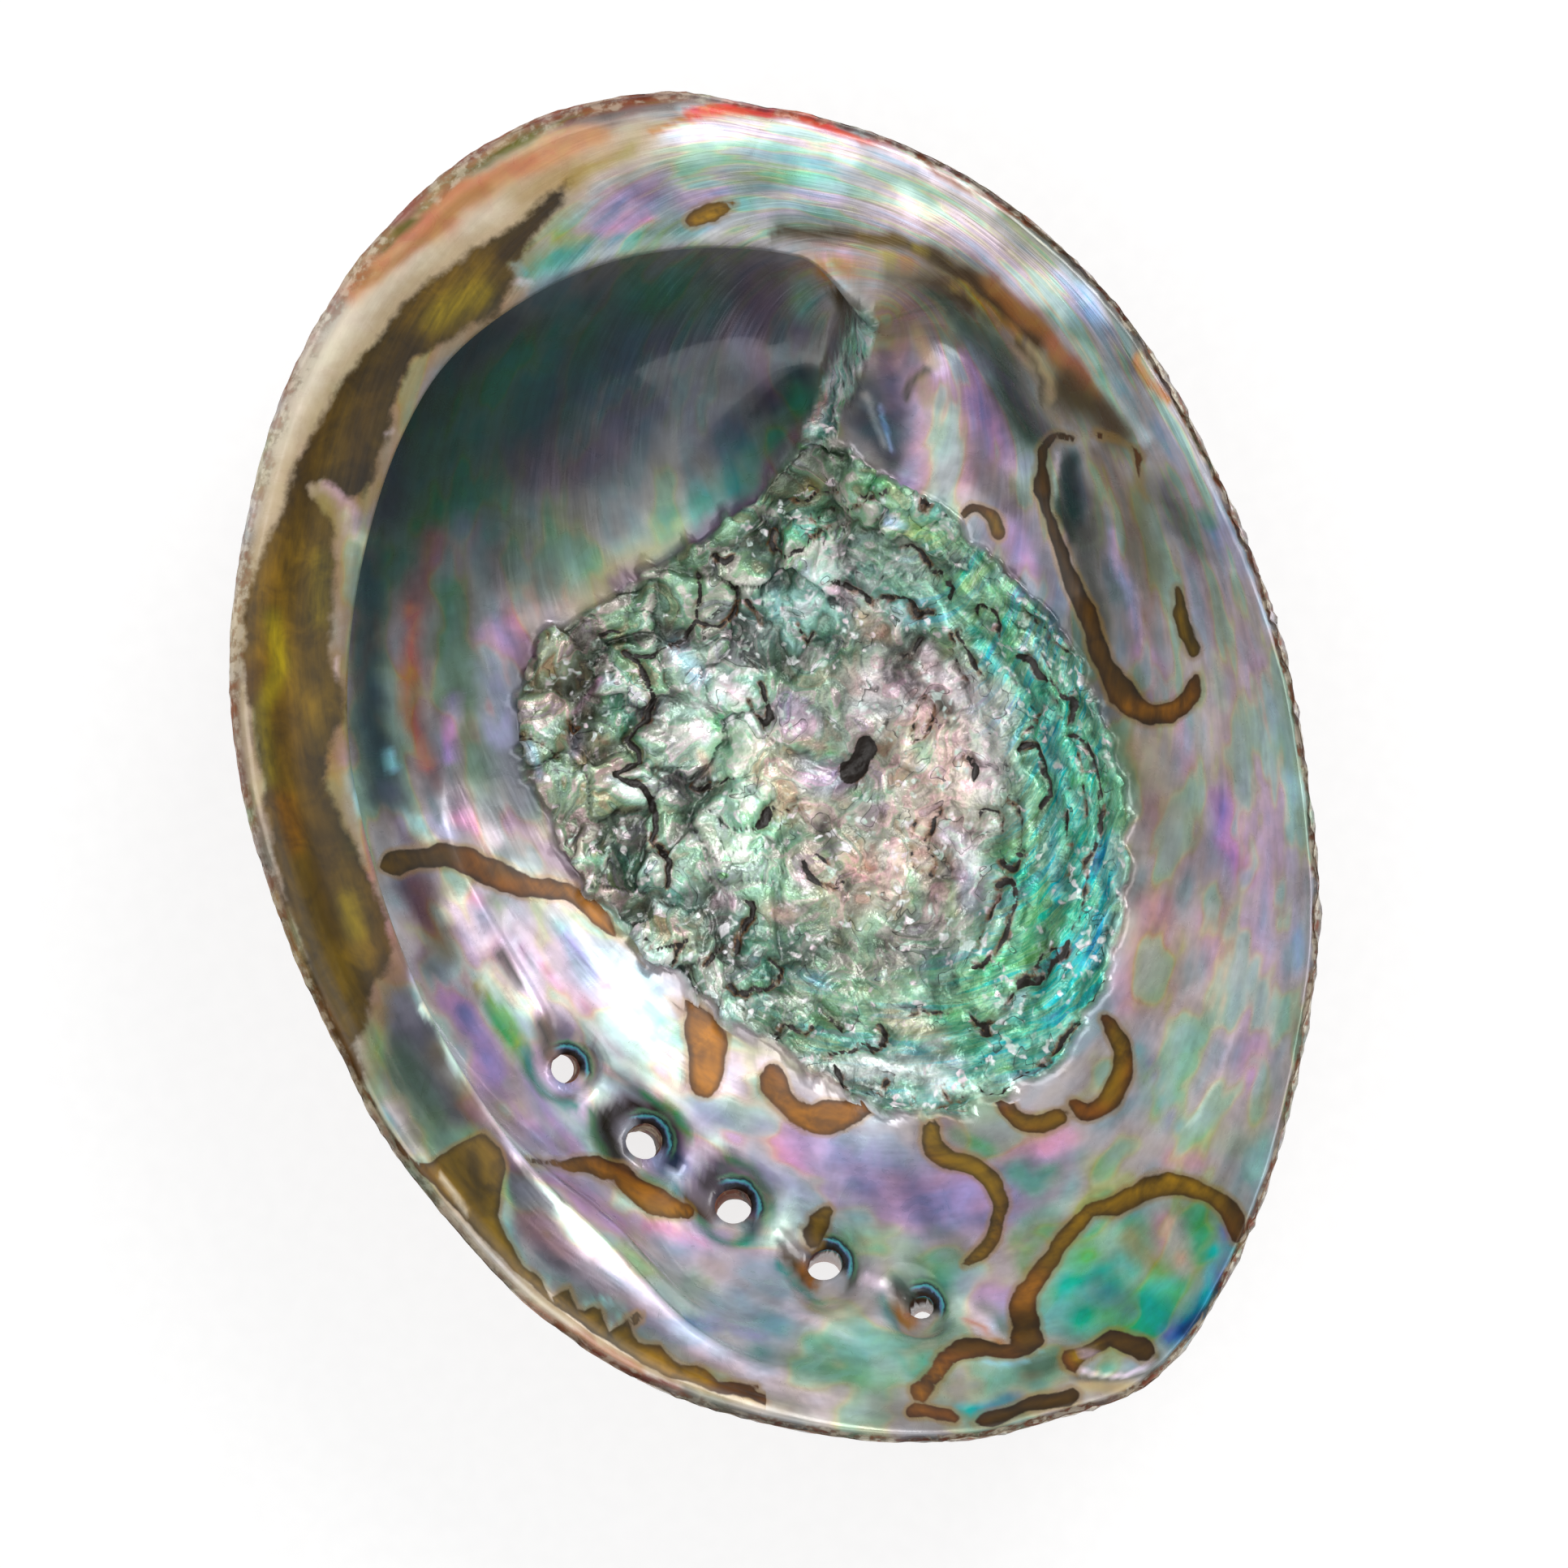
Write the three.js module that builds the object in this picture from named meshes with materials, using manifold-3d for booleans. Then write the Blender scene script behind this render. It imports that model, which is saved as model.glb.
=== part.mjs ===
// An abalone shell lying on its back, with its hollow up.
// Millimetres, +Z up. The shell is one grown piece, so it is one solid.
//
// The shell is drawn in plan first, as it is seen from straight above, with x to the right
// and y up the picture. It is then turned about Z so that its long axis lies along Y,
// and it stands on the worn flat of its back.
//
// At every angle round a centre, one profile runs from the middle of the bowl out over the
// muscle scar, up the wall, under and over the shelf, over the rim, and down the back to the
// worn flat. All the profiles make one closed skin.

import * as THREE from "three";
import Module from "manifold-3d";

const wasm = await Module();
wasm.setup();

// Driving dimensions
const RIM_HEIGHT = 40; // the rim's mean height over the surface that the shell lies on
const RIM_SWAY = 1.2; // the ends of the rim dip this much, and its sides rise as much
const LONG_AXIS = 113; // degrees from the plan's x to the long axis
const BACK_WEAR = 0.35; // how much of the back's lowest point is worn flat
const FLOOR_HEIGHT = 4.6; // the bowl's lowest place, over the same surface
const WALL = 2.8; // least thickness, away from the rim
const PLAN_CENTRE = [-1, 3]; // where the profiles meet

// Closed outline of the rim in plan, anticlockwise from the right
const OUTLINE = [
  [58.3, -15.2], [57.5, -4.3], [54.5, 12.6], [47.8, 30.4], [38.4, 47.2], [30, 56.3], [21.3, 62.9],
  [12.6, 67.2], [3.9, 69.9], [-3.9, 71.3], [-10.4, 72.4], [-17.8, 71.7], [-26.5, 69.2], [-35.2, 63.9],
  [-43.3, 56.1], [-48.7, 48.3], [-53.3, 38.7], [-56.8, 25.7], [-58.4, 13.9], [-58.3, 6.1],
  [-56.8, -3.9], [-54.3, -12.6], [-50.7, -22.2], [-46.5, -30.9], [-42.6, -38.6], [-35.2, -48.5],
  [-25.7, -58.4], [-13.5, -66.3], [-0.4, -70.6], [11.3, -72.3], [21.5, -72.1], [30.1, -70],
  [38.4, -67.2], [43.7, -62.7], [47.8, -56.3], [51.6, -48.3], [54.8, -38.3], [57.8, -23],
];
// The inner edge of the shelf: first the rounded shoulder up the right side to the spire, then
// the shelf's free edge round the top and the left to the bottom
const SHELF_EDGE = [
  [46, 6], [41.3, 16.1], [37, 24.8], [32.6, 33.5], [27.8, 41.7], [21.3, 48.7], [16, 51.4],
  [12, 52.6], [8.8, 53.2], [5.7, 54], [-0.4, 55.4], [-9.1, 55.7], [-17.8, 54.2],
  [-26.5, 50.4], [-35.2, 43.5], [-40.4, 34.8], [-44.1, 23], [-45.7, 12.6], [-45.7, 2.2],
  [-43.5, -9.1], [-39.6, -20.9], [-34.3, -31.7], [-26.5, -42.6], [-17, -51.3], [-9.1, -59.8],
  [0.4, -65.9], [12.6, -69.8],
];
// Closed edge of the rough muscle scar
const SCAR_EDGE = [
  [38.7, -4.8], [38.5, -13], [36.5, -22.4], [31.5, -32.4], [25.6, -35.9], [17, -38.4], [11.6, -37.4],
  [-1, -30.4], [-11.9, -22.4], [-20.9, -13], [-27.4, -0.4], [-28.3, 7], [-25.9, 13.5], [-17.4, 19.5],
  [-10.9, 23.5], [-3, 29], [4.1, 36.4], [12.5, 31.5], [19, 28], [26, 20.5], [33, 12.5], [36, 5],
];
// The groove of the breathing holes, from the oldest, long closed, to the rim
const HOLE_ROW = [
  [-39.6, -12.2], [-34.3, -17.8], [-28.7, -23.9], [-23, -32.6], [-14.4, -40.4], [-4.6, -47.4],
  [5.4, -53.5], [15.8, -58], [24.8, -61.7], [33.9, -63.2], [41, -62.6],
];
const HOLE_GROOVE_DEPTH = 2.4;
const HOLE_GROOVE_SPREAD = 4.2;
const HOLE_RIDGE_HEIGHT = 1.9;
const HOLE_RIDGE_SPREAD = 4.5;
// Open breathing holes: place and radius
const OPEN_HOLES = [
  { at: [-23, -33], radius: 1.6 },
  { at: [-14.4, -41], radius: 2 },
  { at: [-4.6, -48], radius: 2 },
  { at: [5.4, -54.2], radius: 1.9 },
  { at: [15.8, -58.5], radius: 1.4 },
];
const HOLE_SIDES = 18;
const FUNNEL_DEPTH = 2.6; // from the inside face down to the throat of a hole
const FUNNEL_FLARE = 1.9; // a funnel's mouth over its throat
const TUBE_WALL = 1.9; // of the raised rim that a hole has on the back
const TUBE_HEIGHT = 1.7;
const TUBE_ROOT = 1.5; // how deep that rim is rooted in the wall
const BORE_LENGTH = 15;
// Pits of holes that haven't broken through: place, half sizes and direction in plan
const BLIND_PITS = [
  { at: [24.8, -61.7], half: [2.2, 1.3, 1.3], turn: 15 },
  { at: [35.6, -63], half: [3.6, 1.7, 1.5], turn: 8 },
];
// The valley between the bulge at the spire and the rounded shoulder
const SPIRE_VALLEY = [[15, 50], [21.5, 45.5], [27, 38], [30.5, 30], [34, 20]];
const SPIRE_VALLEY_DEPTH = 2.8;
const SPIRE_VALLEY_SPREAD = 3.6;
const BULGE = { at: [16.5, 40], radius: 11, height: 4 };
// The spire itself, a low mound on the back
const SPIRE = { at: [12, 49], radius: 15, height: 3 };
// Relief of the scar
const SCAR_STEP = 0.7; // the scar stands this much proud of the smooth nacre
const LUMP_SIZE = 5.5;
const LUMP_HEIGHT = 1.5;
const LEDGE_HEIGHT = 0.7; // of the terraces on the scar's right side
const GROWTH_RIPPLE = 0.3; // of the growth bands on the back

// Values round the shell, as [degrees anticlockwise from the right, value]
// How far the profile has a shelf inside the rim, and not a plain rising lip
const SHELF_SHARE = around([[0, 0], [20, 0.3], [45, 0.8], [70, 1], [150, 1], [235, 1], [260, 0.85],
  [286, 0], [320, 0]]);
// How far it has a hollow under that shelf
const RECESS_SHARE = around([[0, 0], [60, 0], [75, 0], [82, 1], [160, 1], [235, 1], [260, 0.85],
  [286, 0], [320, 0]]);
const UNDERCUT = around([[60, 0], [78, 4.5], [90, 7], [110, 7.5], [135, 7], [160, 6], [180, 5], [200, 3],
  [225, 0.8], [250, -1.2], [300, 0], [340, 0]]);
// How far the free edge hooks inwards at the spire
const SPIRE_HOOK = around([[0, 0], [66, 0], [76, 4.4], [86, 0], [180, 0]]);
const EDGE_DROP = around([[15, 16], [30, 14], [45, 11], [60, 8], [75, 6], [110, 5], [150, 5],
  [180, 5.5], [210, 7], [235, 8.5], [260, 6], [285, 3], [330, 6]]);
// Height of the shelf's middle between its edge and the rim: over a half, its top is convex
const SHELF_CROWN = around([[0, 0.6], [45, 0.72], [90, 0.68], [120, 0.55], [160, 0.45], [200, 0.42],
  [240, 0.5], [280, 0.6]]);
const RIM_ROLL = around([[0, 0.9], [60, 1], [95, 1.6], [120, 2.6], [150, 2.2], [190, 1.4], [240, 1.2],
  [300, 1]]);
const SCAR_HEIGHT = around([[0, 17.5], [35, 15.5], [62, 14.5], [80, 14], [100, 9], [135, 6.5], [180, 6.8],
  [215, 8.2], [250, 9.6], [285, 13], [320, 17.5]]);
const RECESS_HEIGHT = around([[0, 12], [80, 9], [110, 7], [150, 6.8], [180, 7.8], [205, 10], [235, 12.5],
  [262, 15], [300, 20]]);
// How full and square the back is, from a plain bowl at 0
const BACK_FULLNESS = around([[0, 0.3], [50, 0.45], [80, 0.9], [110, 1], [180, 1], [215, 0.85],
  [250, 0.6], [290, 0.4], [330, 0.3]]);
const LEDGE_SHARE = around([[0, 1], [40, 0.8], [70, 0], [240, 0], [290, 0.7], [330, 1]]);

// Steps of the mesh along the profile, between the profile's points from the middle to the rim
const INSIDE_STEPS = [4, 4, 4, 3, 2, 2, 2, 1, 1, 1, 2, 2, 1, 1];
const LAST_RELIEF_POINT = 8; // relief of the inside ends under the shelf's edge
// Rings of the back, as shares of the outline's radius
const BACK_RINGS = [0.993, 0.975, 0.945, 0.9, 0.845, 0.78, 0.7, 0.61, 0.51, 0.41, 0.31, 0.2, 0.1];

const outlineRadius = radiusByAngle(smoothCurve(OUTLINE, true));
const shelfRadius = radiusByAngle(smoothCurve(SHELF_EDGE, false));
const scarRadius = radiusByAngle(smoothCurve(SCAR_EDGE, true));
const holeRow = smoothCurve(HOLE_ROW, false);
const spireValley = smoothCurve(SPIRE_VALLEY, false);

// Smooth function round the shell through the given values, without overshoot
function around(keys) {
  const count = keys.length;
  const angleAt = (i) => keys[((i % count) + count) % count][0] + 360 * Math.floor(i / count);
  const valueAt = (i) => keys[((i % count) + count) % count][1];
  const slopeAt = (i) => {
    const before = (valueAt(i) - valueAt(i - 1)) / (angleAt(i) - angleAt(i - 1));
    const after = (valueAt(i + 1) - valueAt(i)) / (angleAt(i + 1) - angleAt(i));
    return before * after <= 0 ? 0 : (2 * before * after) / (before + after);
  };
  return (degrees) => {
    let angle = ((degrees % 360) + 360) % 360;
    if (angle < keys[0][0]) angle += 360;
    let i = count - 1;
    while (angleAt(i) > angle) i -= 1;
    const span = angleAt(i + 1) - angleAt(i);
    const t = (angle - angleAt(i)) / span;
    const h = t * t * (3 - 2 * t);
    const rise = slopeAt(i) * (t * t * t - 2 * t * t + t) + slopeAt(i + 1) * (t * t * t - t * t);
    return valueAt(i) * (1 - h) + valueAt(i + 1) * h + span * rise;
  };
}

function smoothCurve(points, closed) {
  const path = new THREE.CatmullRomCurve3(
    points.map(([x, y]) => new THREE.Vector3(x, y, 0)),
    closed,
    "centripetal",
  );
  return path.getPoints(points.length * 10).map((point) => [point.x, point.y]);
}

function degreesOf(x, y) {
  return ((Math.atan2(y - PLAN_CENTRE[1], x - PLAN_CENTRE[0]) * 180) / Math.PI + 360) % 360;
}

// Radius of a curve round the plan's centre; the ends of an open curve are held
function radiusByAngle(curve) {
  const samples = curve
    .map(([x, y]) => [degreesOf(x, y), Math.hypot(x - PLAN_CENTRE[0], y - PLAN_CENTRE[1])])
    .sort((a, b) => a[0] - b[0]);
  const last = samples.length - 1;
  return (degrees) => {
    const angle = ((degrees % 360) + 360) % 360;
    let next = samples.findIndex((sample) => sample[0] > angle);
    if (next < 0) next = last + 1;
    const before = next > 0 ? samples[next - 1] : [samples[last][0] - 360, samples[last][1]];
    const after = next <= last ? samples[next] : [samples[0][0] + 360, samples[0][1]];
    const share = (angle - before[0]) / (after[0] - before[0]);
    return before[1] + (after[1] - before[1]) * share;
  };
}

function mix(a, b, share) {
  return a + (b - a) * share;
}

function smoothStep(low, high, value) {
  const t = Math.min(1, Math.max(0, (value - low) / (high - low)));
  return t * t * (3 - 2 * t);
}

function distanceTo(curve, x, y) {
  let nearest = Infinity;
  for (let i = 1; i < curve.length; i += 1) {
    const [ax, ay] = curve[i - 1];
    const [bx, by] = curve[i];
    const length = (bx - ax) ** 2 + (by - ay) ** 2;
    const t = Math.min(1, Math.max(0, ((x - ax) * (bx - ax) + (y - ay) * (by - ay)) / length));
    nearest = Math.min(nearest, Math.hypot(x - ax - t * (bx - ax), y - ay - t * (by - ay)));
  }
  return nearest;
}

function bell(distance, spread) {
  return Math.exp(-((distance / spread) ** 2));
}

function mound({ at, radius, height }, x, y) {
  const share = Math.min(1, Math.hypot(x - at[0], y - at[1]) / radius);
  return height * (1 - share * share) ** 2;
}

// Repeatable value from 0 to 1 for a cell of the plan
function cellValue(i, j) {
  const value = Math.sin(i * 127.1 + j * 311.7) * 43758.5453;
  return value - Math.floor(value);
}

// Rounded lumps that meet in creases
function lumps(x, y) {
  const u = x / LUMP_SIZE;
  const v = y / LUMP_SIZE;
  let nearest = Infinity;
  for (let i = Math.floor(u) - 1; i <= Math.floor(u) + 1; i += 1) {
    for (let j = Math.floor(v) - 1; j <= Math.floor(v) + 1; j += 1) {
      const cu = i + 0.2 + 0.6 * cellValue(i, j);
      const cv = j + 0.2 + 0.6 * cellValue(j + 40, i + 17);
      nearest = Math.min(nearest, Math.hypot(u - cu, v - cv));
    }
  }
  return LUMP_HEIGHT * (0.5 - nearest * nearest);
}

function rimHeight(degrees) {
  return RIM_HEIGHT - RIM_SWAY * Math.cos((2 * (degrees - LONG_AXIS) * Math.PI) / 180);
}

// Height of the back at a share of the outline's radius, without relief
function backHeight(degrees, share) {
  const rho = Math.min(1, share);
  const bowl = 0.7 * rho ** 2.1 + 0.3 * (1 - Math.sqrt(1 - rho ** 2));
  const full = 1 - (1 - rho ** 2.5) ** 0.4;
  return Math.max(0, rimHeight(degrees) * mix(bowl, full, BACK_FULLNESS(degrees)) - BACK_WEAR);
}

function backPoint(degrees, share) {
  const [x, y] = planPoint(degrees, share * outlineRadius(degrees));
  const fade = smoothStep(0.2, 0.5, share) * (1 - smoothStep(0.93, 0.99, share));
  const ridge = HOLE_RIDGE_HEIGHT * bell(distanceTo(holeRow, x, y), HOLE_RIDGE_SPREAD);
  const relief = ridge + mound(SPIRE, x, y) + GROWTH_RIPPLE * Math.sin(share * 40);
  return [x, y, Math.max(0, backHeight(degrees, share) - relief * fade)];
}

function planPoint(degrees, radius) {
  const angle = (degrees * Math.PI) / 180;
  return [PLAN_CENTRE[0] + radius * Math.cos(angle), PLAN_CENTRE[1] + radius * Math.sin(angle)];
}

// Points [radius, height] of the inside profile, from the middle to the outline
function profilePoints(degrees) {
  const rim = outlineRadius(degrees);
  const crest = rim - RIM_ROLL(degrees);
  const brow = Math.min(shelfRadius(degrees), crest - 4);
  const edge = brow - SPIRE_HOOK(degrees);
  const scar = scarRadius(degrees);
  const rimTop = rimHeight(degrees);
  const edgeTop = rimTop - EDGE_DROP(degrees);
  const scarTop = SCAR_HEIGHT(degrees);
  const recess = RECESS_HEIGHT(degrees);
  const undercut = UNDERCUT(degrees);
  const shelf = SHELF_SHARE(degrees);
  const hollow = RECESS_SHARE(degrees);
  const blend = (share, a, b) => [mix(a[0], b[0], share), mix(a[1], b[1], share)];
  const lip = (share) => [mix(scar, crest, share), mix(scarTop, rimTop, share ** 1.15)];
  const inner = blend(shelf, lip(0.84), [edge, edgeTop]);
  const wall = (share, under) => {
    const rising = [mix(scar, inner[0], share), mix(scarTop, inner[1], share ** (1.15 + 0.5 * shelf))];
    return blend(hollow, rising, under);
  };
  const top = (share, crown) => [mix(brow, crest, share), mix(edgeTop, rimTop, crown)];
  return [
    [0, FLOOR_HEIGHT],
    [0.35 * scar, mix(FLOOR_HEIGHT, scarTop, 0.13)],
    [0.7 * scar, mix(FLOOR_HEIGHT, scarTop, 0.5)],
    [scar, scarTop],
    wall(0.27, [mix(scar, edge, 0.45), recess]),
    wall(0.48, [edge + undercut - 3.5, recess + 2.5]),
    wall(0.65, [edge + undercut, mix(recess, edgeTop, 0.45)]),
    wall(0.79, [edge + 0.75 * undercut, edgeTop - 4.5]),
    wall(0.9, [edge + 0.8, edgeTop - 1.3]),
    inner,
    blend(shelf, lip(0.9), top(mix(0.2, 0.12, hollow), mix(0.25, 0.09, hollow))),
    blend(shelf, lip(0.94), top(0.58, SHELF_CROWN(degrees))),
    blend(shelf, lip(0.97), [crest - 2, rimTop - 0.6]),
    [crest, rimTop],
    [rim, rimTop - 1.6],
  ];
}

// The profile's points joined by a smooth curve, as [radius, height, place along the profile]
function insideProfile(degrees) {
  const points = profilePoints(degrees);
  const path = new THREE.CatmullRomCurve3(
    points.map(([radius, height]) => new THREE.Vector3(radius, height, 0)),
    false,
    "centripetal",
  );
  const spans = points.length - 1;
  const samples = [];
  INSIDE_STEPS.forEach((steps, span) => {
    for (let step = 1; step <= steps; step += 1) {
      const place = span + step / steps;
      const point = path.getPoint(place / spans);
      samples.push([point.x, point.y, place]);
    }
  });
  return samples;
}

// A point of the inside profile, moved away from the back where the wall would be too thin
function keepWall(degrees, radius, height, least) {
  const rim = outlineRadius(degrees);
  for (let pass = 0; pass < 3; pass += 1) {
    const back = backHeight(degrees, radius / rim);
    const slope = (backHeight(degrees, radius / rim + 0.002) - back) / (0.002 * rim);
    const steepness = Math.hypot(1, slope);
    const missing = Math.max(0, least - (height - back) / steepness);
    radius -= (missing * slope) / steepness;
    height += missing / steepness;
  }
  return [radius, height];
}

function insidePoint(degrees, [radius, height, place]) {
  const [x, y] = planPoint(degrees, radius);
  const smooth = 1 - smoothStep(LAST_RELIEF_POINT - 1.5, LAST_RELIEF_POINT, place);
  const groove = HOLE_GROOVE_DEPTH * bell(distanceTo(holeRow, x, y), HOLE_GROOVE_SPREAD);
  const valley = SPIRE_VALLEY_DEPTH * bell(distanceTo(spireValley, x, y), SPIRE_VALLEY_SPREAD);
  const spireSide = 1 - RECESS_SHARE(degrees);
  const scar = 1 - smoothStep(2.75, 3.05, place);
  const ledges = LEDGE_HEIGHT * LEDGE_SHARE(degrees) * smoothStep(1.4, 2, place);
  const rough = SCAR_STEP + lumps(x, y) + ledges * Math.cos(place * 4 * Math.PI);
  const relief = spireSide * (mound(BULGE, x, y) - valley) - groove;
  const least = WALL * (1 - smoothStep(9, 12.5, place));
  const raised = height + smooth * relief + scar * rough;
  const [keptRadius, keptHeight] = keepWall(degrees, radius, raised, least);
  return [...planPoint(degrees, keptRadius), keptHeight];
}

function columnAngles() {
  const angles = [];
  let angle = 0;
  while (angle < 360) {
    angles.push(angle);
    angle += angle >= 72 && angle < 84 ? 1.5 : 4;
  }
  return angles;
}

// Closed skin of rings between a point in the bowl's middle and one on the worn flat
function skin() {
  const columns = columnAngles().map((degrees) => [
    ...insideProfile(degrees).map((sample) => insidePoint(degrees, sample)),
    ...BACK_RINGS.map((share) => backPoint(degrees, share)),
  ]);
  const rings = columns[0].length;
  const count = columns.length;
  const middle = [PLAN_CENTRE[0], PLAN_CENTRE[1], FLOOR_HEIGHT + SCAR_STEP];
  const bottom = [PLAN_CENTRE[0], PLAN_CENTRE[1], 0];
  const vertices = [middle, ...columns.flat(), bottom];
  const at = (column, ring) => 1 + (column % count) * rings + ring;
  const triangles = [];
  for (let column = 0; column < count; column += 1) {
    triangles.push([0, at(column, 0), at(column + 1, 0)]);
    for (let ring = 1; ring < rings; ring += 1) {
      const [a, b] = [at(column, ring - 1), at(column, ring)];
      const [c, d] = [at(column + 1, ring), at(column + 1, ring - 1)];
      triangles.push([a, b, c], [a, c, d]);
    }
    triangles.push([at(column, rings - 1), vertices.length - 1, at(column + 1, rings - 1)]);
  }
  const mesh = new wasm.Mesh({
    numProp: 3,
    vertProperties: new Float32Array(vertices.flat()),
    triVerts: new Uint32Array(triangles.flat()),
  });
  return new wasm.Manifold(mesh);
}

// Heights of both faces at a place of the plan, well inside the rim
function facesAt(x, y) {
  const degrees = degreesOf(x, y);
  const radius = Math.hypot(x - PLAN_CENTRE[0], y - PLAN_CENTRE[1]);
  const samples = insideProfile(degrees).map((sample) => [sample[0], insidePoint(degrees, sample)[2]]);
  const next = samples.findIndex((sample) => sample[0] > radius);
  const [before, after] = [samples[next - 1], samples[next]];
  const inside = mix(before[1], after[1], (radius - before[0]) / (after[0] - before[0]));
  return { inside, back: backPoint(degrees, radius / outlineRadius(degrees))[2] };
}

// Direction out of the back at a place of the plan, leaning half way back to straight down
function holeDirection(x, y) {
  const slopeX = facesAt(x + 1, y).back - facesAt(x - 1, y).back;
  const slopeY = facesAt(x, y + 1).back - facesAt(x, y - 1).back;
  const normal = new THREE.Vector3(slopeX / 2, slopeY / 2, -1).normalize();
  return normal.add(new THREE.Vector3(0, 0, -1)).normalize();
}

// Where a line from the inside face comes out of the back
function outOfBack(start, direction) {
  const point = start.clone();
  while (point.z > facesAt(point.x, point.y).back) point.addScaledVector(direction, 0.2);
  return point;
}

// A round body along +Z from its origin, set at a point with its axis in a direction
function aimed(body, point, direction) {
  const turn = new THREE.Quaternion().setFromUnitVectors(new THREE.Vector3(0, 0, 1), direction);
  const matrix = new THREE.Matrix4().compose(point, turn, new THREE.Vector3(1, 1, 1));
  return body.transform(matrix.elements);
}

function withHoles(body) {
  const rims = [];
  const bores = [];
  for (const { at: [x, y], radius } of OPEN_HOLES) {
    const direction = holeDirection(x, y);
    const inner = new THREE.Vector3(x, y, facesAt(x, y).inside);
    const start = outOfBack(inner, direction).addScaledVector(direction, -TUBE_ROOT);
    const wide = radius + TUBE_WALL;
    const rim = wasm.Manifold.cylinder(TUBE_ROOT + TUBE_HEIGHT, wide * 1.25, wide * 0.8, HOLE_SIDES);
    rims.push(aimed(rim, start, direction));
    bores.push(aimed(wasm.Manifold.cylinder(BORE_LENGTH, radius, radius, HOLE_SIDES), inner, direction));
    const mouth = radius * FUNNEL_FLARE;
    const cone = wasm.Manifold.cylinder(2 * FUNNEL_DEPTH, 2 * mouth - radius, radius, HOLE_SIDES);
    const lifted = inner.clone().addScaledVector(direction, -FUNNEL_DEPTH);
    bores.push(aimed(cone, lifted, direction));
  }
  for (const { at: [x, y], half, turn } of BLIND_PITS) {
    const pit = wasm.Manifold.sphere(1, 16).scale(half).rotate([0, 0, turn]);
    bores.push(pit.translate([x, y, facesAt(x, y).inside + 0.2]));
  }
  return body.add(wasm.Manifold.union(rims)).subtract(wasm.Manifold.union(bores));
}

// The long axis turned to Y, the box's middle over the origin, and the worn flat at z = 0
function placed(body) {
  const turned = body.rotate([0, 0, 90 - LONG_AXIS]);
  const { min, max } = turned.boundingBox();
  return turned.translate([-(min[0] + max[0]) / 2, -(min[1] + max[1]) / 2, -min[2]]);
}

function meshOf(body, name, material) {
  const { vertProperties, triVerts } = body.getMesh();
  const geometry = new THREE.BufferGeometry();
  geometry.setAttribute("position", new THREE.BufferAttribute(new Float32Array(vertProperties), 3));
  geometry.setIndex(new THREE.BufferAttribute(new Uint32Array(triVerts), 1));
  geometry.computeVertexNormals();
  const mesh = new THREE.Mesh(geometry, material);
  mesh.name = name;
  return mesh;
}

const nacre = new THREE.MeshStandardMaterial({ color: 0x9fb8ac, roughness: 0.35 });
const abalone = new THREE.Group();
abalone.name = "abalone_shell";
abalone.add(meshOf(placed(withHoles(skin())), "shell", nacre));

export default abalone;
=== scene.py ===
"""An abalone shell lying on its back, with its hollow up, on a pale floor.

The shell is one grown piece, so it is one mesh in place of the CAD node. It is drawn in plan first,
in millimetres, with x to the right and y up the picture, and its middle line runs up to the spire.
At every angle round a centre, one profile runs from the middle of the bowl over the muscle scar, up
the wall, under and over the shelf, over the rim and down the back. The whole is then turned about Z
and set where the CAD solid is.
"""

import math

import bmesh
import bpy
import numpy as np
from mathutils import Matrix, Vector, noise


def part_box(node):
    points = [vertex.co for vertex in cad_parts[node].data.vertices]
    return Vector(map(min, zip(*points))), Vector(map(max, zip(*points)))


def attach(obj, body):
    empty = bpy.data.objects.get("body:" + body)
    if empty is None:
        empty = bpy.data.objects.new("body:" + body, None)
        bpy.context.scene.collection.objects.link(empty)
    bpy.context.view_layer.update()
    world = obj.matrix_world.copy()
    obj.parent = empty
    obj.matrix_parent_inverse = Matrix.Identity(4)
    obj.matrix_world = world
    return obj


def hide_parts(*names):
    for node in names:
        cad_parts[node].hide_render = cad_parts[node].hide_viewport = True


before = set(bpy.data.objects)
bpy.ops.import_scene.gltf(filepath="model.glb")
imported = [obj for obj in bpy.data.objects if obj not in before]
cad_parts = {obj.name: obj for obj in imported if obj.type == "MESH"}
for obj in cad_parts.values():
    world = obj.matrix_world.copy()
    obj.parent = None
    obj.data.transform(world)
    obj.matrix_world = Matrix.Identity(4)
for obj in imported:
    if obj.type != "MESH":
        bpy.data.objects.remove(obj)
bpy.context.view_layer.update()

MM = 0.001

# Driving dimensions, in millimetres and degrees as in the CAD source
RIM_HEIGHT = 40
RIM_SWAY = 1.2
LONG_AXIS = 113
BACK_WEAR = 0.35
FLOOR_HEIGHT = 4.6
WALL = 2.6
PLAN_CENTRE = (-1, 3)

# Closed outline of the rim in plan, anticlockwise from the right
OUTLINE = [
    (58.3, -15.2), (57.5, -4.3), (54.5, 12.6), (47.8, 30.4), (38.4, 47.2), (30, 56.3), (21.3, 62.9),
    (12.6, 67.2), (3.9, 69.9), (-3.9, 71.3), (-10.4, 72.4), (-17.8, 71.7), (-26.5, 69.2), (-35.2, 63.9),
    (-43.3, 56.1), (-48.7, 48.3), (-53.3, 38.7), (-56.8, 25.7), (-58.4, 13.9), (-58.3, 6.1),
    (-56.8, -3.9), (-54.3, -12.6), (-50.7, -22.2), (-46.5, -30.9), (-42.6, -38.6), (-35.2, -48.5),
    (-25.7, -58.4), (-13.5, -66.3), (-0.4, -70.6), (11.3, -72.3), (21.5, -72.1), (30.1, -70),
    (38.4, -67.2), (43.7, -62.7), (47.8, -56.3), (51.6, -48.3), (54.8, -38.3), (57.8, -23),
]
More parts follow.
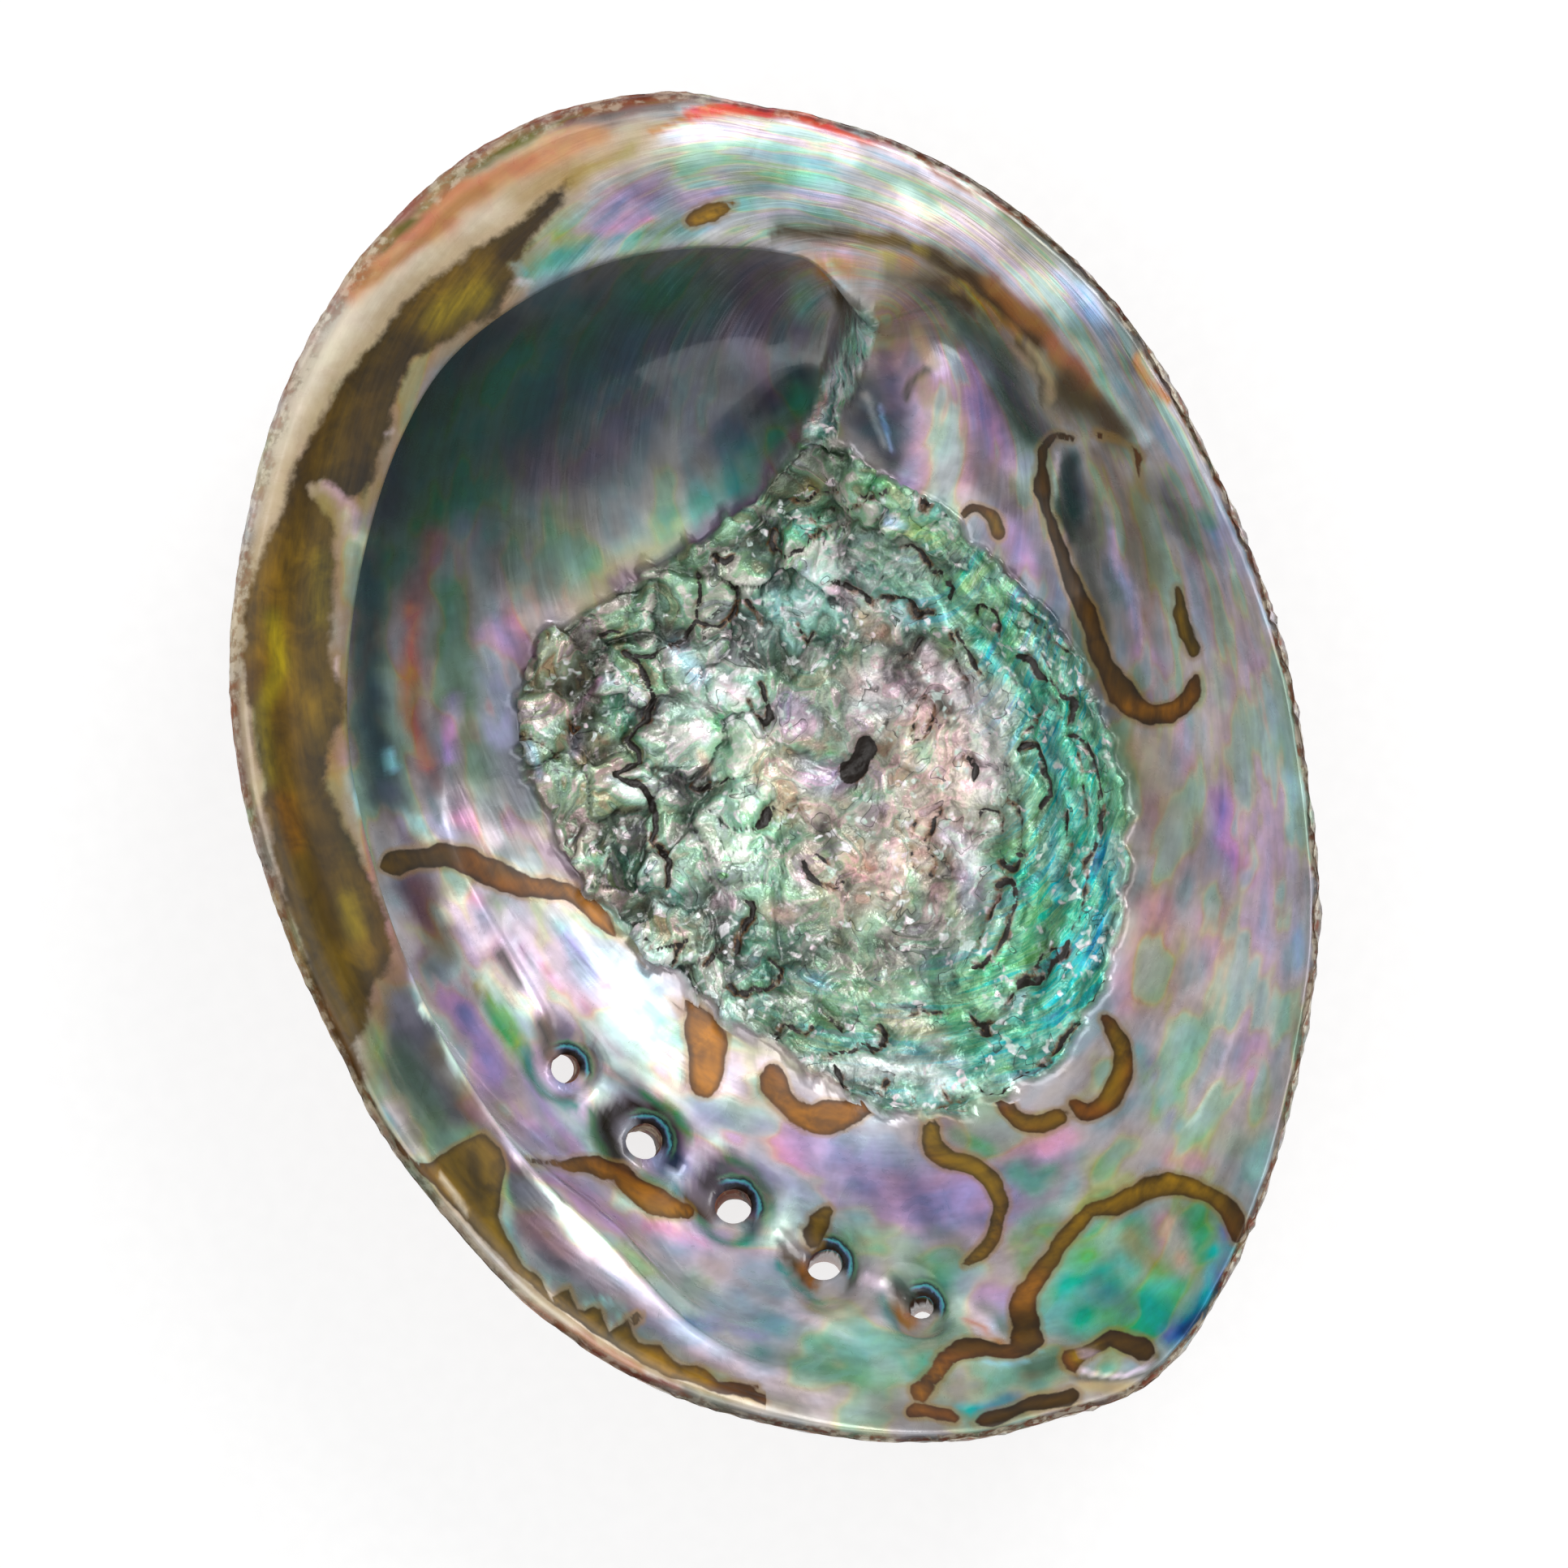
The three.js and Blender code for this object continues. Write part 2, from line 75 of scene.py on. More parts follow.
# The inner edge of the shelf, from the shoulder at the right round the top and the left
SHELF_EDGE = [
    (46, 6), (41.3, 16.1), (37, 24.8), (32.6, 33.5), (27.8, 41.7), (21.3, 48.7), (16, 51.4),
    (12, 52.6), (8.8, 53.2), (5.7, 54), (-0.4, 55.4), (-9.1, 55.7), (-17.8, 54.2),
    (-26.5, 50.4), (-35.2, 43.5), (-40.4, 34.8), (-44.1, 23), (-45.7, 12.6), (-45.7, 2.2),
    (-43.5, -9.1), (-39.6, -20.9), (-34.3, -31.7), (-26.5, -42.6), (-17, -51.3), (-9.1, -59.8),
    (0.4, -65.9), (12.6, -69.8),
]
# Closed edge of the rough muscle scar
SCAR_EDGE = [
    (38.7, -4.8), (38.5, -13), (36.5, -22.4), (31.5, -32.4), (25.6, -35.9), (17, -38.4), (11.6, -37.4),
    (-1, -30.4), (-11.9, -22.4), (-20.9, -13), (-27.4, -0.4), (-28.3, 7), (-25.9, 13.5), (-17.4, 19.5),
    (-10.9, 23.5), (-3, 29), (4.1, 36.4), (12.5, 31.5), (19, 28), (26, 20.5), (33, 12.5), (36, 5),
]
# The strip of flakes that runs from the scar up to the spire
FLAKY_STRIP = [(9.3, 47.6), (8, 44), (6.3, 40.6), (4.8, 37)]
FLAKY_EDGE = (1.9, 1.4)
FLAKE_HEIGHT = 0.7
# The groove of the breathing holes, from the oldest, long closed, to the rim
HOLE_ROW = [
    (-39.6, -12.2), (-34.3, -17.8), (-28.7, -23.9), (-23, -32.6), (-14.4, -40.4), (-4.6, -47.4),
    (5.4, -53.5), (15.8, -58), (24.8, -61.7), (33.9, -63.2), (41, -62.6),
]
HOLE_GROOVE_DEPTH = 2.4
HOLE_GROOVE_SPREAD = 4.2
HOLE_RIDGE_HEIGHT = 1.9
HOLE_RIDGE_SPREAD = 4.5
# Open breathing holes: place and radius
OPEN_HOLES = [((-23, -33), 1.6), ((-14.4, -41), 2), ((-4.6, -48), 2), ((5.4, -54.2), 1.9),
              ((15.8, -58.5), 1.4)]
FUNNEL_DEPTH = 2.3
FUNNEL_SPREAD = 2.3
TUBE_HEIGHT = 1.6
TUBE_SPREAD = 1.6
# Pits of holes that haven't broken through: place, half sizes and direction in plan
BLIND_PITS = [((24.8, -61.7), (2.4, 1.4), 15, 1.1), ((35.6, -63), (3.8, 1.8), 8, 1.4)]
# The valley between the bulge at the spire and the rounded shoulder
SPIRE_VALLEY = [(15, 50), (21.5, 45.5), (27, 38), (30.5, 30), (34, 20)]
SPIRE_VALLEY_DEPTH = 2.8
SPIRE_VALLEY_SPREAD = 3.6
# Round mounds as place, reach and rise: the bulge in the bowl and the spire on the back
BULGE = ((16.5, 40), 11, 4)
SPIRE = ((12, 49), 15, 3)
# Relief of the scar: its form as in the CAD solid, then its pads, scales, terraces and cracks
SCAR_STEP = 0.7
LUMP_SIZE = 5.5
LUMP_HEIGHT = 1.5
LEDGE_HEIGHT = 0.7
SWELL_HEIGHT = 0.35
PAD_SIZE = 6.8
PAD_HEIGHT = 0.6
SCALE_SIZE = 2.2
SCALE_HEIGHT = 0.5
TERRACES = 5
TERRACE_HEIGHT = 0.7
GRIT_HEIGHT = 0.06
# Depth of the finest crack, and how much deeper one of 1 mm is
HAIR_CRACK_DEPTH = 0.25
WIDE_CRACK_DEPTH = 0.8
# Relief of the back and the rim
SUTURE_DEPTH = 1.3
GROWTH_BANDS = 15
BAND_HEIGHT = 0.5
GROWTH_THREADS = 62
THREAD_HEIGHT = 0.16
FOLDS = 7
FOLD_HEIGHT = 0.55
CRUST_HEIGHT = 0.3
CLUMP_HEIGHT = 0.35
CHIP_DEPTH = 0.75

# Values round the shell, as (degrees anticlockwise from the right, value)
SHELF_SHARE = [(0, 0), (20, 0.3), (45, 0.8), (70, 1), (150, 1), (235, 1), (260, 0.85), (286, 0),
               (320, 0)]
RECESS_SHARE = [(0, 0), (60, 0), (75, 0), (82, 1), (160, 1), (235, 1), (260, 0.85), (286, 0),
                (320, 0)]
UNDERCUT = [(60, 0), (78, 4.5), (90, 7), (110, 7.5), (135, 7), (160, 6), (180, 5), (200, 3), (225, 0.8),
            (250, -1.2), (300, 0), (340, 0)]
SPIRE_HOOK = [(0, 0), (66, 0), (76, 4.4), (86, 0), (180, 0)]
EDGE_DROP = [(15, 16), (30, 14), (45, 11), (60, 8), (75, 6), (110, 5), (150, 5), (180, 5.5), (210, 7),
             (235, 8.5), (260, 6), (285, 3), (330, 6)]
SHELF_CROWN = [(0, 0.6), (45, 0.72), (90, 0.68), (120, 0.55), (160, 0.45), (200, 0.42), (240, 0.5),
               (280, 0.6)]
RIM_ROLL = [(0, 0.9), (60, 1), (95, 1.6), (120, 2.6), (150, 2.2), (190, 1.4), (240, 1.2), (300, 1)]
SCAR_HEIGHT = [(0, 17.5), (35, 15.5), (62, 14.5), (80, 14), (100, 9), (135, 6.5), (180, 6.8), (215, 8.2),
               (250, 9.6), (285, 13), (320, 17.5)]
RECESS_HEIGHT = [(0, 12), (80, 9), (110, 7), (150, 6.8), (180, 7.8), (205, 10), (235, 12.5), (262, 15),
                 (300, 20)]
BACK_FULLNESS = [(0, 0.3), (50, 0.45), (80, 0.9), (110, 1), (180, 1), (215, 0.85), (250, 0.6),
                 (290, 0.4), (330, 0.3)]
LEDGE_SHARE = [(0, 1), (40, 0.8), (70, 0), (240, 0), (290, 0.7), (330, 1)]

# Stretches of the inside profile, counted in its points, over which one surface gives way to the next
LEDGE_START = (1.4, 2)
TERRACE_START = (1.5, 2.1)
SCAR_END = (2.9, 3)
FLOOR_END = (6.5, 8)
FUNNEL_END = (7, 8)
SHELF_START = (8.6, 9.3)
WALL_END = (9, 12.5)
RIM_START = (12.6, 13.8)
# The same on the back, as shares of the way out to the rim
BACK_RIM = (0.96, 0.995)
# Any distance to a mark that is too far away to count
FAR = 9.0

# The mesh: columns round the shell, least width of a face, rings between the inside profile's points
# and down the back
COLUMNS = 512
FACE_WIDTH = 0.45
INSIDE_RINGS = [22, 24, 24, 10, 12, 12, 10, 6, 4, 3, 10, 8, 4, 5]
BACK_RINGS = 66
# Vertices within this distance become one
WELD = 0.001
# Boring the holes: how many of the profile's spans they can start in, step of the search for the
# back, and how far the cut goes past both faces
FLOOR_SPANS = 6
BORE_STEP = 0.2
BORE_OVERSHOOT = 3
# Beyond this distance from a hole its halo has faded
HALO_REACH = 4

# Colours of the nacre, the horn and the crust, as sRGB values
PALETTE = {
    "navy": (32, 44, 58), "slate": (72, 84, 92), "plum_grey": (94, 86, 106),
    "sea_green": (84, 130, 112), "green": (104, 160, 122), "mint": (168, 206, 184),
    "teal": (96, 158, 148), "silver_teal": (150, 182, 180), "blue": (92, 128, 170),
    "pale_blue": (184, 204, 226), "lavender": (178, 158, 192), "pale_lavender": (208, 198, 220),
    "magenta": (188, 142, 200), "pink": (218, 174, 192), "blush": (244, 220, 230),
    "pearl": (246, 243, 247), "silver": (170, 174, 168), "grey": (126, 126, 124), "smoke": (78, 76, 74),
    "cream": (224, 208, 180), "sand": (178, 158, 126), "gold": (166, 144, 88), "olive": (112, 88, 28),
    "amber": (182, 118, 40), "horn": (64, 44, 16), "copper": (184, 124, 96), "rust": (134, 72, 44),
    "red": (216, 80, 48), "brick": (120, 50, 36), "pitch": (26, 18, 12), "sage": (122, 138, 118),
    "taupe": (134, 120, 102), "peach": (214, 184, 166), "ice": (222, 242, 236), "lime": (162, 180, 122),
    "cyan": (84, 186, 192), "dark_green": (62, 84, 68), "honey": (150, 114, 36),
    "chestnut": (112, 66, 24), "bone": (208, 198, 180), "umber": (62, 48, 26), "khaki": (146, 130, 56),
    "moss": (96, 98, 46), "dusk": (112, 98, 112), "dim_green": (88, 98, 88), "dim_rose": (104, 82, 76),
    "deep_teal": (24, 46, 48), "emerald": (30, 78, 62), "deep_blue": (40, 52, 70), "plum": (50, 40, 58),
    "jade": (84, 196, 142), "salmon": (196, 148, 116), "tawny": (148, 98, 44), "mauve": (164, 146, 150),
    "glass": (118, 124, 122),
}
# Colours of the layers that have no mother of pearl
PLAIN = {
    "smoke", "cream", "sand", "olive", "amber", "horn", "copper", "rust", "red", "brick", "pitch",
    "honey", "chestnut", "bone", "umber", "khaki", "moss", "salmon", "tawny",
}

# Dark cracks in the muscle scar: width and points
CRACKS = [
    (0.7, [(-16.3, 12.6), (-15, 11.3), (-14.1, 9.6), (-13.4, 7.6), (-13.8, 5.7), (-15, 4.5),
     (-16.3, 3)]),
    (0.78, [(-16.3, 3), (-15, 1.7), (-15, 0.7), (-16.5, -0.4), (-17.7, -1), (-16.1, -1.6),
     (-14.8, -1.9), (-13.7, -3.2), (-13.1, -4.8), (-13.1, -7), (-13.5, -8.1)]),
    (0.7, [(-13.5, -8.1), (-12.4, -9.1), (-11.6, -10.4), (-11.7, -13)]),
    (0.43, [(-19.3, 14.5), (-18.3, 15), (-17.1, 14.8)]),
    (0.43, [(-16.1, 12.6), (-14.8, 12.1), (-13.5, 12.3), (-12.4, 12.8), (-10.9, 13.3), (-9.6, 14.8),
     (-8.7, 16.1)]),
    (0.43, [(-8.7, 21.3), (-8.1, 20), (-8.5, 17.8), (-8.6, 16.1), (-7.6, 15.6), (-6.1, 15.4),
     (-4.8, 16.5), (-4.2, 18.3), (-4.3, 19.6), (-5, 20.4)]),
    (0.61, [(-6.7, 22.9), (-5.5, 22.5), (-4.6, 23)]),
    (0.43, [(-0.1, 25.5), (-0.6, 24.1), (0, 23.3), (1, 23.2), (2, 23.8), (3.2, 24.2), (3.9, 25.2),
     (5.1, 25.9)]),
    (0.35, [(2, 29), (3, 28.7), (4.8, 29.8), (5.8, 29.6), (6.9, 30.2)]),
    (0.78, [(-1.5, 9.1), (-1.3, 8.1), (-0.7, 7), (-0.4, 5.7), (-1.1, 4.6)]),
    (0.26, [(-3, 7.4), (-2.2, 5.8), (-1.1, 4.6)]),
    (0.43, [(-22.7, 5), (-22.2, 4.1), (-21.5, 4.5)]),
    (0.26, [(-28.4, 3.7), (-26.5, 3), (-25, 2), (-23.7, 1)]),
    (0.26, [(2.5, 15.8), (3, 14.3), (3.7, 13.5), (4.2, 14.8)]),
    (0.35, [(-3, 18.1), (-2.3, 17), (-1.6, 15.9)]),
    (0.61, [(6.3, 20.3), (7.4, 19.8), (8.7, 19.1), (10, 18.4), (10.6, 18)]),
    (0.7, [(11.6, 18.3), (12.6, 18.6), (13.9, 18.3), (14.8, 17.4), (15.2, 16.5), (16.1, 16.8),
     (17.1, 17.1)]),
    (0.52, [(13.3, 11.9), (14.3, 12), (15.2, 12.6), (15.7, 13.9)]),
    (0.43, [(13.7, 23.7), (14.8, 23.9), (15.7, 23.3), (16.3, 22.3), (17, 21.2), (18, 21.1),
     (18.9, 20.4), (19.3, 19.6), (19.1, 18.3)]),
    (0.61, [(20.1, 14.8), (20.4, 13.7), (21.1, 12.4), (21.8, 11), (22.3, 9.8)]),
    (0.26, [(19.1, 14.8), (19.2, 12.6), (20, 10), (20.7, 9.1)]),
    (0.52, [(21.8, 16.8), (22, 17.4), (22.7, 17.7), (23.7, 17.1), (24.1, 16.1), (23.9, 15),
     (24.3, 14.4)]),
    (0.7, [(26.3, 11.9), (27.2, 11.9), (28, 11.3), (28.3, 10.2), (29.2, 9.7)]),
    (0.61, [(30, 9.8), (30.7, 8.7), (31.3, 7.7), (32.3, 7.4), (32.7, 6.3), (32.4, 5)]),
    (0.26, [(31.9, 4.6), (30.9, 5.7), (30.3, 7.2)]),
    (0.52, [(31.7, 3.5), (32.8, 3.5), (33.7, 2.9), (34.3, 1.3), (34.6, 0), (35.2, -1.7), (35.6, -4.8),
     (35.2, -7.4), (34.5, -9.6), (33.8, -10.3)]),
    (0.26, [(33.8, -10.3), (34, -12.6), (33.8, -14.5), (33, -16.3), (32.2, -18.3)]),
    (0.7, [(26.8, 1.9), (27.4, 2.5), (28.4, 2.3)]),
    (0.61, [(28.4, 2.3), (29, 1.1), (29.1, -0.3), (29.7, -1.5), (29.8, -3), (29, -4.6)]),
    (0.43, [(15.6, 6.7), (16.3, 7.5), (16.9, 6.7), (17, 5.2), (16.7, 3.9), (16.1, 2.9), (15.3, 2.9)]),
    (0.26, [(15.6, 6.7), (15.2, 5), (15, 3.5)]),
    (0.61, [(20.8, 1.1), (21.6, 0.6), (22, -0.4), (21.6, -1.5)]),
    (0.26, [(27, 17.4), (27.8, 16.3), (29.1, 15), (30.4, 13.5), (31.9, 12.5)]),
    (0.26, [(9.1, 30.2), (10.9, 30), (12.2, 30.4), (13.9, 30.8), (15.2, 30), (16.1, 29), (17, 28.4)]),
    (0.26, [(3.9, 27), (6.5, 27.7), (8.7, 28.6), (10, 29.5), (11.7, 29.3)]),
    (0.17, [(4.6, 26), (7, 26.4), (9.1, 27.2)]),
    (0.87, [(-8.7, -1.7), (-7.9, -2), (-7, -1.7)]),
    (2.26, [(10, 2.2), (9.7, 1.1), (8.8, -0.1), (8.1, -0.6)]),
    (0.52, [(-6, -1.7), (-5.1, -1.3)]),
    (1.13, [(-1.8, -6.5), (-1.2, -5.7), (-0.8, -5.1)]),
    (0.43, [(-0.4, -4.3), (0.9, -4.7), (2.2, -4.6), (3.7, -4.2)]),
    (0.52, [(3.1, -10.2), (3.5, -11.4), (4.2, -12.4), (5.3, -13), (6.5, -13.1), (7.5, -12.1)]),
    (0.26, [(3.1, -10.2), (3.7, -9.4), (4.8, -9.7), (5.7, -10.5)]),
    (0.78, [(-3.1, -14.7), (-2.4, -15.2), (-2.6, -16.5), (-3.5, -17.5)]),
    (0.43, [(-3.5, -17.5), (-4.1, -18.4), (-4.2, -19.4), (-4.6, -20.1)]),
    (0.52, [(-7.7, -21.7), (-7.1, -20.9), (-6.3, -20.1), (-5.8, -19.5)]),
    (0.52, [(-5.1, -23.7), (-4.3, -24.7), (-3.1, -24.8), (-2.3, -24), (-1, -24.1), (0, -23.5),
     (0.6, -22.3), (0.2, -21.3), (-0.5, -21)]),
    (0.43, [(-11.1, -20.3), (-11.5, -21.7)]),
    (0.35, [(-9.4, -19), (-10.2, -19.7), (-11, -19.7), (-12.2, -19.7), (-13.2, -20.1), (-14, -19)]),
    (0.61, [(-1.3, -30.7), (-0.6, -30), (0.2, -29.4), (0.3, -28.3), (1, -28), (1.8, -28.3),
     (2.6, -28.9), (3.3, -29.1), (4, -28.3)]),
    (0.52, [(17.8, -4.8), (17.4, -6.1), (16.5, -7.4), (16.3, -8.7), (17, -9.8), (17.2, -10.9),
     (16.7, -11.7)]),
    (0.26, [(15.9, -5.5), (15, -6.7), (15, -9.1), (15.3, -10.9), (16.7, -11.7)]),
    (0.43, [(22.3, -5.8), (22.4, -5), (23.1, -4.5), (24.1, -5), (24.7, -5.8), (24.3, -6.7)]),
    (0.61, [(24.6, -10.3), (25.2, -11), (26.2, -10.9), (26.7, -9.8), (26.2, -9.3)]),
    (0.78, [(24.1, -12.7), (25, -12.2), (25.9, -12.7)]),
    (0.61, [(25.9, -12.7), (26.3, -13.7), (26.3, -15.2), (25.7, -16.5), (25.5, -17.8), (24.8, -19.2),
     (24, -20.4), (22.7, -21.4), (21.5, -21.9)]),
    (0.26, [(24.4, -13.5), (23.6, -15.7), (22.6, -17.4), (22.3, -19.6), (21.3, -20.7)]),
    (0.78, [(31.9, -19.1), (31.5, -20.5), (30, -21.3), (29, -22.5), (27.4, -23.5), (26.2, -23.7)]),
    (0.35, [(31, -19.4), (29.3, -20.1), (27.9, -22.2), (26.3, -23.4), (25.7, -25.2), (24.8, -26.7)]),
    (0.52, [(21.1, -27), (21.7, -27.8), (23, -28.1), (23.9, -27.2)]),
    (0.7, [(22.3, -28.7), (23, -28.8)]),
    (0.43, [(14.8, -27), (16.1, -26.7), (17.4, -27), (18.7, -26.8), (19.7, -26.2)]),
    (0.61, [(11.3, -28.3), (11.9, -29.2), (11.7, -30.2), (10.8, -30.7), (9.7, -30.2), (8.6, -30.9),
     (7.2, -31.3), (5.5, -31.6)]),
    (0.43, [(5.2, -27), (6.3, -27.6), (7.2, -28.1), (7.5, -28.9)]),
    (0.52, [(6.5, -32.6), (7.2, -33.5), (7.4, -34.6), (7, -35.7), (6, -36.1)]),
    (0.43, [(12.1, -34.2), (11.4, -35.6), (10.9, -37), (9.5, -37.4), (7.4, -36.4)]),
    (0.61, [(36.6, -22.2), (35.4, -23.6), (34.8, -25.3), (33.6, -27), (32.3, -28.3), (30.9, -30),
     (29.3, -32.1), (27.4, -33.1), (25.7, -34.7)]),
    (0.43, [(37, -22.5), (36, -24.8), (34.4, -27.4), (32.7, -29.3), (31.6, -31.9), (30, -33.1),
     (27.7, -34.1), (25.9, -34.9)]),
    (0.35, [(25.7, -34.7), (23.6, -35.7), (22.3, -37), (19.7, -37.9), (17, -38.3), (14.2, -38.5),
     (12.3, -37.7)]),
    (0.35, [(22.3, -34.3), (22.5, -35.7), (21.7, -36.8)]),
    (0.35, [(18.3, -34.8), (18.9, -36.3), (17.8, -37.5)]),
    (0.26, [(15.2, -34.5), (15, -36.6)]),
    (0.26, [(20.6, -34.5), (20.4, -35.9), (19.8, -36.4)]),
    (0.35, [(37.7, 0.4), (38.3, -3), (38.7, -8.3), (38.9, -12.6), (38.4, -16.1), (37.7, -18.9),
     (37, -22.2)]),
    (0.26, [(31.6, -4.8), (31.9, -8.3), (31.6, -11.7)]),
    (0.26, [(33, 1.3), (33.5, -1.3), (33.9, -4.8), (33.7, -8.3)]),
    (0.26, [(29.1, 6.5), (27.8, 4.3), (26.7, 3.5)]),
    (0.26, [(25.5, -3.5), (26.7, -5.7), (26.7, -8.3), (27.4, -10)]),
]
# Bands of brown horn that show through the nacre, inside the bowl and on its right side: widths at
# the start and the end, and points
BOWL_BANDS = [
    (0.78, 1.39, [(32.1, 35.2), (30.4, 35.7), (29.1, 34.7)]),
    (1.74, 1.39, [(28.8, 34.2), (29, 30.9), (29.5, 28.1)]),
    (1.39, 1.74, [(29.5, 28.1), (30.9, 24.1), (32.8, 19.1), (33.9, 17)]),
    (1.48, 2.43, [(33.9, 17), (34.9, 13.3), (36.5, 9.8)]),
    (2.43, 2.61, [(36.5, 9.8), (38, 7.2), (40.3, 5.7)]),
    (2.43, 1.22, [(40.3, 5.7), (43, 6), (44.8, 7.4), (45.4, 9.5)]),
    (0.7, 1.74, [(43.3, 19.1), (43.9, 15.7), (45, 12.4)]),
    (0.35, 0.7, [(34.5, 35.9), (37.8, 34.8), (38.9, 33.3)]),
    (0.78, 0.35, [(38.9, 33.3), (39.2, 30.9), (39.9, 28.7)]),
    (1.13, 1.39, [(19.9, 26.3), (20.6, 27.7), (22, 28.4), (23.7, 27.4), (24.4, 25.8)]),
    (2.61, 2.61, [(-41.5, -10.5), (-38.7, -9.7), (-35.7, -9.7)]),
    (2.61, 3.48, [(-35.7, -9.7), (-31.7, -11.2), (-29.5, -12.3)]),
    (3.48, 1.91, [(-29.5, -12.3), (-27.4, -13), (-23, -13.7)]),
    (1.91, 1.74, [(-23, -13.7), (-21.1, -14.5), (-19.4, -16.1)]),
    (1.74, 0.43, [(-19.4, -16.1), (-17.8, -18), (-13.9, -21.3)]),
    (0.35, 0.7, [(-11.7, -25.2), (-9.1, -28.1)]),
    (1.04, 2.96, [(-9.5, -25.7), (-8.1, -27.9)]),
    (2.96, 4.35, [(-8.1, -27.9), (-7.4, -30.2)]),
    (4.35, 3.65, [(-7.4, -30.2), (-7.6, -34.3)]),
    (2.26, 2.96, [(-0.4, -33.5), (0.8, -36.6), (3.7, -38.3)]),
    (2.96, 3.48, [(3.7, -38.3), (5.7, -38.3)]),
    (3.48, 1.91, [(5.7, -38.3), (7.7, -37.8), (9.7, -36.8)]),
    (1.57, 1.91, [(24.6, -36.3), (26.2, -38.5), (28.7, -39), (30.7, -38)]),
    (1.39, 2.43, [(32.6, -36.4), (34, -37.8), (36.1, -36.6), (37.6, -33.3)]),
    (2.43, 1.04, [(37.6, -33.3), (37.8, -30), (35.9, -27.4)]),
    (2.09, 2.09, [(17, -39.1), (17.1, -41.3), (18.3, -42.6), (21.3, -43.2), (23.5, -44.8),
     (24.3, -47.4)]),
    (2.09, 0.7, [(24.3, -47.4), (23.9, -50.7), (22.3, -52.6), (20.6, -53.7)]),
    (2.61, 1.74, [(27, -60.1), (26.7, -57.1), (29.2, -53.9), (31.7, -50.5), (34.3, -47.9)]),
    (1.74, 2.43, [(34.3, -47.9), (37.3, -47.2), (40.1, -45.4), (42.9, -45)]),
    (2.43, 1.91, [(42.9, -45), (46.2, -45.8), (48.8, -47.2), (49.7, -50)]),
    (0.7, 1.39, [(-26.5, -42.3), (-23, -43.4), (-19.6, -43.2)]),
    (1.39, 3.3, [(-19.6, -43.2), (-16.4, -43.7)]),
    (3.3, 2.61, [(-16.4, -43.7), (-15, -46), (-13, -47.4)]),
    (2.61, 0.87, [(-13, -47.4), (-10.3, -48.3), (-9, -47.7)]),
    (0.87, 2.26, [(5.8, -47.9), (4.4, -49.5)]),
    (2.26, 1.57, [(4.4, -49.5), (3.2, -51)]),
    (2.43, 1.74, [(15.7, -67), (17.5, -65.1), (18.9, -62.9), (22.3, -62.2)]),
    (1.74, 1.39, [(22.3, -62.2), (24.8, -63.2), (26.9, -62.7), (28.1, -61.5)]),
    (2.09, 2.96, [(27.4, -59.6), (27, -61.1)]),
    (0.87, 1.74, [(21.7, -70.2), (25, -69.5), (27.8, -67.9), (31.6, -67.7)]),
    (2.26, 1.04, [(31.9, -63.6), (34.5, -62.2), (36.3, -61.3)]),
    (1.39, 2.26, [(36.3, -61.3), (38, -62), (39.6, -62.5)]),
    (1.22, 0.87, [(14.9, -69), (17.8, -69.3), (19.2, -70)]),
]
# Outlines of the fields of horn on the shelf: the long one with soft edges, and the jagged one
HORN_FIELD = [
    (-21.7, 63.2), (-23, 62.3), (-25, 60.9), (-27.4, 58.5), (-30, 56.8), (-32.6, 55.4), (-35, 53.7),
    (-37.8, 51.6), (-40.3, 49.1), (-42.3, 46.5), (-44.8, 43.5), (-46.5, 40.9), (-48.1, 38.3),
    (-49.8, 35.2), (-51.2, 32.6), (-52.3, 29.6), (-53, 26.5), (-54.3, 24.3), (-55.6, 21.7),
    (-56.3, 18.7), (-57, 15.2), (-56.6, 8.3), (-55.9, 3.9), (-55, -0.4), (-54.5, -4.8),
    (-53.8, -8.3), (-53, -12.6), (-51.7, -16.1), (-50.4, -20.4), (-49, -24.8), (-47.4, -28.3),
    (-45.7, -31.7), (-44.1, -34.8), (-43.9, -31.7), (-45.1, -30), (-43.7, -27.8), (-43.2, -23.5),
    (-41.3, -21.7), (-41.1, -18.7), (-42, -15.2), (-43.5, -11.7), (-44.8, -9.1), (-46.1, -6.5),
    (-47.2, -3.9), (-48.1, -1.3), (-48.1, 1.3), (-47.2, 3.9), (-46.1, 5.2), (-46.2, 8.3),
    (-47.2, 9.6), (-47.9, 12.6), (-47.6, 16.1), (-47.2, 19.6), (-47.4, 25.7), (-48.8, 28.3),
    (-50.2, 30), (-48.3, 30.7), (-45.7, 29), (-44.2, 29), (-43.2, 30.9), (-42.2, 34.3), (-41.1, 37),
    (-40.6, 39.6), (-39.6, 42.2), (-38.3, 43.9), (-36.1, 45.2), (-34.2, 46.3), (-32.2, 47.8),
    (-30.9, 47.7), (-29.8, 48.7), (-28.7, 50.9), (-28.1, 52.6), (-28.4, 53.9), (-27.4, 54.5),
    (-26.1, 56.1), (-25, 57.8), (-23.2, 60), (-22.2, 61.7),
]
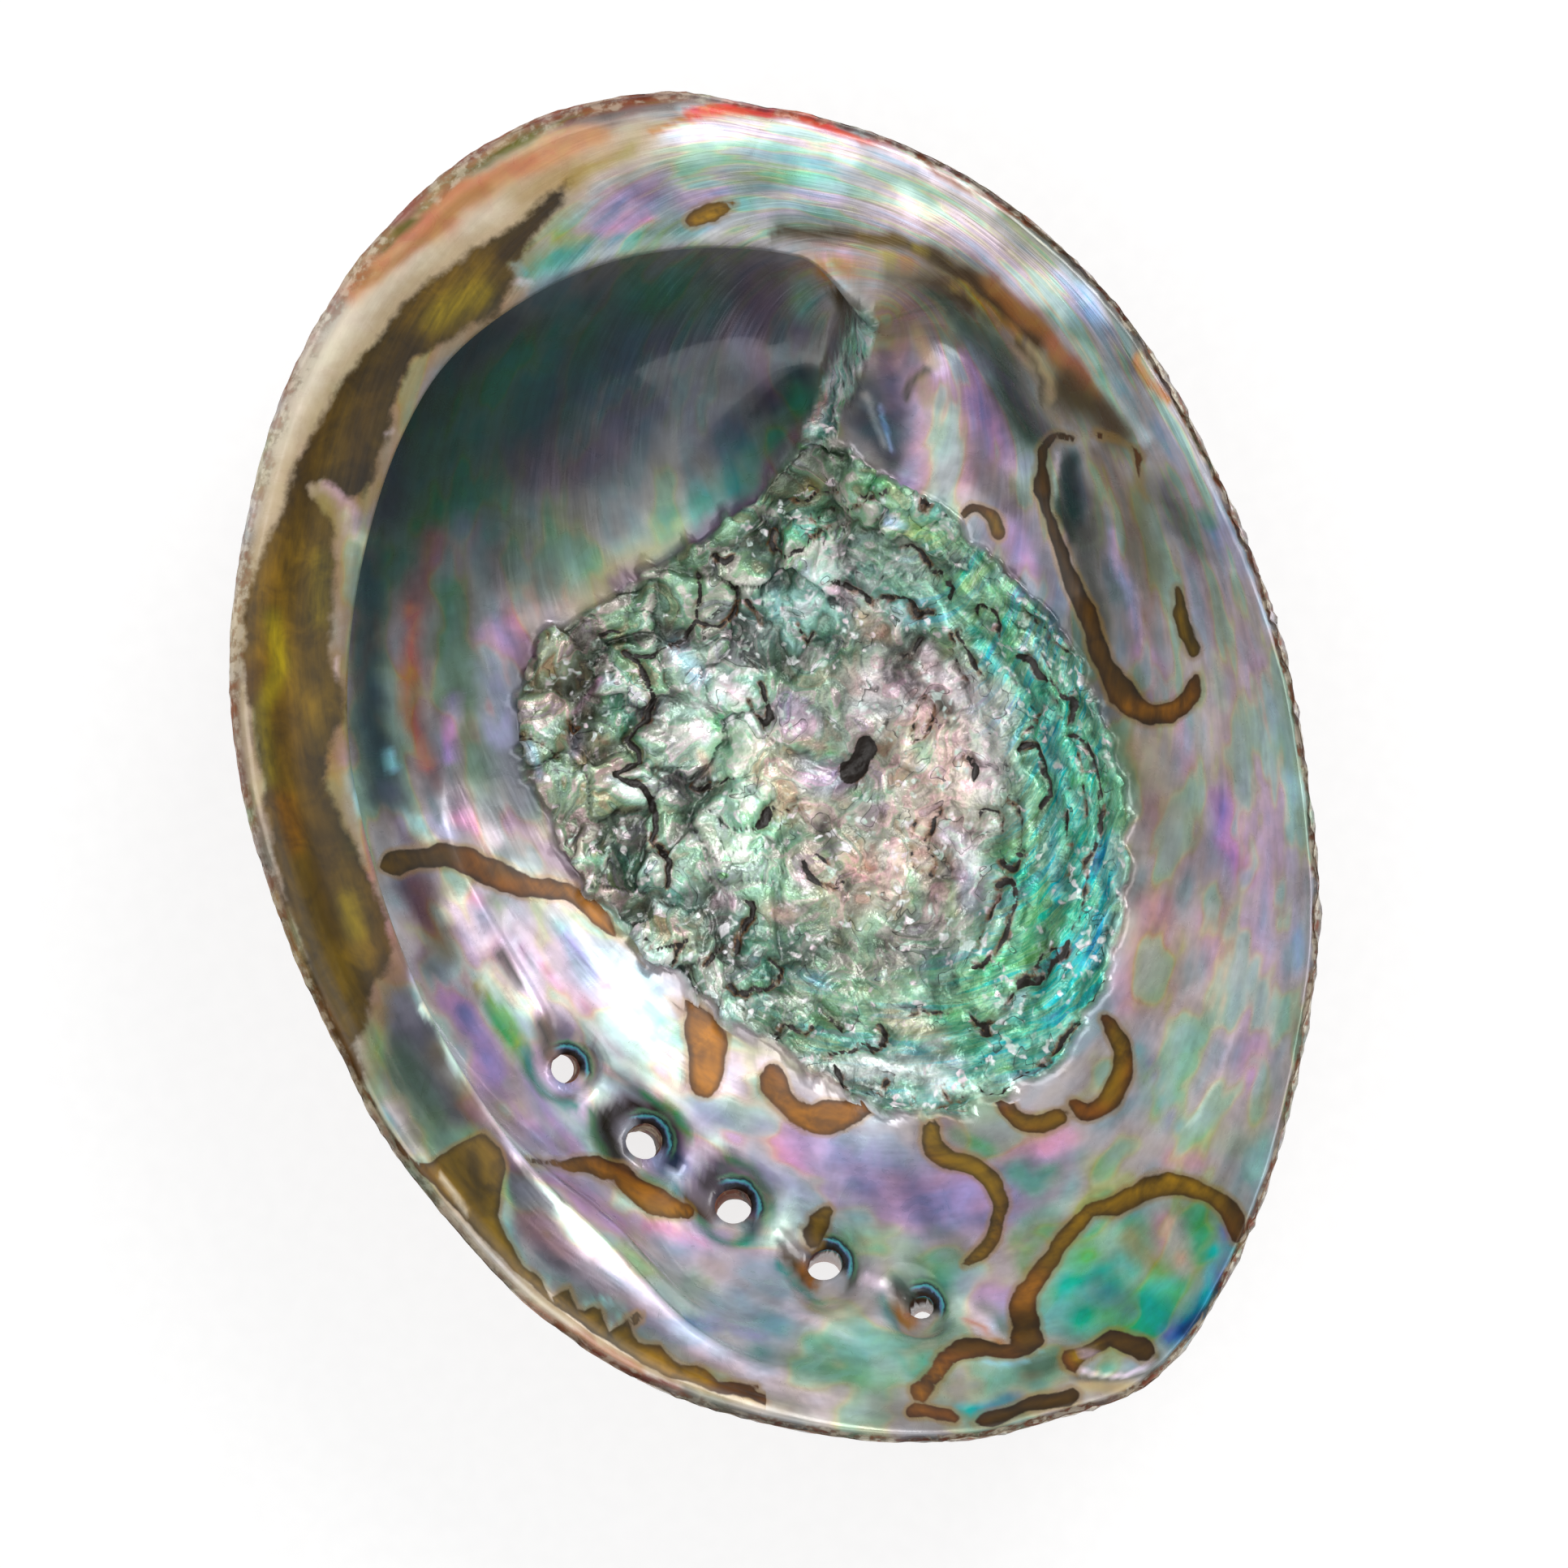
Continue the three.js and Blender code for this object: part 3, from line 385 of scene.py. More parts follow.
JAGGED_FIELD = [
    (-38.9, -42.3), (-37, -42.2), (-34.3, -40.6), (-31.4, -39.3), (-29.8, -40.9), (-28.8, -42.6),
    (-29.4, -45.3), (-29.7, -47.9), (-28.8, -50.5), (-27.1, -53.2), (-25.5, -54.5), (-24.1, -56.9),
    (-22.2, -55.8), (-20.8, -58.5), (-18.9, -57.5), (-17.8, -60.4), (-15.8, -59.1), (-14.9, -61.8),
    (-12.3, -62.1), (-10.3, -64.4), (-8.3, -64.1), (-6.1, -65.8), (-1.7, -66.5), (-2.2, -67.6),
    (-6.8, -66.9), (-11.2, -65.4), (-15, -63.5), (-18.2, -61.3), (-21.3, -59.2), (-25.1, -56.6),
    (-28.4, -53.4), (-32.3, -49.3), (-36, -45.4),
]
# The bands of horn on the shelf
SHELF_BANDS = [
    (0.78, 0.61, [(-44.3, -33.9), (-42.3, -37.4), (-39.6, -41.3), (-35.7, -45.3)]),
    (0.52, 1.04, [(-15.9, -58.9), (-15.8, -61.7), (-13.5, -62.7)]),
    (0.78, 0.35, [(-13.5, -62.7), (-10.7, -63.9), (-9.1, -65.8)]),
    (0.35, 0.7, [(-9.1, -65.8), (-4.8, -66.9), (-0.9, -67.9)]),
    (1.22, 2.26, [(-9, 58.5), (-6.9, 59.4)]),
    (2.26, 0.87, [(-6.9, 59.4), (-4.8, 60.4)]),
    (1.04, 1.39, [(-16.5, -60.4), (-14.8, -59)]),
    (0.26, 0.43, [(0, -68.4), (4.8, -69.7), (9.1, -70.2)]),
]
# Soft strokes of nacre colour in the bowl, with painted shade and painted highlights among them, painted
# in this order: colour, half width, strength and points
BOWL_STROKES = [
    # the dark teal, emerald, plum, blue and navy in the recess are its nacre colours darkened as painted
    # shade under the shelf
    ("deep_teal", 18.26, 1, [(-34.3, 37), (-11.7, 45.7)]),
    ("emerald", 6.09, 0.8, [(-41.3, 23), (-37.8, 37), (-30.9, 44.8)]),
    ("emerald", 3.83, 0.6, [(-33.5, 26.5), (-25.7, 25.7)]),
    ("emerald", 2.96, 0.6, [(-26.5, 44.8), (-22.2, 49.1)]),
    ("deep_teal", 4, 0.8, [(-43.9, 30), (-39.6, 42.2)]),
    ("plum", 3.83, 0.8, [(-24.8, 32.6), (-17.8, 34.3)]),
    ("plum", 2.61, 0.5, [(-34.3, 44.8), (-29.1, 48.3)]),
    ("deep_blue", 5.22, 0.8, [(-12.6, 44.8), (-17.8, 40.4)]),
    ("plum", 4.87, 0.9, [(-1.7, 51.7), (0.4, 44.8)]),
    ("deep_blue", 2.96, 0.7, [(3, 47.4), (0.4, 41.3)]),
    ("dusk", 1.74, 0.5, [(-4.8, 47.4), (0.4, 42.2)]),
    ("deep_blue", 3.48, 0.6, [(-8.3, 38.7), (-4.8, 35.2)]),
    ("dim_green", 4.35, 0.5, [(-22.2, 25.7), (-13.5, 30.9)]),
    ("emerald", 3.48, 0.6, [(-8.3, 51.7), (-13.5, 51.7)]),
    ("plum", 2.61, 0.5, [(-30.9, 22.2), (-25.7, 21.3)]),
    ("sea_green", 2.96, 0.95, [(-18.3, 20.9), (-10.9, 25.2), (-3.9, 30.9)]),
    ("mint", 1.22, 0.3, [(-15.2, 22.2), (-9.1, 26.5)]),
    ("sea_green", 1.91, 0.7, [(-2.2, 33.5), (2.6, 40.4)]),
    ("navy", 2.61, 0.95, [(-44.3, 22.2), (-44.3, 3.9), (-42.2, -3)]),
    ("navy", 2.26, 0.6, [(-42.2, 33.5), (-43.5, 26.5)]),
    ("emerald", 1.91, 0.7, [(-41.3, 21.3), (-37, 26.5)]),
    ("pale_blue", 0.61, 0.8, [(-42.5, 1.3), (-41.8, 0)]),
    ("dusk", 4, 0.95, [(-26.5, 16.1), (-29.6, 3.9), (-28.7, -5.7)]),
    ("dim_green", 2.96, 0.9, [(-34.3, 21.3), (-35.2, 10.9), (-33.5, 0.4)]),
    ("dim_rose", 1.74, 0.9, [(-37.8, 24.8), (-39.6, 16.1), (-39.8, 7.4), (-37, -1.3)]),
    ("copper", 0.96, 0.45, [(-39.4, 17), (-40.3, 7.4), (-38.3, 0.4)]),
    ("emerald", 1.22, 0.5, [(-35.7, 19.6), (-37.4, 12.6)]),
    ("plum_grey", 1.91, 0.7, [(-36.1, 22.2), (-34.3, 26.5)]),
    ("magenta", 0.87, 0.5, [(-35.4, 7.4), (-35.7, 1.3)]),
    ("lavender", 1.91, 0.7, [(-30.9, 14.3), (-30, 3.9)]),
    ("pink", 1.74, 0.6, [(-27.4, 16.1), (-23, 17)]),
    ("sand", 2.09, 0.6, [(-20.9, 17.8), (-17, 21.3), (-10.9, 23.9)]),
    ("dusk", 1.13, 0.9, [(-17, 19.9), (-8.3, 24.8), (-2.2, 29.6), (0.9, 33.9), (4.3, 38.3)]),
    ("smoke", 0.52, 0.8, [(-6.5, 25.2), (0.4, 30), (3.9, 33.5)]),
    ("dusk", 2.61, 0.8, [(-34.3, -4.8), (-27.4, -9.1), (-20.4, -12.6)]),
    ("plum_grey", 1.74, 0.7, [(-41.3, -3), (-40.4, -7.4)]),
    # the pearl and pale blue here are a painted highlight below the shelf's edge
    ("pearl", 1.04, 0.9, [(-38.9, -5.7), (-37.8, -8.3)]),
    ("pale_blue", 1.22, 0.7, [(-39.6, -5.7), (-35.7, -7.4)]),
    ("pink", 1.04, 0.7, [(-34.3, -5.7), (-30.9, -7.8)]),
    ("pale_lavender", 8.7, 0.9, [(-29.1, -22.2), (-4.8, -46.5)]),
    ("plum_grey", 2.26, 0.8, [(-39.6, -12.6), (-37, -17.8)]),
    ("dim_rose", 1.74, 0.9, [(-38.9, -13.9), (-37.7, -17.8), (-35.7, -20.4)]),
    ("plum", 1.04, 0.5, [(-39.6, -13.5), (-38.3, -17)]),
    ("plum_grey", 1.39, 0.8, [(-38.3, -20.9), (-34.3, -26.1)]),
    ("slate", 1.22, 0.5, [(-35.7, -24.8), (-32.2, -30.9), (-29.1, -35.7)]),
    ("pink", 0.78, 0.8, [(-33.3, -14.2), (-32.3, -14.5)]),
    ("mint", 1.74, 0.8, [(-29.1, -16.1), (-23, -17.8)]),
    ("green", 1.04, 0.5, [(-30.9, -14.3), (-27.4, -17)]),
    # the pearl strokes down the channel are a painted highlight
    ("pearl", 3.3, 1, [(-27.4, -20.4), (-22.2, -24.8), (-14.3, -32.6)]),
    ("pearl", 1.91, 0.9, [(-22.2, -19.6), (-16.1, -25.7), (-10.9, -33.5)]),
    ("lavender", 0.61, 0.8, [(-23, -18.7), (-17, -24.8), (-11.7, -31.7)]),
    ("silver_teal", 1.74, 0.8, [(-18.7, -19.1), (-13.5, -25.2), (-10, -30.9)]),
    ("pink", 0.52, 0.7, [(-27.4, -19.6), (-20.4, -27.4), (-14.3, -35.2)]),
    ("pink", 1.22, 0.7, [(-30.9, -19.6), (-28.7, -22.2)]),
    ("smoke", 0.78, 0.95, [(-29.8, -20.6), (-28.1, -23.5)]),
    # more painted highlight in the channel
    ("pearl", 1.39, 1, [(-34.3, -15.2), (-31.6, -19.1)]),
    ("pearl", 1.3, 1, [(-30.9, -23.5), (-27.4, -26.5)]),
    ("lavender", 2.26, 0.9, [(-35.7, -24.8), (-30.9, -33.5)]),
    ("blue", 1.22, 0.4, [(-34.3, -27.4), (-30.9, -32.6)]),
    ("gold", 0.61, 0.8, [(-32.2, -23.9), (-30, -28.3)]),
    ("green", 1.04, 0.8, [(-30.9, -26.5), (-27.4, -32.6), (-25.2, -34.8)]),
    ("mint", 1.04, 0.7, [(-25.7, -35.2), (-20.4, -39.6), (-18.7, -42.2)]),
    ("lavender", 2.09, 0.9, [(-27.4, -36.1), (-23, -41.3)]),
    ("silver", 0.87, 0.7, [(-29.1, -34.3), (-23, -41.3)]),
    ("lavender", 2.96, 0.9, [(-8.3, -39.6), (0.4, -45.7)]),
    ("pink", 1.57, 0.8, [(-13.5, -37), (-6.5, -41.3)]),
    ("plum_grey", 0.7, 0.6, [(-17.8, -33.5), (-9.1, -39.6), (-4.8, -42.2)]),
    ("plum_grey", 1.04, 0.7, [(-10, -26.5), (-9.6, -33.5)]),
    # painted highlight in the channel
    ("pearl", 1.39, 0.9, [(-28.7, -16.1), (-25.7, -18.7)]),
    ("smoke", 1.57, 0.45, [(39.7, 30.9), (40.8, 25.7)]),
    ("plum_grey", 1.74, 0.5, [(-15.2, -35.2), (-22.2, -28.3)]),
    ("mint", 1.74, 0.8, [(-22.2, -48.3), (-15.2, -53.5), (-8.3, -58.7)]),
    ("lavender", 1.91, 0.9, [(-23.9, -44.8), (-17, -50)]),
    ("pearl", 0.87, 0.9, [(-17, -46.5), (-9.1, -50.9)]),
    ("pink", 1.04, 0.8, [(-13.5, -50), (-8.3, -51.7)]),
    ("green", 1.39, 0.9, [(-9.1, -56.1), (-1.3, -60.4)]),
    ("taupe", 1.22, 0.6, [(-7.4, -54.3), (-1.3, -56.1)]),
    ("silver_teal", 2.96, 0.9, [(-4.8, -58.7), (3.9, -61.3)]),
    ("blue", 0.7, 0.8, [(-9.1, -59.4), (-1.3, -61.7)]),
    ("teal", 1.39, 0.9, [(-0.4, -60.4), (9.1, -63.9)]),
    ("sea_green", 1.04, 0.9, [(-2.2, -63), (9.1, -66.1)]),
    ("pearl", 0.7, 0.6, [(1.3, -58.7), (8.3, -61.3)]),
    ("silver", 2.26, 0.6, [(-4.8, -52.6), (3.9, -57)]),
    ("teal", 1.57, 0.8, [(9.1, -61.3), (17.8, -64.8)]),
    ("green", 1.39, 0.6, [(7.4, -64.8), (12.6, -66.5)]),
    ("silver", 1.22, 0.6, [(19.6, -65.7), (30, -65.7)]),
    ("pearl", 4.35, 0.3, [(-6.5, -57), (0.4, -60.4), (10.9, -63)]),
    ("smoke", 1.74, 0.5, [(10.9, -67.8), (19.6, -69.1)]),
    ("sand", 1.13, 0.9, [(33.1, -66.3), (37.8, -67)]),
    ("smoke", 0.43, 0.8, [(31.9, -65.7), (36.1, -65.5), (40.4, -64.8)]),
    ("cyan", 0.78, 0.9, [(20.1, -69.3), (21.7, -69.5)]),
    ("blue", 0.7, 0.7, [(22.2, -69), (26.7, -67.6)]),
    ("silver_teal", 1.22, 0.7, [(21.3, -66.2), (29.1, -65)]),
    ("dim_green", 1.39, 0.8, [(27.4, -64.8), (30.9, -63.9)]),
    # round the breathing holes and the blind pits: the pitch, navy and smoke on the upper left of the
    # funnels are painted shade, and the pearl and pale blue between the holes and on the pits' lips are
    # painted highlights
    ("pale_blue", 0.26, 0.9, [(21.3, -63.9), (24.8, -64.3), (27.2, -63.6), (28.6, -62.2)]),
    ("silver_teal", 0.7, 0.9, [(34.3, -64.3), (37.4, -64.3)]),
    ("pearl", 0.26, 1, [(32.6, -64.8), (37, -65.3), (39.6, -64.1), (40.4, -62.9)]),
    ("taupe", 1.48, 0.95, [(-25.3, -28.1), (-23.6, -30.9)]),
    ("smoke", 0.61, 0.9, [(-26.1, -28.1), (-24.6, -30)]),
    ("cream", 0.52, 1, [(-21.8, -29.5), (-20.4, -31.4), (-20.1, -33.1)]),
    ("smoke", 0.43, 0.8, [(-19.9, -30), (-19.2, -32.6), (-20.3, -34.9)]),
    ("umber", 0.78, 0.8, [(-22.2, -35.4), (-20.3, -34.9)]),
    ("green", 0.78, 0.9, [(-30.2, -27.6), (-27.4, -31.7), (-25.3, -35.2)]),
    ("teal", 0.7, 1, [(-27.4, -30.9), (-25.5, -34), (-23, -35.9), (-21.1, -36.3)]),
    ("lime", 0.52, 0.8, [(-31, -25.7), (-28.3, -29.7)]),
    ("pearl", 0.96, 1, [(-20.1, -35.2), (-18.5, -36.4)]),
    ("green", 0.7, 0.9, [(-19.2, -37.3), (-18.9, -39.9), (-17.8, -42.2)]),
    ("green", 0.7, 0.9, [(-14.5, -36.3), (-11, -37.7), (-9.3, -40.6)]),
    ("pitch", 1.74, 1, [(-17.7, -37.8), (-17.5, -39.9), (-16.6, -41.7)]),
    ("pitch", 1.22, 1, [(-16.1, -37.8), (-13.5, -38.2), (-12.1, -39.7)]),
    ("navy", 1.3, 1, [(-11.4, -40.6), (-10.7, -42.9)]),
    ("pearl", 1.13, 1, [(-8.4, -42), (-6.2, -41.3)]),
    ("pearl", 0.61, 1, [(-11, -43.9), (-9.5, -44.4)]),
    ("teal", 1.57, 1, [(-13.7, -45), (-10.9, -46.3)]),
    ("mint", 0.87, 0.7, [(-13.5, -45), (-11.6, -46)]),
    ("pitch", 1.83, 1, [(-7, -44.6), (-5.8, -46)]),
    ("horn", 1.13, 1, [(-9, -46.7), (-6.9, -47.9)]),
    ("navy", 1.04, 0.9, [(-2.5, -46.2), (-2, -48.3), (-2.5, -49.7)]),
    ("green", 0.7, 1, [(-5.7, -43.2), (-2.9, -44.1), (-0.8, -46.9), (-0.6, -49.5)]),
    ("teal", 0.61, 0.9, [(-8.1, -49), (-5.7, -50.3), (-3, -50.7)]),
    ("pearl", 1.22, 1, [(1, -47), (1.3, -49.1), (-0.3, -51.2)]),
    ("umber", 1.3, 1, [(1.7, -52.4), (3, -54.5)]),
    ("tawny", 0.61, 0.8, [(2.9, -53.5), (3.6, -54.9)]),
    ("pitch", 1.13, 1, [(3.7, -51.9), (5.8, -52.3)]),
    ("pitch", 0.96, 1, [(7.7, -52.6), (8.1, -54.7)]),
    ("teal", 0.52, 0.9, [(0.3, -53.7), (1.8, -55.9), (4.8, -57)]),
    ("navy", 0.52, 0.8, [(0.6, -50.9), (1.8, -50.3)]),
    ("pearl", 0.78, 1, [(9.7, -55), (12.6, -56.4)]),
    ("pitch", 1.3, 1, [(13.5, -55.7), (16.6, -56.1)]),
    ("navy", 0.78, 0.8, [(15.2, -54.3), (18, -55.6)]),
    ("tawny", 0.96, 1, [(13.1, -57.5), (14.5, -58.3)]),
    ("teal", 0.7, 0.8, [(11.9, -57.1), (13, -60.3)]),
    # by the blind pits: pearl is a painted highlight, while smoke, pitch and navy are painted shade in
    # them
    ("pearl", 1.3, 1, [(19.9, -58.3), (22.3, -60.6)]),
    ("copper", 0.43, 0.8, [(20.4, -59.9), (25.1, -62.5)]),
    ("sage", 0.78, 0.7, [(21.7, -58), (24.8, -60.4)]),
    ("smoke", 1.13, 0.9, [(26.3, -60.4), (27.2, -58.9)]),
    ("pearl", 0.7, 0.9, [(33.3, -59.9), (35.4, -60.6)]),
    ("pitch", 1.04, 0.9, [(36.1, -61), (39.4, -61.5)]),
    ("navy", 0.87, 0.8, [(37, -59.9), (39.7, -60.4)]),
    ("dark_green", 0.7, 0.7, [(40.1, -56.1), (40.4, -63.9)]),
    ("lavender", 5.22, 0.8, [(0.4, -43), (12.6, -47.4), (26.5, -45.7)]),
    ("pink", 1.91, 0.6, [(-0.4, -41.3), (3.9, -43)]),
    ("pearl", 0.7, 0.8, [(-5.2, -30.9), (-2.2, -33.5), (-1.3, -32.6)]),
    ("slate", 2.26, 0.4, [(7.4, -45.7), (11.7, -50.9)]),
    ("pale_blue", 1.91, 0.5, [(4.8, -43), (9.1, -48.3)]),
    ("sea_green", 1.91, 0.7, [(14.3, -53.5), (19.6, -55.2)]),
    ("mint", 1.57, 0.6, [(7.4, -51.7), (13.5, -52.2)]),
    ("plum_grey", 1.91, 0.5, [(13.5, -43.9), (17, -49.1)]),
    ("dim_green", 1.39, 0.6, [(17, -50.9), (19.6, -52.2)]),
    ("mauve", 3.48, 0.9, [(21.3, -40.4), (30, -43), (28.3, -50)]),
    ("green", 1.22, 0.7, [(20.4, -40.4), (23, -41.7)]),
    ("green", 1.22, 0.75, [(25.7, -43.9), (28.3, -45.7), (30, -43.9)]),
    ("green", 1.22, 0.7, [(26.5, -50.9), (30, -48.3), (27.4, -53.5)]),
    ("lavender", 1.91, 0.7, [(24.8, -57), (21.3, -56.1)]),
    ("pink", 1.57, 0.8, [(31.7, -40.4), (29.1, -41.7)]),
    ("lime", 1.39, 0.7, [(34.3, -43), (38.7, -44.8), (32.6, -47.4)]),
    ("mint", 1.04, 0.6, [(32.6, -44.8), (30.9, -47.4)]),
    ("silver", 10.43, 0.8, [(45.7, 12.6), (49.1, -22.2), (43.9, -39.6)]),
    ("plum_grey", 3.83, 0.8, [(25.7, 26.5), (29.1, 17.8), (34.3, 7.4)]),
    ("lavender", 1.39, 0.7, [(25.7, 25.7), (27.4, 19.6)]),
    ("slate", 1.57, 0.7, [(29.1, 22.2), (30.4, 16.1)]),
    ("dim_green", 2.09, 0.8, [(32.6, 15.2), (36.1, 5.7), (38.7, -1.3)]),
    ("grey", 2.96, 0.8, [(34.3, 28.3), (38.7, 16.1), (41.3, 8.3)]),
    ("deep_teal", 1.65, 1, [(31.7, 32.6), (32.2, 25.2)]),
    ("pearl", 0.35, 0.6, [(30.2, 33.5), (30.3, 28.3), (32.6, 21.3)]),
    ("smoke", 1.22, 0.95, [(33.3, 25.7), (35.7, 14.3)]),
    ("silver", 0.78, 0.8, [(33.9, 33.5), (36.1, 26.5)]),
    ("pale_lavender", 0.87, 0.9, [(36.5, 25.7), (38.7, 18.7), (40.9, 10)]),
    ("lavender", 1.22, 0.8, [(39.6, 12.6), (42.2, 8.3)]),
    ("moss", 1.22, 0.45, [(38.7, 30), (40.9, 17.8)]),
    ("taupe", 1.39, 0.8, [(35.2, 33.5), (39.6, 24.8), (41.3, 14.3)]),
    ("slate", 1.3, 0.9, [(42.2, 30), (45.2, 22.2)]),
    ("dusk", 1.22, 0.7, [(44.8, 21.3), (46.5, 14.3)]),
    ("grey", 2.61, 0.7, [(43.9, 33.5), (50, 19.6)]),
    ("pale_blue", 1.22, 0.8, [(41.3, 37), (45.7, 29.1), (49.1, 21.3)]),
    ("green", 0.78, 0.8, [(45.5, 28.3), (46.5, 26.1)]),
    ("pink", 0.61, 0.7, [(44.3, 30.9), (45.2, 28.7)]),
    ("dim_rose", 1.48, 0.95, [(47.4, 17.8), (49.1, 7.4), (49, -4.8)]),
    ("mauve", 0.87, 0.8, [(50, 15.2), (51.3, 10)]),
    ("blue", 1.22, 0.5, [(51.7, 9.1), (53, 3.9)]),
    ("lavender", 1.57, 0.7, [(51.7, 10.9), (53, 3.9)]),
    ("lime", 0.61, 0.9, [(47.4, 11.7), (48.3, 6.5)]),
    ("green", 1.04, 0.5, [(45.2, 6.5), (45.7, 1.3)]),
    ("sea_green", 1.04, 0.5, [(53.9, 3.9), (55.2, -1.3)]),
    ("sand", 2.09, 0.55, [(39.6, 2.2), (42.2, -4.8)]),
    ("pink", 1.22, 0.5, [(43.9, 3.9), (44.8, 0.4)]),
    ("magenta", 1.91, 0.9, [(49.3, -4.8), (50, -10)]),
    ("pink", 0.78, 0.9, [(48.4, -7.4), (49, -8.7)]),
    ("lavender", 2.96, 0.85, [(52.6, -2.2), (53.9, -13.5)]),
    ("plum_grey", 1.91, 0.5, [(46.5, -8.3), (48.3, -15.2)]),
    ("mauve", 2.26, 0.8, [(41.3, -4.8), (43, -10)]),
    ("pale_blue", 1.04, 0.7, [(55.4, -1.3), (56.1, -22.2)]),
    ("gold", 3.13, 0.75, [(41.3, -16.1), (43, -23.9)]),
    ("lime", 1.74, 0.6, [(39.6, -17.8), (40.4, -24.8)]),
    ("taupe", 1.04, 0.5, [(38.7, -10), (39.6, -14.3)]),
    ("lavender", 2.61, 0.85, [(50.9, -17.8), (51.7, -30.9)]),
    ("pink", 1.74, 0.7, [(47.4, -16.1), (48.3, -22.2)]),
    ("silver_teal", 1.22, 0.7, [(55.2, -24.8), (53.9, -34.3)]),
    ("green", 2.09, 0.85, [(45.7, -29.1), (42.2, -37)]),
    ("blue", 1.04, 0.75, [(40.9, -32.6), (43, -38.3)]),
    ("teal", 0.87, 0.8, [(40, -30.9), (40.4, -36.1)]),
    ("silver", 0.78, 0.7, [(43, -30.9), (42.2, -35.2)]),
    ("pearl", 0.35, 0.8, [(49.3, -27.8), (47.8, -33.5), (44.3, -38.3)]),
    ("magenta", 1.13, 0.5, [(51.7, -30), (51.3, -34.3)]),
    ("lime", 1.74, 0.6, [(45.7, -40.4), (50.9, -39.6)]),
    ("pink", 1.22, 0.6, [(43, -42.2), (45.7, -43)]),
    ("mint", 1.57, 0.7, [(52.6, -39.6), (51.7, -43)]),
    ("silver", 1.04, 0.8, [(56.4, 3.9), (57.1, -17.8), (55.2, -33.5), (52.6, -44.8)]),
    ("pearl", 6.09, 0.4, [(47.4, 16.1), (50.9, -4.8), (50, -22.2), (45.7, -35.2)]),
    ("pearl", 3.48, 0.25, [(41.3, -17.8), (42.2, -26.5)]),
    ("pink", 2.26, 0.5, [(41.3, -16.1), (38.7, -24.8)]),
    ("magenta", 1.39, 0.6, [(47.4, -3), (50.4, -11.7)]),
    ("green", 4.87, 0.95, [(33.5, -57.8), (40.4, -54.3), (45.7, -50)]),
    ("jade", 3.83, 1, [(33.5, -57), (40.4, -57.8)]),
    ("jade", 2.26, 0.7, [(32.6, -53.5), (38.7, -50.9)]),
    ("mint", 1.91, 0.6, [(36.1, -51.7), (42.2, -57)]),
    ("gold", 1.39, 0.6, [(38.7, -50.9), (41.3, -53.5)]),
    ("pink", 1.39, 0.7, [(42.2, -49.1), (43.5, -53.5)]),
    ("teal", 2.09, 0.9, [(34.3, -56.1), (42.2, -59.1)]),
    ("blue", 1.22, 0.95, [(48.7, -50), (47, -57), (42.2, -60.9)]),
    ("navy", 0.7, 0.8, [(47.8, -55.2), (44.3, -59.7)]),
    ("mint", 1.39, 0.7, [(29.1, -59.6), (32.6, -57)]),
    ("cyan", 0.7, 0.6, [(47.4, -51.7), (45.7, -57)]),
    ("mauve", 5.22, 0.9, [(13.5, 45.7), (20.4, 37)]),
    ("taupe", 3.48, 0.7, [(11.7, 48.7), (16.1, 47.4)]),
    ("pink", 3.48, 0.5, [(17, 40.4), (20.4, 33.5)]),
    ("lavender", 2.96, 0.9, [(20.9, 43), (22.6, 36.1)]),
    ("pale_lavender", 2.61, 0.8, [(13.5, 30), (17, 33.5)]),
    ("blush", 2.96, 1, [(17.4, 38.3), (18.3, 32.6)]),
    ("pearl", 1.57, 1, [(17.8, 38.3), (18, 34.8)]),
    ("pale_lavender", 1.39, 0.8, [(17.8, 43.9), (19.1, 39.6)]),
    ("sand", 1.04, 0.7, [(15.7, 46.5), (17, 43.9)]),
    ("smoke", 0.52, 1, [(16.3, 43.2), (15, 42.2), (14.5, 40.3)]),
    ("sand", 0.78, 0.6, [(16.1, 42.2), (16.8, 39.6)]),
    ("slate", 2.26, 0.9, [(10, 40.4), (12.6, 36.1)]),
    ("navy", 1.57, 0.7, [(9.1, 37), (12.6, 33.9)]),
    ("silver", 0.52, 0.8, [(9.7, 39.6), (11.7, 35.2)]),
    ("pale_blue", 0.35, 0.7, [(11.7, 38.7), (12.6, 34.8)]),
    ("plum_grey", 1.22, 0.7, [(11.3, 44.8), (13.5, 38.7)]),
    ("umber", 1.22, 1, [(6.5, 51.7), (8.7, 48.7)]),
    ("pitch", 1.04, 1, [(7.6, 52.2), (9.1, 49.1)]),
    ("pitch", 0.78, 1, [(9.1, 49.1), (9.3, 47.4)]),
    ("sea_green", 1.39, 0.8, [(3.5, 52.2), (3, 50)]),
    ("smoke", 0.78, 0.9, [(4.8, 47.4), (3.9, 44.8)]),
    ("grey", 1.57, 0.75, [(22.2, 34.8), (23.5, 30)]),
    ("grey", 1.04, 0.7, [(26.3, 30.2), (26.7, 29)]),
    ("lavender", 1.57, 0.6, [(23.9, 35.2), (26.5, 32.6)]),
    ("deep_teal", 1.22, 0.95, [(8.3, 52.2), (14.3, 51.6), (18.2, 49.9), (21.7, 47)]),
    ("deep_teal", 2.17, 0.95, [(21.7, 47), (24.8, 42.9), (26.7, 39), (28.4, 36.1)]),
    ("moss", 0.7, 0.8, [(13.5, 52.6), (17.8, 51.6)]),
    ("sand", 0.96, 0.8, [(25.7, 44.8), (29.1, 41.7), (30.9, 37.8)]),
    ("taupe", 1.91, 0.8, [(31.7, 43), (35.2, 38.7), (37.8, 35.2)]),
    ("tawny", 1.04, 0.7, [(30, 43.9), (34.3, 40.4)]),
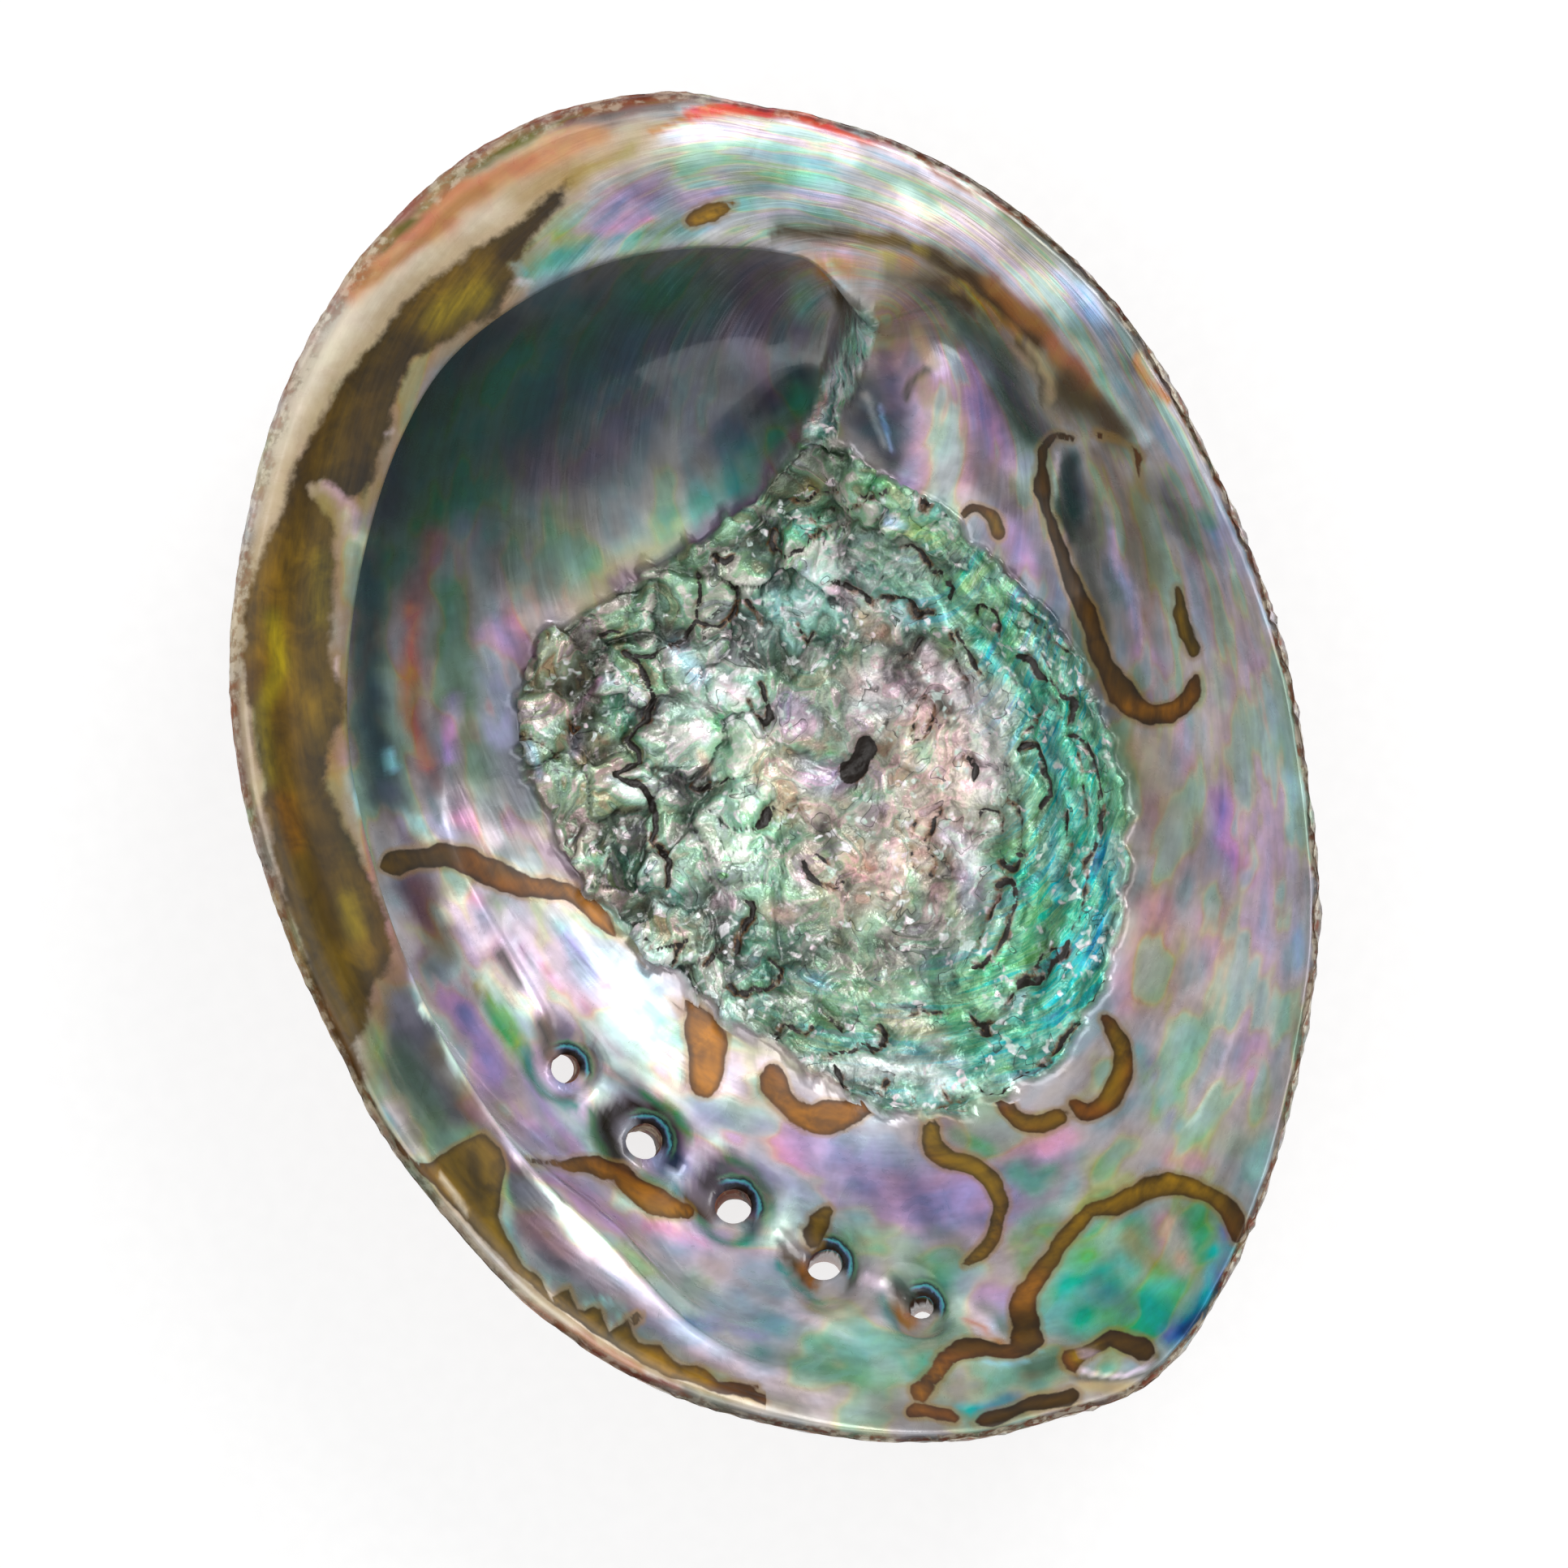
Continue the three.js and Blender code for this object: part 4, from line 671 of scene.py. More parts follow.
    ("grey", 1.74, 0.6, [(30.9, 38.7), (37.8, 33.5)]),
    ("sage", 2.61, 0.85, [(8.3, 62.6), (17.8, 61.3), (25.7, 57), (29.1, 54.3)]),
    # the pale blue, ice and pearl strokes from here to the rim are painted highlights on the shoulder's
    # crown and the top of the rim
    ("pale_blue", 1.74, 0.8, [(32.6, 49.6), (34.3, 47.4)]),
    ("silver", 2.09, 0.7, [(34.3, 47.4), (40.4, 38.7), (45.7, 30)]),
    ("ice", 0.7, 0.8, [(30, 47.4), (35.2, 41.3), (39.6, 35.2)]),
    ("pale_blue", 1.39, 0.8, [(30, 51.7), (33.5, 48.3)]),
    ("slate", 1.39, 0.8, [(36.1, 46.5), (38.7, 43)]),
    ("pearl", 2.26, 1, [(7.8, 60.3), (14.3, 59.4), (19.6, 57.5), (24.8, 53.8), (30.5, 48.6)]),
    ("pearl", 1.22, 1, [(12.6, 58.9), (21.3, 55.6), (27.4, 51.2)]),
    ("lavender", 0.35, 0.8, [(18.7, 55.7), (23.9, 52.2), (28.3, 48.3)]),
    ("silver_teal", 0.78, 0.8, [(29.1, 48.3), (33.5, 43.9), (37, 40.4)]),
    ("pearl", 0.7, 0.6, [(30.9, 46.5), (34.3, 42.6)]),
    ("pearl", 1.57, 0.9, [(4.8, 66.7), (12.6, 65.7), (19.6, 63.5), (23, 60.9)]),
    ("rust", 0.43, 0.8, [(15.2, 65.2), (22.2, 61.3), (29.1, 57)]),
    ("smoke", 0.52, 0.8, [(29.3, 56.6), (34.3, 50.9), (38.7, 44.8)]),
    ("amber", 0.52, 0.9, [(38.9, 43.9), (40.9, 40.6), (42.2, 38.7)]),
]
# The strokes on the shelf
SHELF_STROKES = [
    ("silver_teal", 6.96, 0.9, [(3.9, 65.7), (-9.1, 63.5), (-22.2, 57)]),
    ("taupe", 5.22, 0.8, [(-29.1, 49.1), (-43, 33.5), (-45.7, 16.1), (-43.9, -4.8)]),
    # painted highlight along the top rim
    ("pearl", 1.48, 0.95, [(8.3, 66.1), (0.4, 67.8), (-8.3, 68.4), (-13.5, 67.2)]),
    ("pearl", 1.04, 0.9, [(8.3, 67.4), (2.2, 69.1)]),
    ("sage", 1.91, 0.75, [(-10.9, 65.1), (-4.8, 63.9), (0.4, 62.6)]),
    ("silver", 1.3, 0.7, [(-10.7, 65.8), (-7.4, 65.7)]),
    ("mint", 1.91, 0.5, [(0.4, 64.3), (5.7, 63)]),
    ("lavender", 2.61, 0.9, [(-18.7, 61.7), (-14.3, 62.6)]),
    ("lavender", 1.74, 0.6, [(-9.1, 60.9), (-6.5, 61.7)]),
    ("plum_grey", 2.09, 0.7, [(-17, 63.5), (-12.6, 62.6)]),
    ("pink", 0.87, 0.9, [(-20.9, 57.8), (-14.3, 59.4)]),
    ("green", 1.91, 0.8, [(-22.2, 56.1), (-25.7, 53.9)]),
    ("sea_green", 1.39, 0.75, [(-14.3, 57), (-9.1, 57.4)]),
    ("lime", 1.04, 0.8, [(-23, 57), (-20.4, 57.4)]),
    ("cyan", 0.7, 0.7, [(-27.4, 53.9), (-27, 52.6)]),
    ("sea_green", 1.22, 0.6, [(0.4, 58.7), (4.8, 59.4)]),
    ("pale_lavender", 1.39, 0.6, [(-1.3, 60.4), (7.4, 61.3)]),
    ("bone", 3.48, 1, [(-15.2, 67), (-23, 63.5), (-30.9, 59.1), (-37.8, 53.9), (-43.9, 48.7),
     (-48.7, 41.7), (-52.4, 34.3), (-54.8, 27.4), (-56.5, 20.4), (-57.7, 12.6)]),
    ("bone", 2.26, 1, [(-27.4, 59.1), (-34.3, 55.7), (-40.4, 50.9), (-45.7, 45.2)]),
    ("salmon", 1.91, 0.95, [(-19.1, 67.8), (-26.5, 64.8), (-34.3, 60.4), (-40.4, 55.7), (-44.8, 51.7)]),
    ("copper", 0.78, 0.8, [(-26.5, 65.2), (-34.3, 61.3), (-39.6, 57)]),
    ("sand", 1.57, 0.8, [(-14.3, 67), (-18.7, 64.8), (-23, 63.5), (-27.4, 61.3)]),
    ("tawny", 0.78, 0.6, [(-30.9, 62), (-36.1, 58.5), (-39.6, 55), (-43.9, 51.7)]),
    ("khaki", 0.87, 0.6, [(-15.2, 65.8), (-18.7, 64.1), (-22.2, 62.9)]),
    ("rust", 1.91, 0.95, [(-9.1, 73.5), (-17, 71.6), (-25.7, 70), (-32.6, 67), (-39.6, 61.3),
     (-44.8, 56.1), (-49.1, 50.9)]),
    ("rust", 0.87, 0.8, [(-48.3, 50.4), (-50.9, 44.8), (-52.6, 40.4)]),
    ("taupe", 0.87, 0.9, [(-10.9, 70.9), (-17, 70), (-23, 69.1)]),
    ("moss", 0.61, 0.95, [(-24.8, 68.3), (-30.9, 65.2), (-35.2, 62.6), (-39.6, 58.3), (-42.2, 56.1)]),
    ("sand", 0.35, 0.9, [(-26.5, 68.7), (-34.3, 63.5), (-38.7, 59.4)]),
    ("brick", 0.43, 0.7, [(-20.4, 71), (-29.1, 67.8), (-36.1, 62.9)]),
    ("sand", 0.43, 0.8, [(-41.3, 57.4), (-45.7, 53)]),
    ("silver", 0.87, 0.8, [(-53.5, 39.6), (-55.4, 31.7), (-56.8, 24.8), (-57.8, 17.8)]),
    ("bone", 0.7, 0.8, [(-57, 8.3), (-56.5, 2.2), (-55.2, -3)]),
    ("brick", 0.35, 0.9, [(-58.1, 8.3), (-57.7, 2.2), (-56.4, -3.5)]),
    ("pale_lavender", 0.78, 0.95, [(-49.6, 32.4), (-47.4, 30), (-45.1, 27.6), (-44.8, 24.8)]),
    ("moss", 1.22, 0.7, [(-48.7, 28.3), (-47.4, 25.7)]),
    ("silver", 1.04, 0.8, [(-45.7, 25.7), (-46.1, 19.6), (-46.7, 13.5)]),
    ("pearl", 0.43, 0.9, [(-47, 11.3), (-46.9, 9.8)]),
    ("mauve", 1.04, 0.9, [(-47, 1.3), (-45.7, -4.8), (-43.9, -10.9), (-42.2, -15.2), (-40.4, -21.3)]),
    ("pink", 0.61, 0.6, [(-45.7, -7.4), (-43.5, -13.5), (-41.5, -18.7)]),
    ("taupe", 0.87, 0.7, [(-47.8, 2.2), (-46.1, -8.3)]),
    ("sand", 0.35, 0.8, [(-53.5, -13.5), (-50, -22.2), (-45.7, -31.7)]),
    ("dusk", 4.35, 1, [(-40.4, -24.8), (-35.2, -34.3), (-27.4, -43.9), (-17, -54.3), (-8.3, -62.2)]),
    ("plum", 3.83, 0.55, [(-37.8, -30), (-29.1, -41.3), (-18.7, -51.7), (-8.3, -61.3)]),
    ("green", 1.39, 0.8, [(-43.5, -28.7), (-42.9, -31.7), (-42.2, -34.3)]),
    ("dark_green", 1.39, 0.6, [(-30.9, -36.1), (-25.7, -43)]),
    ("dim_rose", 1.39, 0.7, [(-36.1, -30.9), (-30.9, -37.8)]),
    ("taupe", 1.22, 0.6, [(-17, -50), (-10.9, -56.1)]),
    ("teal", 0.61, 0.8, [(-43.9, -33.5), (-42.3, -37), (-39.6, -40.6)]),
    ("pale_blue", 0.43, 0.7, [(-39.6, -40.6), (-36.1, -44.1)]),
    ("dim_green", 1.91, 0.8, [(-39.6, -30.9), (-37, -37)]),
    ("sage", 1.57, 0.7, [(-38.7, -39.6), (-34.3, -39.6), (-30.9, -39.6)]),
    ("dim_rose", 2.26, 0.7, [(-26.5, -48.3), (-22.2, -52.6), (-16.1, -57.8)]),
    ("plum_grey", 1.57, 0.5, [(-27.4, -46.5), (-22.2, -50)]),
    ("mint", 0.61, 0.8, [(-29.8, -43), (-29.1, -46.5), (-29, -50.4), (-26.5, -54.2), (-24.6, -55.2)]),
    ("sage", 1.04, 0.7, [(-23, -56.1), (-18.7, -58.3), (-17, -57.8)]),
    ("mint", 0.43, 0.7, [(-20.9, -57.8), (-18.3, -57)]),
    ("mint", 0.43, 0.7, [(-18.3, -60.4), (-16.1, -58.7)]),
    ("sage", 1.22, 0.8, [(-14.3, -61.3), (-10, -63.5), (-7.4, -64.8)]),
    ("mauve", 1.39, 0.8, [(-12.6, -58.7), (-9.1, -61.7), (-5.7, -63.9)]),
    ("lime", 0.7, 0.5, [(-22.2, -48.3), (-17, -52.2)]),
    ("mauve", 1.22, 0.6, [(-34.3, -32.6), (-27.4, -41.3)]),
    # the silver and pearl lines along the shelf's free edge are a painted highlight
    ("silver", 0.43, 0.8, [(-39.6, 37), (-42.9, 30), (-45, 19.6), (-45.7, 8.3), (-45, -1.3),
     (-43, -10.9), (-40, -19.6)]),
    ("pearl", 0.43, 0.9, [(-40, -19.6), (-34.3, -30.9), (-26.5, -42.2), (-17, -50.9), (-9.1, -58.7)]),
    ("bone", 1.22, 1, [(-35.7, -47.6), (-32.6, -51.3), (-29.1, -54.8), (-25.7, -57.4), (-22.2, -59.7),
     (-17.8, -61.7), (-13.5, -63.9), (-9.1, -66.1), (-4.8, -67.6), (3.9, -69.6)]),
    ("cream", 0.7, 0.6, [(-25.7, -57), (-18.7, -61.3), (-11.7, -63.9)]),
    ("copper", 0.52, 0.8, [(-27.4, -57), (-23, -60.4), (-17, -62.9), (-14.3, -64.3)]),
    ("brick", 0.35, 0.9, [(-34.3, -50.4), (-29.1, -56.1), (-23.9, -60.4), (-17, -63.9),
     (-10.9, -66.1)]),
    ("rust", 0.43, 0.8, [(-23, -61.7), (-15.2, -65.2), (-8.3, -67.6)]),
    ("smoke", 0.78, 0.9, [(-9.1, -67), (-4.8, -68.7), (0.4, -70.7), (12.6, -72.4)]),
    ("bone", 0.52, 0.9, [(-48.3, -26.5), (-44.8, -34.3), (-39.6, -43)]),
    ("amber", 0.43, 0.8, [(-8.3, -65.8), (-4.8, -66.7), (-0.9, -67.7)]),
    ("gold", 0.43, 0.7, [(0.4, -69.1), (4.8, -70), (9.1, -70.9)]),
    ("glass", 0.96, 0.95, [(4.8, 56.4), (-4.8, 56.1), (-13.5, 55.2), (-20.4, 53.3), (-26.5, 50.3),
     (-31.7, 46.8), (-37, 42), (-40.4, 36.8), (-42.6, 30.7), (-44.3, 25.5)]),
    ("glass", 0.7, 0.8, [(-44.8, 23), (-45.7, 16.1), (-46.1, 9.1), (-45.5, 2.2), (-44.8, -3)]),
    # the pale blue and pearl lines along the edge and the lower-left crest are a painted highlight
    ("pale_blue", 0.52, 0.9, [(-44.8, -1.3), (-42.9, -9.1), (-40.9, -15.2), (-38.7, -22.2),
     (-37, -26.5)]),
    ("pearl", 0.43, 1, [(-37.8, -25.7), (-34.3, -31.7), (-30, -37.8), (-26.5, -43), (-22.2, -48.1)]),
    ("pearl", 1.22, 1, [(-22.2, -48.1), (-17, -53.5), (-12.6, -57.3), (-9.1, -60.9), (-6.1, -62.9),
     (-2.2, -65), (4.8, -67.8), (9.1, -69.6)]),
    ("pearl", 0.26, 0.8, [(-43.9, 37), (-42.2, 35.9), (-41.1, 35.6)]),
    ("pearl", 0.26, 0.8, [(-27.4, 52.2), (-26.5, 51.9)]),
    ("red", 0.61, 0.95, [(-9.1, 70), (-4.8, 70.7), (0.4, 70.2), (7.4, 68.4)]),
    ("amber", 0.43, 0.8, [(-13.5, 67.8), (-10, 69.6)]),
    ("red", 0.35, 0.8, [(7.4, 68.4), (12.6, 66.5)]),
]
# The strokes on the muscle scar
SCAR_STROKES = [
    ("taupe", 6.09, 0.7, [(-22.2, 14.3), (-24.8, 3.9), (-22.2, -8.3)]),
    ("dark_green", 3.48, 0.5, [(-17, 14.3), (-13.5, -4.8)]),
    ("silver", 6.09, 0.7, [(-6.5, 5.7), (-8.3, -8.3), (-4.8, -18.7)]),
    ("blush", 7.83, 0.5, [(14.3, 7.4), (17.8, -1.3), (16.1, -11.7)]),
    ("peach", 5.22, 0.6, [(15.2, 7.4), (17.8, -1.3), (16.1, -11.7)]),
    ("mint", 3.48, 0.5, [(-4.8, 7.4), (-6.5, -4.8), (0.4, -17)]),
    ("mint", 3.48, 0.5, [(8.3, -20.4), (17, -23.9)]),
    ("peach", 4.35, 0.5, [(0.4, -1.3), (7.4, -11.7), (10.9, -22.2)]),
    ("silver_teal", 4.35, 0.7, [(0.4, 16.1), (9.1, 19.6), (16.1, 16.1)]),
    ("sage", 4, 0.8, [(3.9, 28.3), (12.6, 26.5), (17.8, 24.8)]),
    ("sage", 4.35, 0.7, [(3.9, -20.4), (9.1, -23.9)]),
    ("teal", 2.96, 0.95, [(29.1, 7.4), (32.6, -1.3), (34.3, -11.7), (33.5, -22.2), (27.4, -30)]),
    ("green", 2.43, 0.8, [(25.7, -10), (27.4, -16.1), (23.9, -23), (19.6, -27.4)]),
    ("teal", 2.61, 0.8, [(23, -30.9), (14.3, -33.5)]),
    ("blue", 0.78, 0.7, [(30.3, 3.9), (31, -1.3), (30.5, -8.3), (30.9, -13.5)]),
    ("blue", 0.78, 0.7, [(35.7, -8.3), (35.9, -15.2), (34.3, -21.3)]),
    ("cyan", 1.04, 0.7, [(32.6, -16.1), (31.9, -20.4), (29.1, -23.5)]),
    ("cyan", 0.87, 0.7, [(21.7, 14.3), (22.6, 12.6), (24.1, 10.9)]),
    ("ice", 0.78, 0.8, [(37.3, -8.3), (37.8, -13.5), (36.6, -20.4)]),
    ("mint", 1.04, 0.8, [(36.3, 3.9), (37, -3)]),
    ("lavender", 0.78, 0.6, [(27, -24.4), (24.8, -26.5)]),
    ("lavender", 1.04, 0.6, [(13.5, -31.7), (19.7, -31.9)]),
    ("slate", 0.78, 0.5, [(14.3, -32.4), (20.4, -32.6)]),
    ("slate", 0.7, 0.6, [(33.5, -30.9), (29.1, -34.3), (24.8, -37)]),
    ("taupe", 2.61, 0.8, [(-24.8, 11.7), (-22.2, 8.3)]),
    ("dark_green", 1.74, 0.6, [(-25, 3.9), (-23, -2.6)]),
    ("taupe", 2.09, 0.7, [(-18.9, 2.3), (-18.3, -0.4)]),
    ("sea_green", 1.74, 0.6, [(-17.8, 8.7), (-16.5, 4.8)]),
    ("pink", 0.35, 0.7, [(-22, 6), (-21, 7.7), (-18.9, 9.3)]),
    ("silver", 1.13, 0.6, [(-15, 7.8), (-14.5, 6.1)]),
    ("pale_lavender", 0.78, 0.7, [(-21.8, 3.5), (-21.7, 2)]),
    ("pale_blue", 0.52, 0.7, [(-26.9, 2.2), (-26, -0.9)]),
    ("ice", 0.87, 0.8, [(-17.7, -2), (-14.3, -3.9)]),
    ("dark_green", 1.22, 0.6, [(-27.4, -6.5), (-23, -8.3)]),
    ("sea_green", 1.57, 0.7, [(-16.4, -10.3), (-14.3, -11.7)]),
    ("taupe", 1.91, 0.7, [(-19.1, -12.6), (-17, -14.3)]),
    ("mint", 0.61, 0.8, [(-20.6, -10), (-19, -10.5)]),
    ("sage", 2.26, 0.8, [(-10.9, -5.7), (-7.4, -8.3)]),
    ("dark_green", 1.91, 0.55, [(-10, -8.3), (-6.5, -11.3)]),
    ("taupe", 2.09, 0.8, [(-12.6, -17), (-10.4, -19.1)]),
    ("ice", 0.7, 0.9, [(-13, -13.9), (-11.9, -15.2)]),
    ("teal", 1.04, 0.7, [(-10.4, -13), (-9.1, -15.2)]),
    ("sea_green", 2.26, 0.7, [(-3.9, -18.7), (-1.3, -23)]),
    ("blush", 0.78, 0.9, [(-6.1, -14.2), (-4.3, -14.7)]),
    ("silver", 2.09, 0.7, [(-11.7, 12.6), (-7.4, 11.3)]),
    ("pale_blue", 1.22, 0.6, [(-10.9, 13.5), (-8.3, 10)]),
    ("ice", 0.96, 0.9, [(-11.9, 7.2), (-9.1, 6.7), (-6.5, 7.6)]),
    ("blush", 0.96, 0.95, [(-8.4, 4.5), (-7.4, 3.9)]),
    ("blush", 1.04, 0.95, [(-5.8, 9.3), (-4.3, 8.3)]),
    ("grey", 2.26, 0.7, [(-11.7, 2.2), (-9.1, -0.4)]),
    ("green", 1.57, 0.55, [(-5.7, 5.7), (-4.3, 3.9)]),
    ("peach", 0.7, 0.8, [(-8.1, 1.7), (-7.2, 0)]),
    ("mint", 1.22, 0.8, [(-3.5, -2.2), (-1.7, -3.5)]),
    ("lavender", 1.74, 0.6, [(0.9, 7), (3, 5.2)]),
    ("taupe", 1.04, 0.6, [(5.2, 7.8), (5.8, 6.1)]),
    ("blush", 1.04, 0.95, [(1.7, 3.9), (3.9, 4.6)]),
    ("green", 0.7, 0.8, [(2.6, 1.7), (4.3, 0.9), (5.7, 1.7)]),
    ("lavender", 2.09, 0.65, [(3.9, -1.1), (7.4, -1.3)]),
    ("peach", 0.78, 0.8, [(3.2, 2.2), (4.3, 2)]),
    # the silver teal, ice and pearl on the strip of flakes are a painted highlight on a wall that the
    # lamps leave in shade
    ("silver_teal", 1.91, 1, [(9.3, 47.6), (7.8, 43.9), (6.1, 40.4), (4.8, 37)]),
    ("ice", 1.39, 1, [(9.1, 47), (7.7, 43), (6.5, 40.4)]),
    ("pearl", 1.04, 1, [(8.3, 43.9), (6.5, 41.7), (5.8, 39.4)]),
    ("mint", 0.52, 1, [(8.3, 47), (9, 44.8)]),
    ("peach", 0.52, 0.9, [(5.3, 40.6), (4.4, 38.3)]),
    ("green", 0.52, 0.9, [(7, 39.6), (7.8, 37)]),
    ("ice", 0.43, 0.9, [(5.2, 38.7), (4.3, 36.5)]),
    ("teal", 0.35, 0.9, [(9.1, 45.7), (6.5, 41.3), (5, 36.1)]),
    ("silver_teal", 1.57, 0.7, [(0, 18.3), (3.9, 19.1)]),
    ("ice", 0.7, 0.8, [(-1.7, 14.8), (0, 15.2)]),
    ("ice", 0.61, 0.7, [(3.9, 20.3), (7.4, 21.3)]),
    ("sea_green", 1.91, 0.7, [(0.4, 25.7), (4.8, 26.5)]),
    ("gold", 0.78, 0.6, [(3.9, 30.2), (5.2, 30.9)]),
    ("slate", 0.61, 0.7, [(5.7, 23.7), (10.9, 25.2)]),
    ("green", 1.22, 0.6, [(10.9, 31.3), (14.3, 31.7)]),
    ("lime", 1.57, 0.7, [(15.2, 26.1), (17.8, 25.7)]),
    ("pale_blue", 0.7, 0.9, [(13, 27.2), (14.2, 26.5)]),
    ("sea_green", 0.87, 0.7, [(17, 28.3), (18.7, 26.5)]),
    ("slate", 0.43, 0.7, [(18.7, 21.3), (21.3, 23.9)]),
    ("green", 0.52, 0.8, [(20.4, 21.3), (22.6, 23.5)]),
    ("lime", 0.52, 0.7, [(21.3, 20), (23.5, 22.2)]),
    ("slate", 0.43, 0.7, [(21.7, 18.7), (24.3, 21.3)]),
    ("mint", 0.61, 0.7, [(23.5, 18.7), (25.2, 20)]),
    ("ice", 0.78, 0.8, [(13.7, 22.2), (15.2, 21.3)]),
    ("blush", 0.96, 0.9, [(6.5, 19.4), (8.3, 18.3)]),
    ("peach", 1.57, 0.8, [(10.4, 16.5), (12.6, 14.8)]),
    ("sea_green", 1.57, 0.7, [(5.7, 13.5), (6.5, 12.2)]),
    ("sage", 1.39, 0.8, [(8.3, 14), (9.1, 12.6)]),
    ("blush", 1.13, 0.8, [(16.5, 12.6), (17.8, 10)]),
    ("lime", 0.61, 0.6, [(17, 14.3), (18.7, 12.6)]),
    ("silver", 1.04, 0.7, [(27.4, 13.5), (29.1, 12.2)]),
    ("green", 1.04, 0.7, [(24.8, 16.1), (25.7, 12.6)]),
    ("mint", 0.78, 0.8, [(25.7, 10), (27.4, 8.3)]),
    ("slate", 0.7, 0.5, [(30, 12.6), (31.7, 11.3)]),
    ("blush", 1.91, 0.75, [(10.9, 9.1), (21.3, 8.3)]),
    ("pearl", 1.22, 0.7, [(9.1, 6.5), (14.3, 6.5)]),
    ("dark_green", 0.78, 0.7, [(6.2, 7.2), (6.9, 6.5)]),
    ("sage", 1.13, 0.8, [(16.1, 2.6), (17, 0.9)]),
    ("blush", 1.91, 0.7, [(24.3, 7.4), (24.8, 2.2), (23, -1.3)]),
    ("green", 0.78, 0.6, [(8.8, -2.6), (12.4, -2.9)]),
    ("taupe", 1.22, 0.7, [(11.7, 1.3), (13.5, -0.4)]),
    ("taupe", 1.48, 0.75, [(12.6, -5.7), (14.3, -7.8)]),
    ("pearl", 1.22, 0.9, [(18.7, -7.4), (21.3, -10)]),
    ("lavender", 1.57, 0.6, [(20.4, -11.7), (21.3, -14.3)]),
    ("sage", 2.09, 0.8, [(5.7, -8.3), (7.4, -10)]),
    ("copper", 1.13, 0.45, [(8.3, -10.4), (10.4, -11.7)]),
    ("mint", 1.48, 0.8, [(-2.2, -6.1), (1.7, -7.8)]),
    ("peach", 1.22, 0.8, [(-0.4, -15.2), (1.3, -16.1)]),
    ("blush", 0.7, 0.8, [(2.6, -12.2), (3.5, -13)]),
    ("dark_green", 1.91, 0.6, [(14.3, -17), (17, -20.4)]),
    ("green", 0.87, 0.6, [(15.2, -11.7), (14.9, -15.2)]),
    ("lime", 0.7, 0.5, [(18.7, -12.6), (19.1, -16.1)]),
    ("mint", 1.57, 0.6, [(10.9, -17), (10, -19.6)]),
    ("dark_green", 0.96, 0.7, [(11.3, -20.4), (12.2, -20.9)]),
    ("blue", 0.78, 0.6, [(4.8, -23), (5.7, -24.1)]),
    ("peach", 1.57, 0.8, [(13.5, -27.6), (17.8, -29.6)]),
    ("silver", 1.39, 0.6, [(24.8, -14.3), (24.3, -17.8)]),
    ("green", 1.74, 0.6, [(23.9, -22.2), (25.7, -20.4)]),
    ("sage", 1.57, 0.6, [(22.2, -25.2), (24.8, -25.2)]),
    # the ice and pearl along the scar's lower edge are a painted highlight on its lit slope
    ("ice", 1.22, 1, [(-18.9, -15.9), (-14, -20.4), (-9.1, -25)]),
    ("ice", 1.39, 1, [(-9.1, -25), (-4.8, -29.1), (0, -31.6)]),
    ("pearl", 1.57, 1, [(0.4, -31.7), (5.7, -33.9), (9.1, -32.6), (13.5, -33.3), (17.8, -34.3)]),
    ("peach", 0.7, 0.7, [(3.9, -32.8), (7.4, -35.2)]),
    ("teal", 0.78, 0.6, [(-6.5, -27.6), (-2.2, -30)]),
    ("silver_teal", 1.04, 0.7, [(12.6, -36.3), (17, -36.6)]),
    ("ice", 0.87, 0.9, [(19.7, -34.5), (25.7, -34.8)]),
]
# The brown streaks above the spire, which cross from the shelf into the bowl
SPIRE_STROKES = [
    ("taupe", 2.61, 0.8, [(3.9, 55.7), (12.6, 55), (17.8, 53.5)]),
    ("taupe", 2.26, 0.7, [(19.6, 51.7), (26.5, 46.5)]),
    ("pink", 0.43, 0.8, [(5.7, 55), (8.4, 55)]),
    ("umber", 0.7, 0.95, [(-0.4, 57.1), (6.3, 57.7), (12.3, 56.8), (17, 55)]),
    ("olive", 0.7, 0.7, [(8.8, 57.3), (13.7, 56.7)]),
    ("khaki", 0.52, 0.8, [(15.2, 55.7), (18.7, 54)]),
    ("umber", 1.13, 1, [(17, 54.7), (21.3, 51.8), (25.2, 48.6)]),
    ("tawny", 1.39, 0.95, [(23.2, 51.7), (26.7, 48.6), (30, 44.8)]),
    ("horn", 0.87, 0.95, [(20.1, 52.2), (24.4, 48.3), (27.9, 45.3)]),
    ("copper", 1.04, 0.7, [(29.7, 45.3), (33.1, 41.7)]),
    ("umber", 1.91, 0.95, [(31, 41), (33.9, 38.7), (36.4, 36.4)]),
    ("tawny", 0.61, 0.95, [(5.3, 53.7), (9.1, 53.7), (12.3, 54.2), (14.9, 53.7)]),
    ("umber", 0.78, 1, [(12.3, 53.2), (17, 51.7), (20.6, 49.5)]),
    ("khaki", 0.43, 0.8, [(8.3, 54.5), (12.6, 55.1)]),
    ("gold", 0.43, 0.9, [(16.1, 53.1), (20.4, 50.9), (24.3, 47.7), (26.2, 46.3)]),
    ("sand", 0.52, 0.7, [(26.9, 44.8), (29.1, 42.2), (30.3, 40.4)]),
    ("umber", 0.35, 0.8, [(25.7, 45.3), (27.9, 42.5), (29.3, 39.9)]),
]
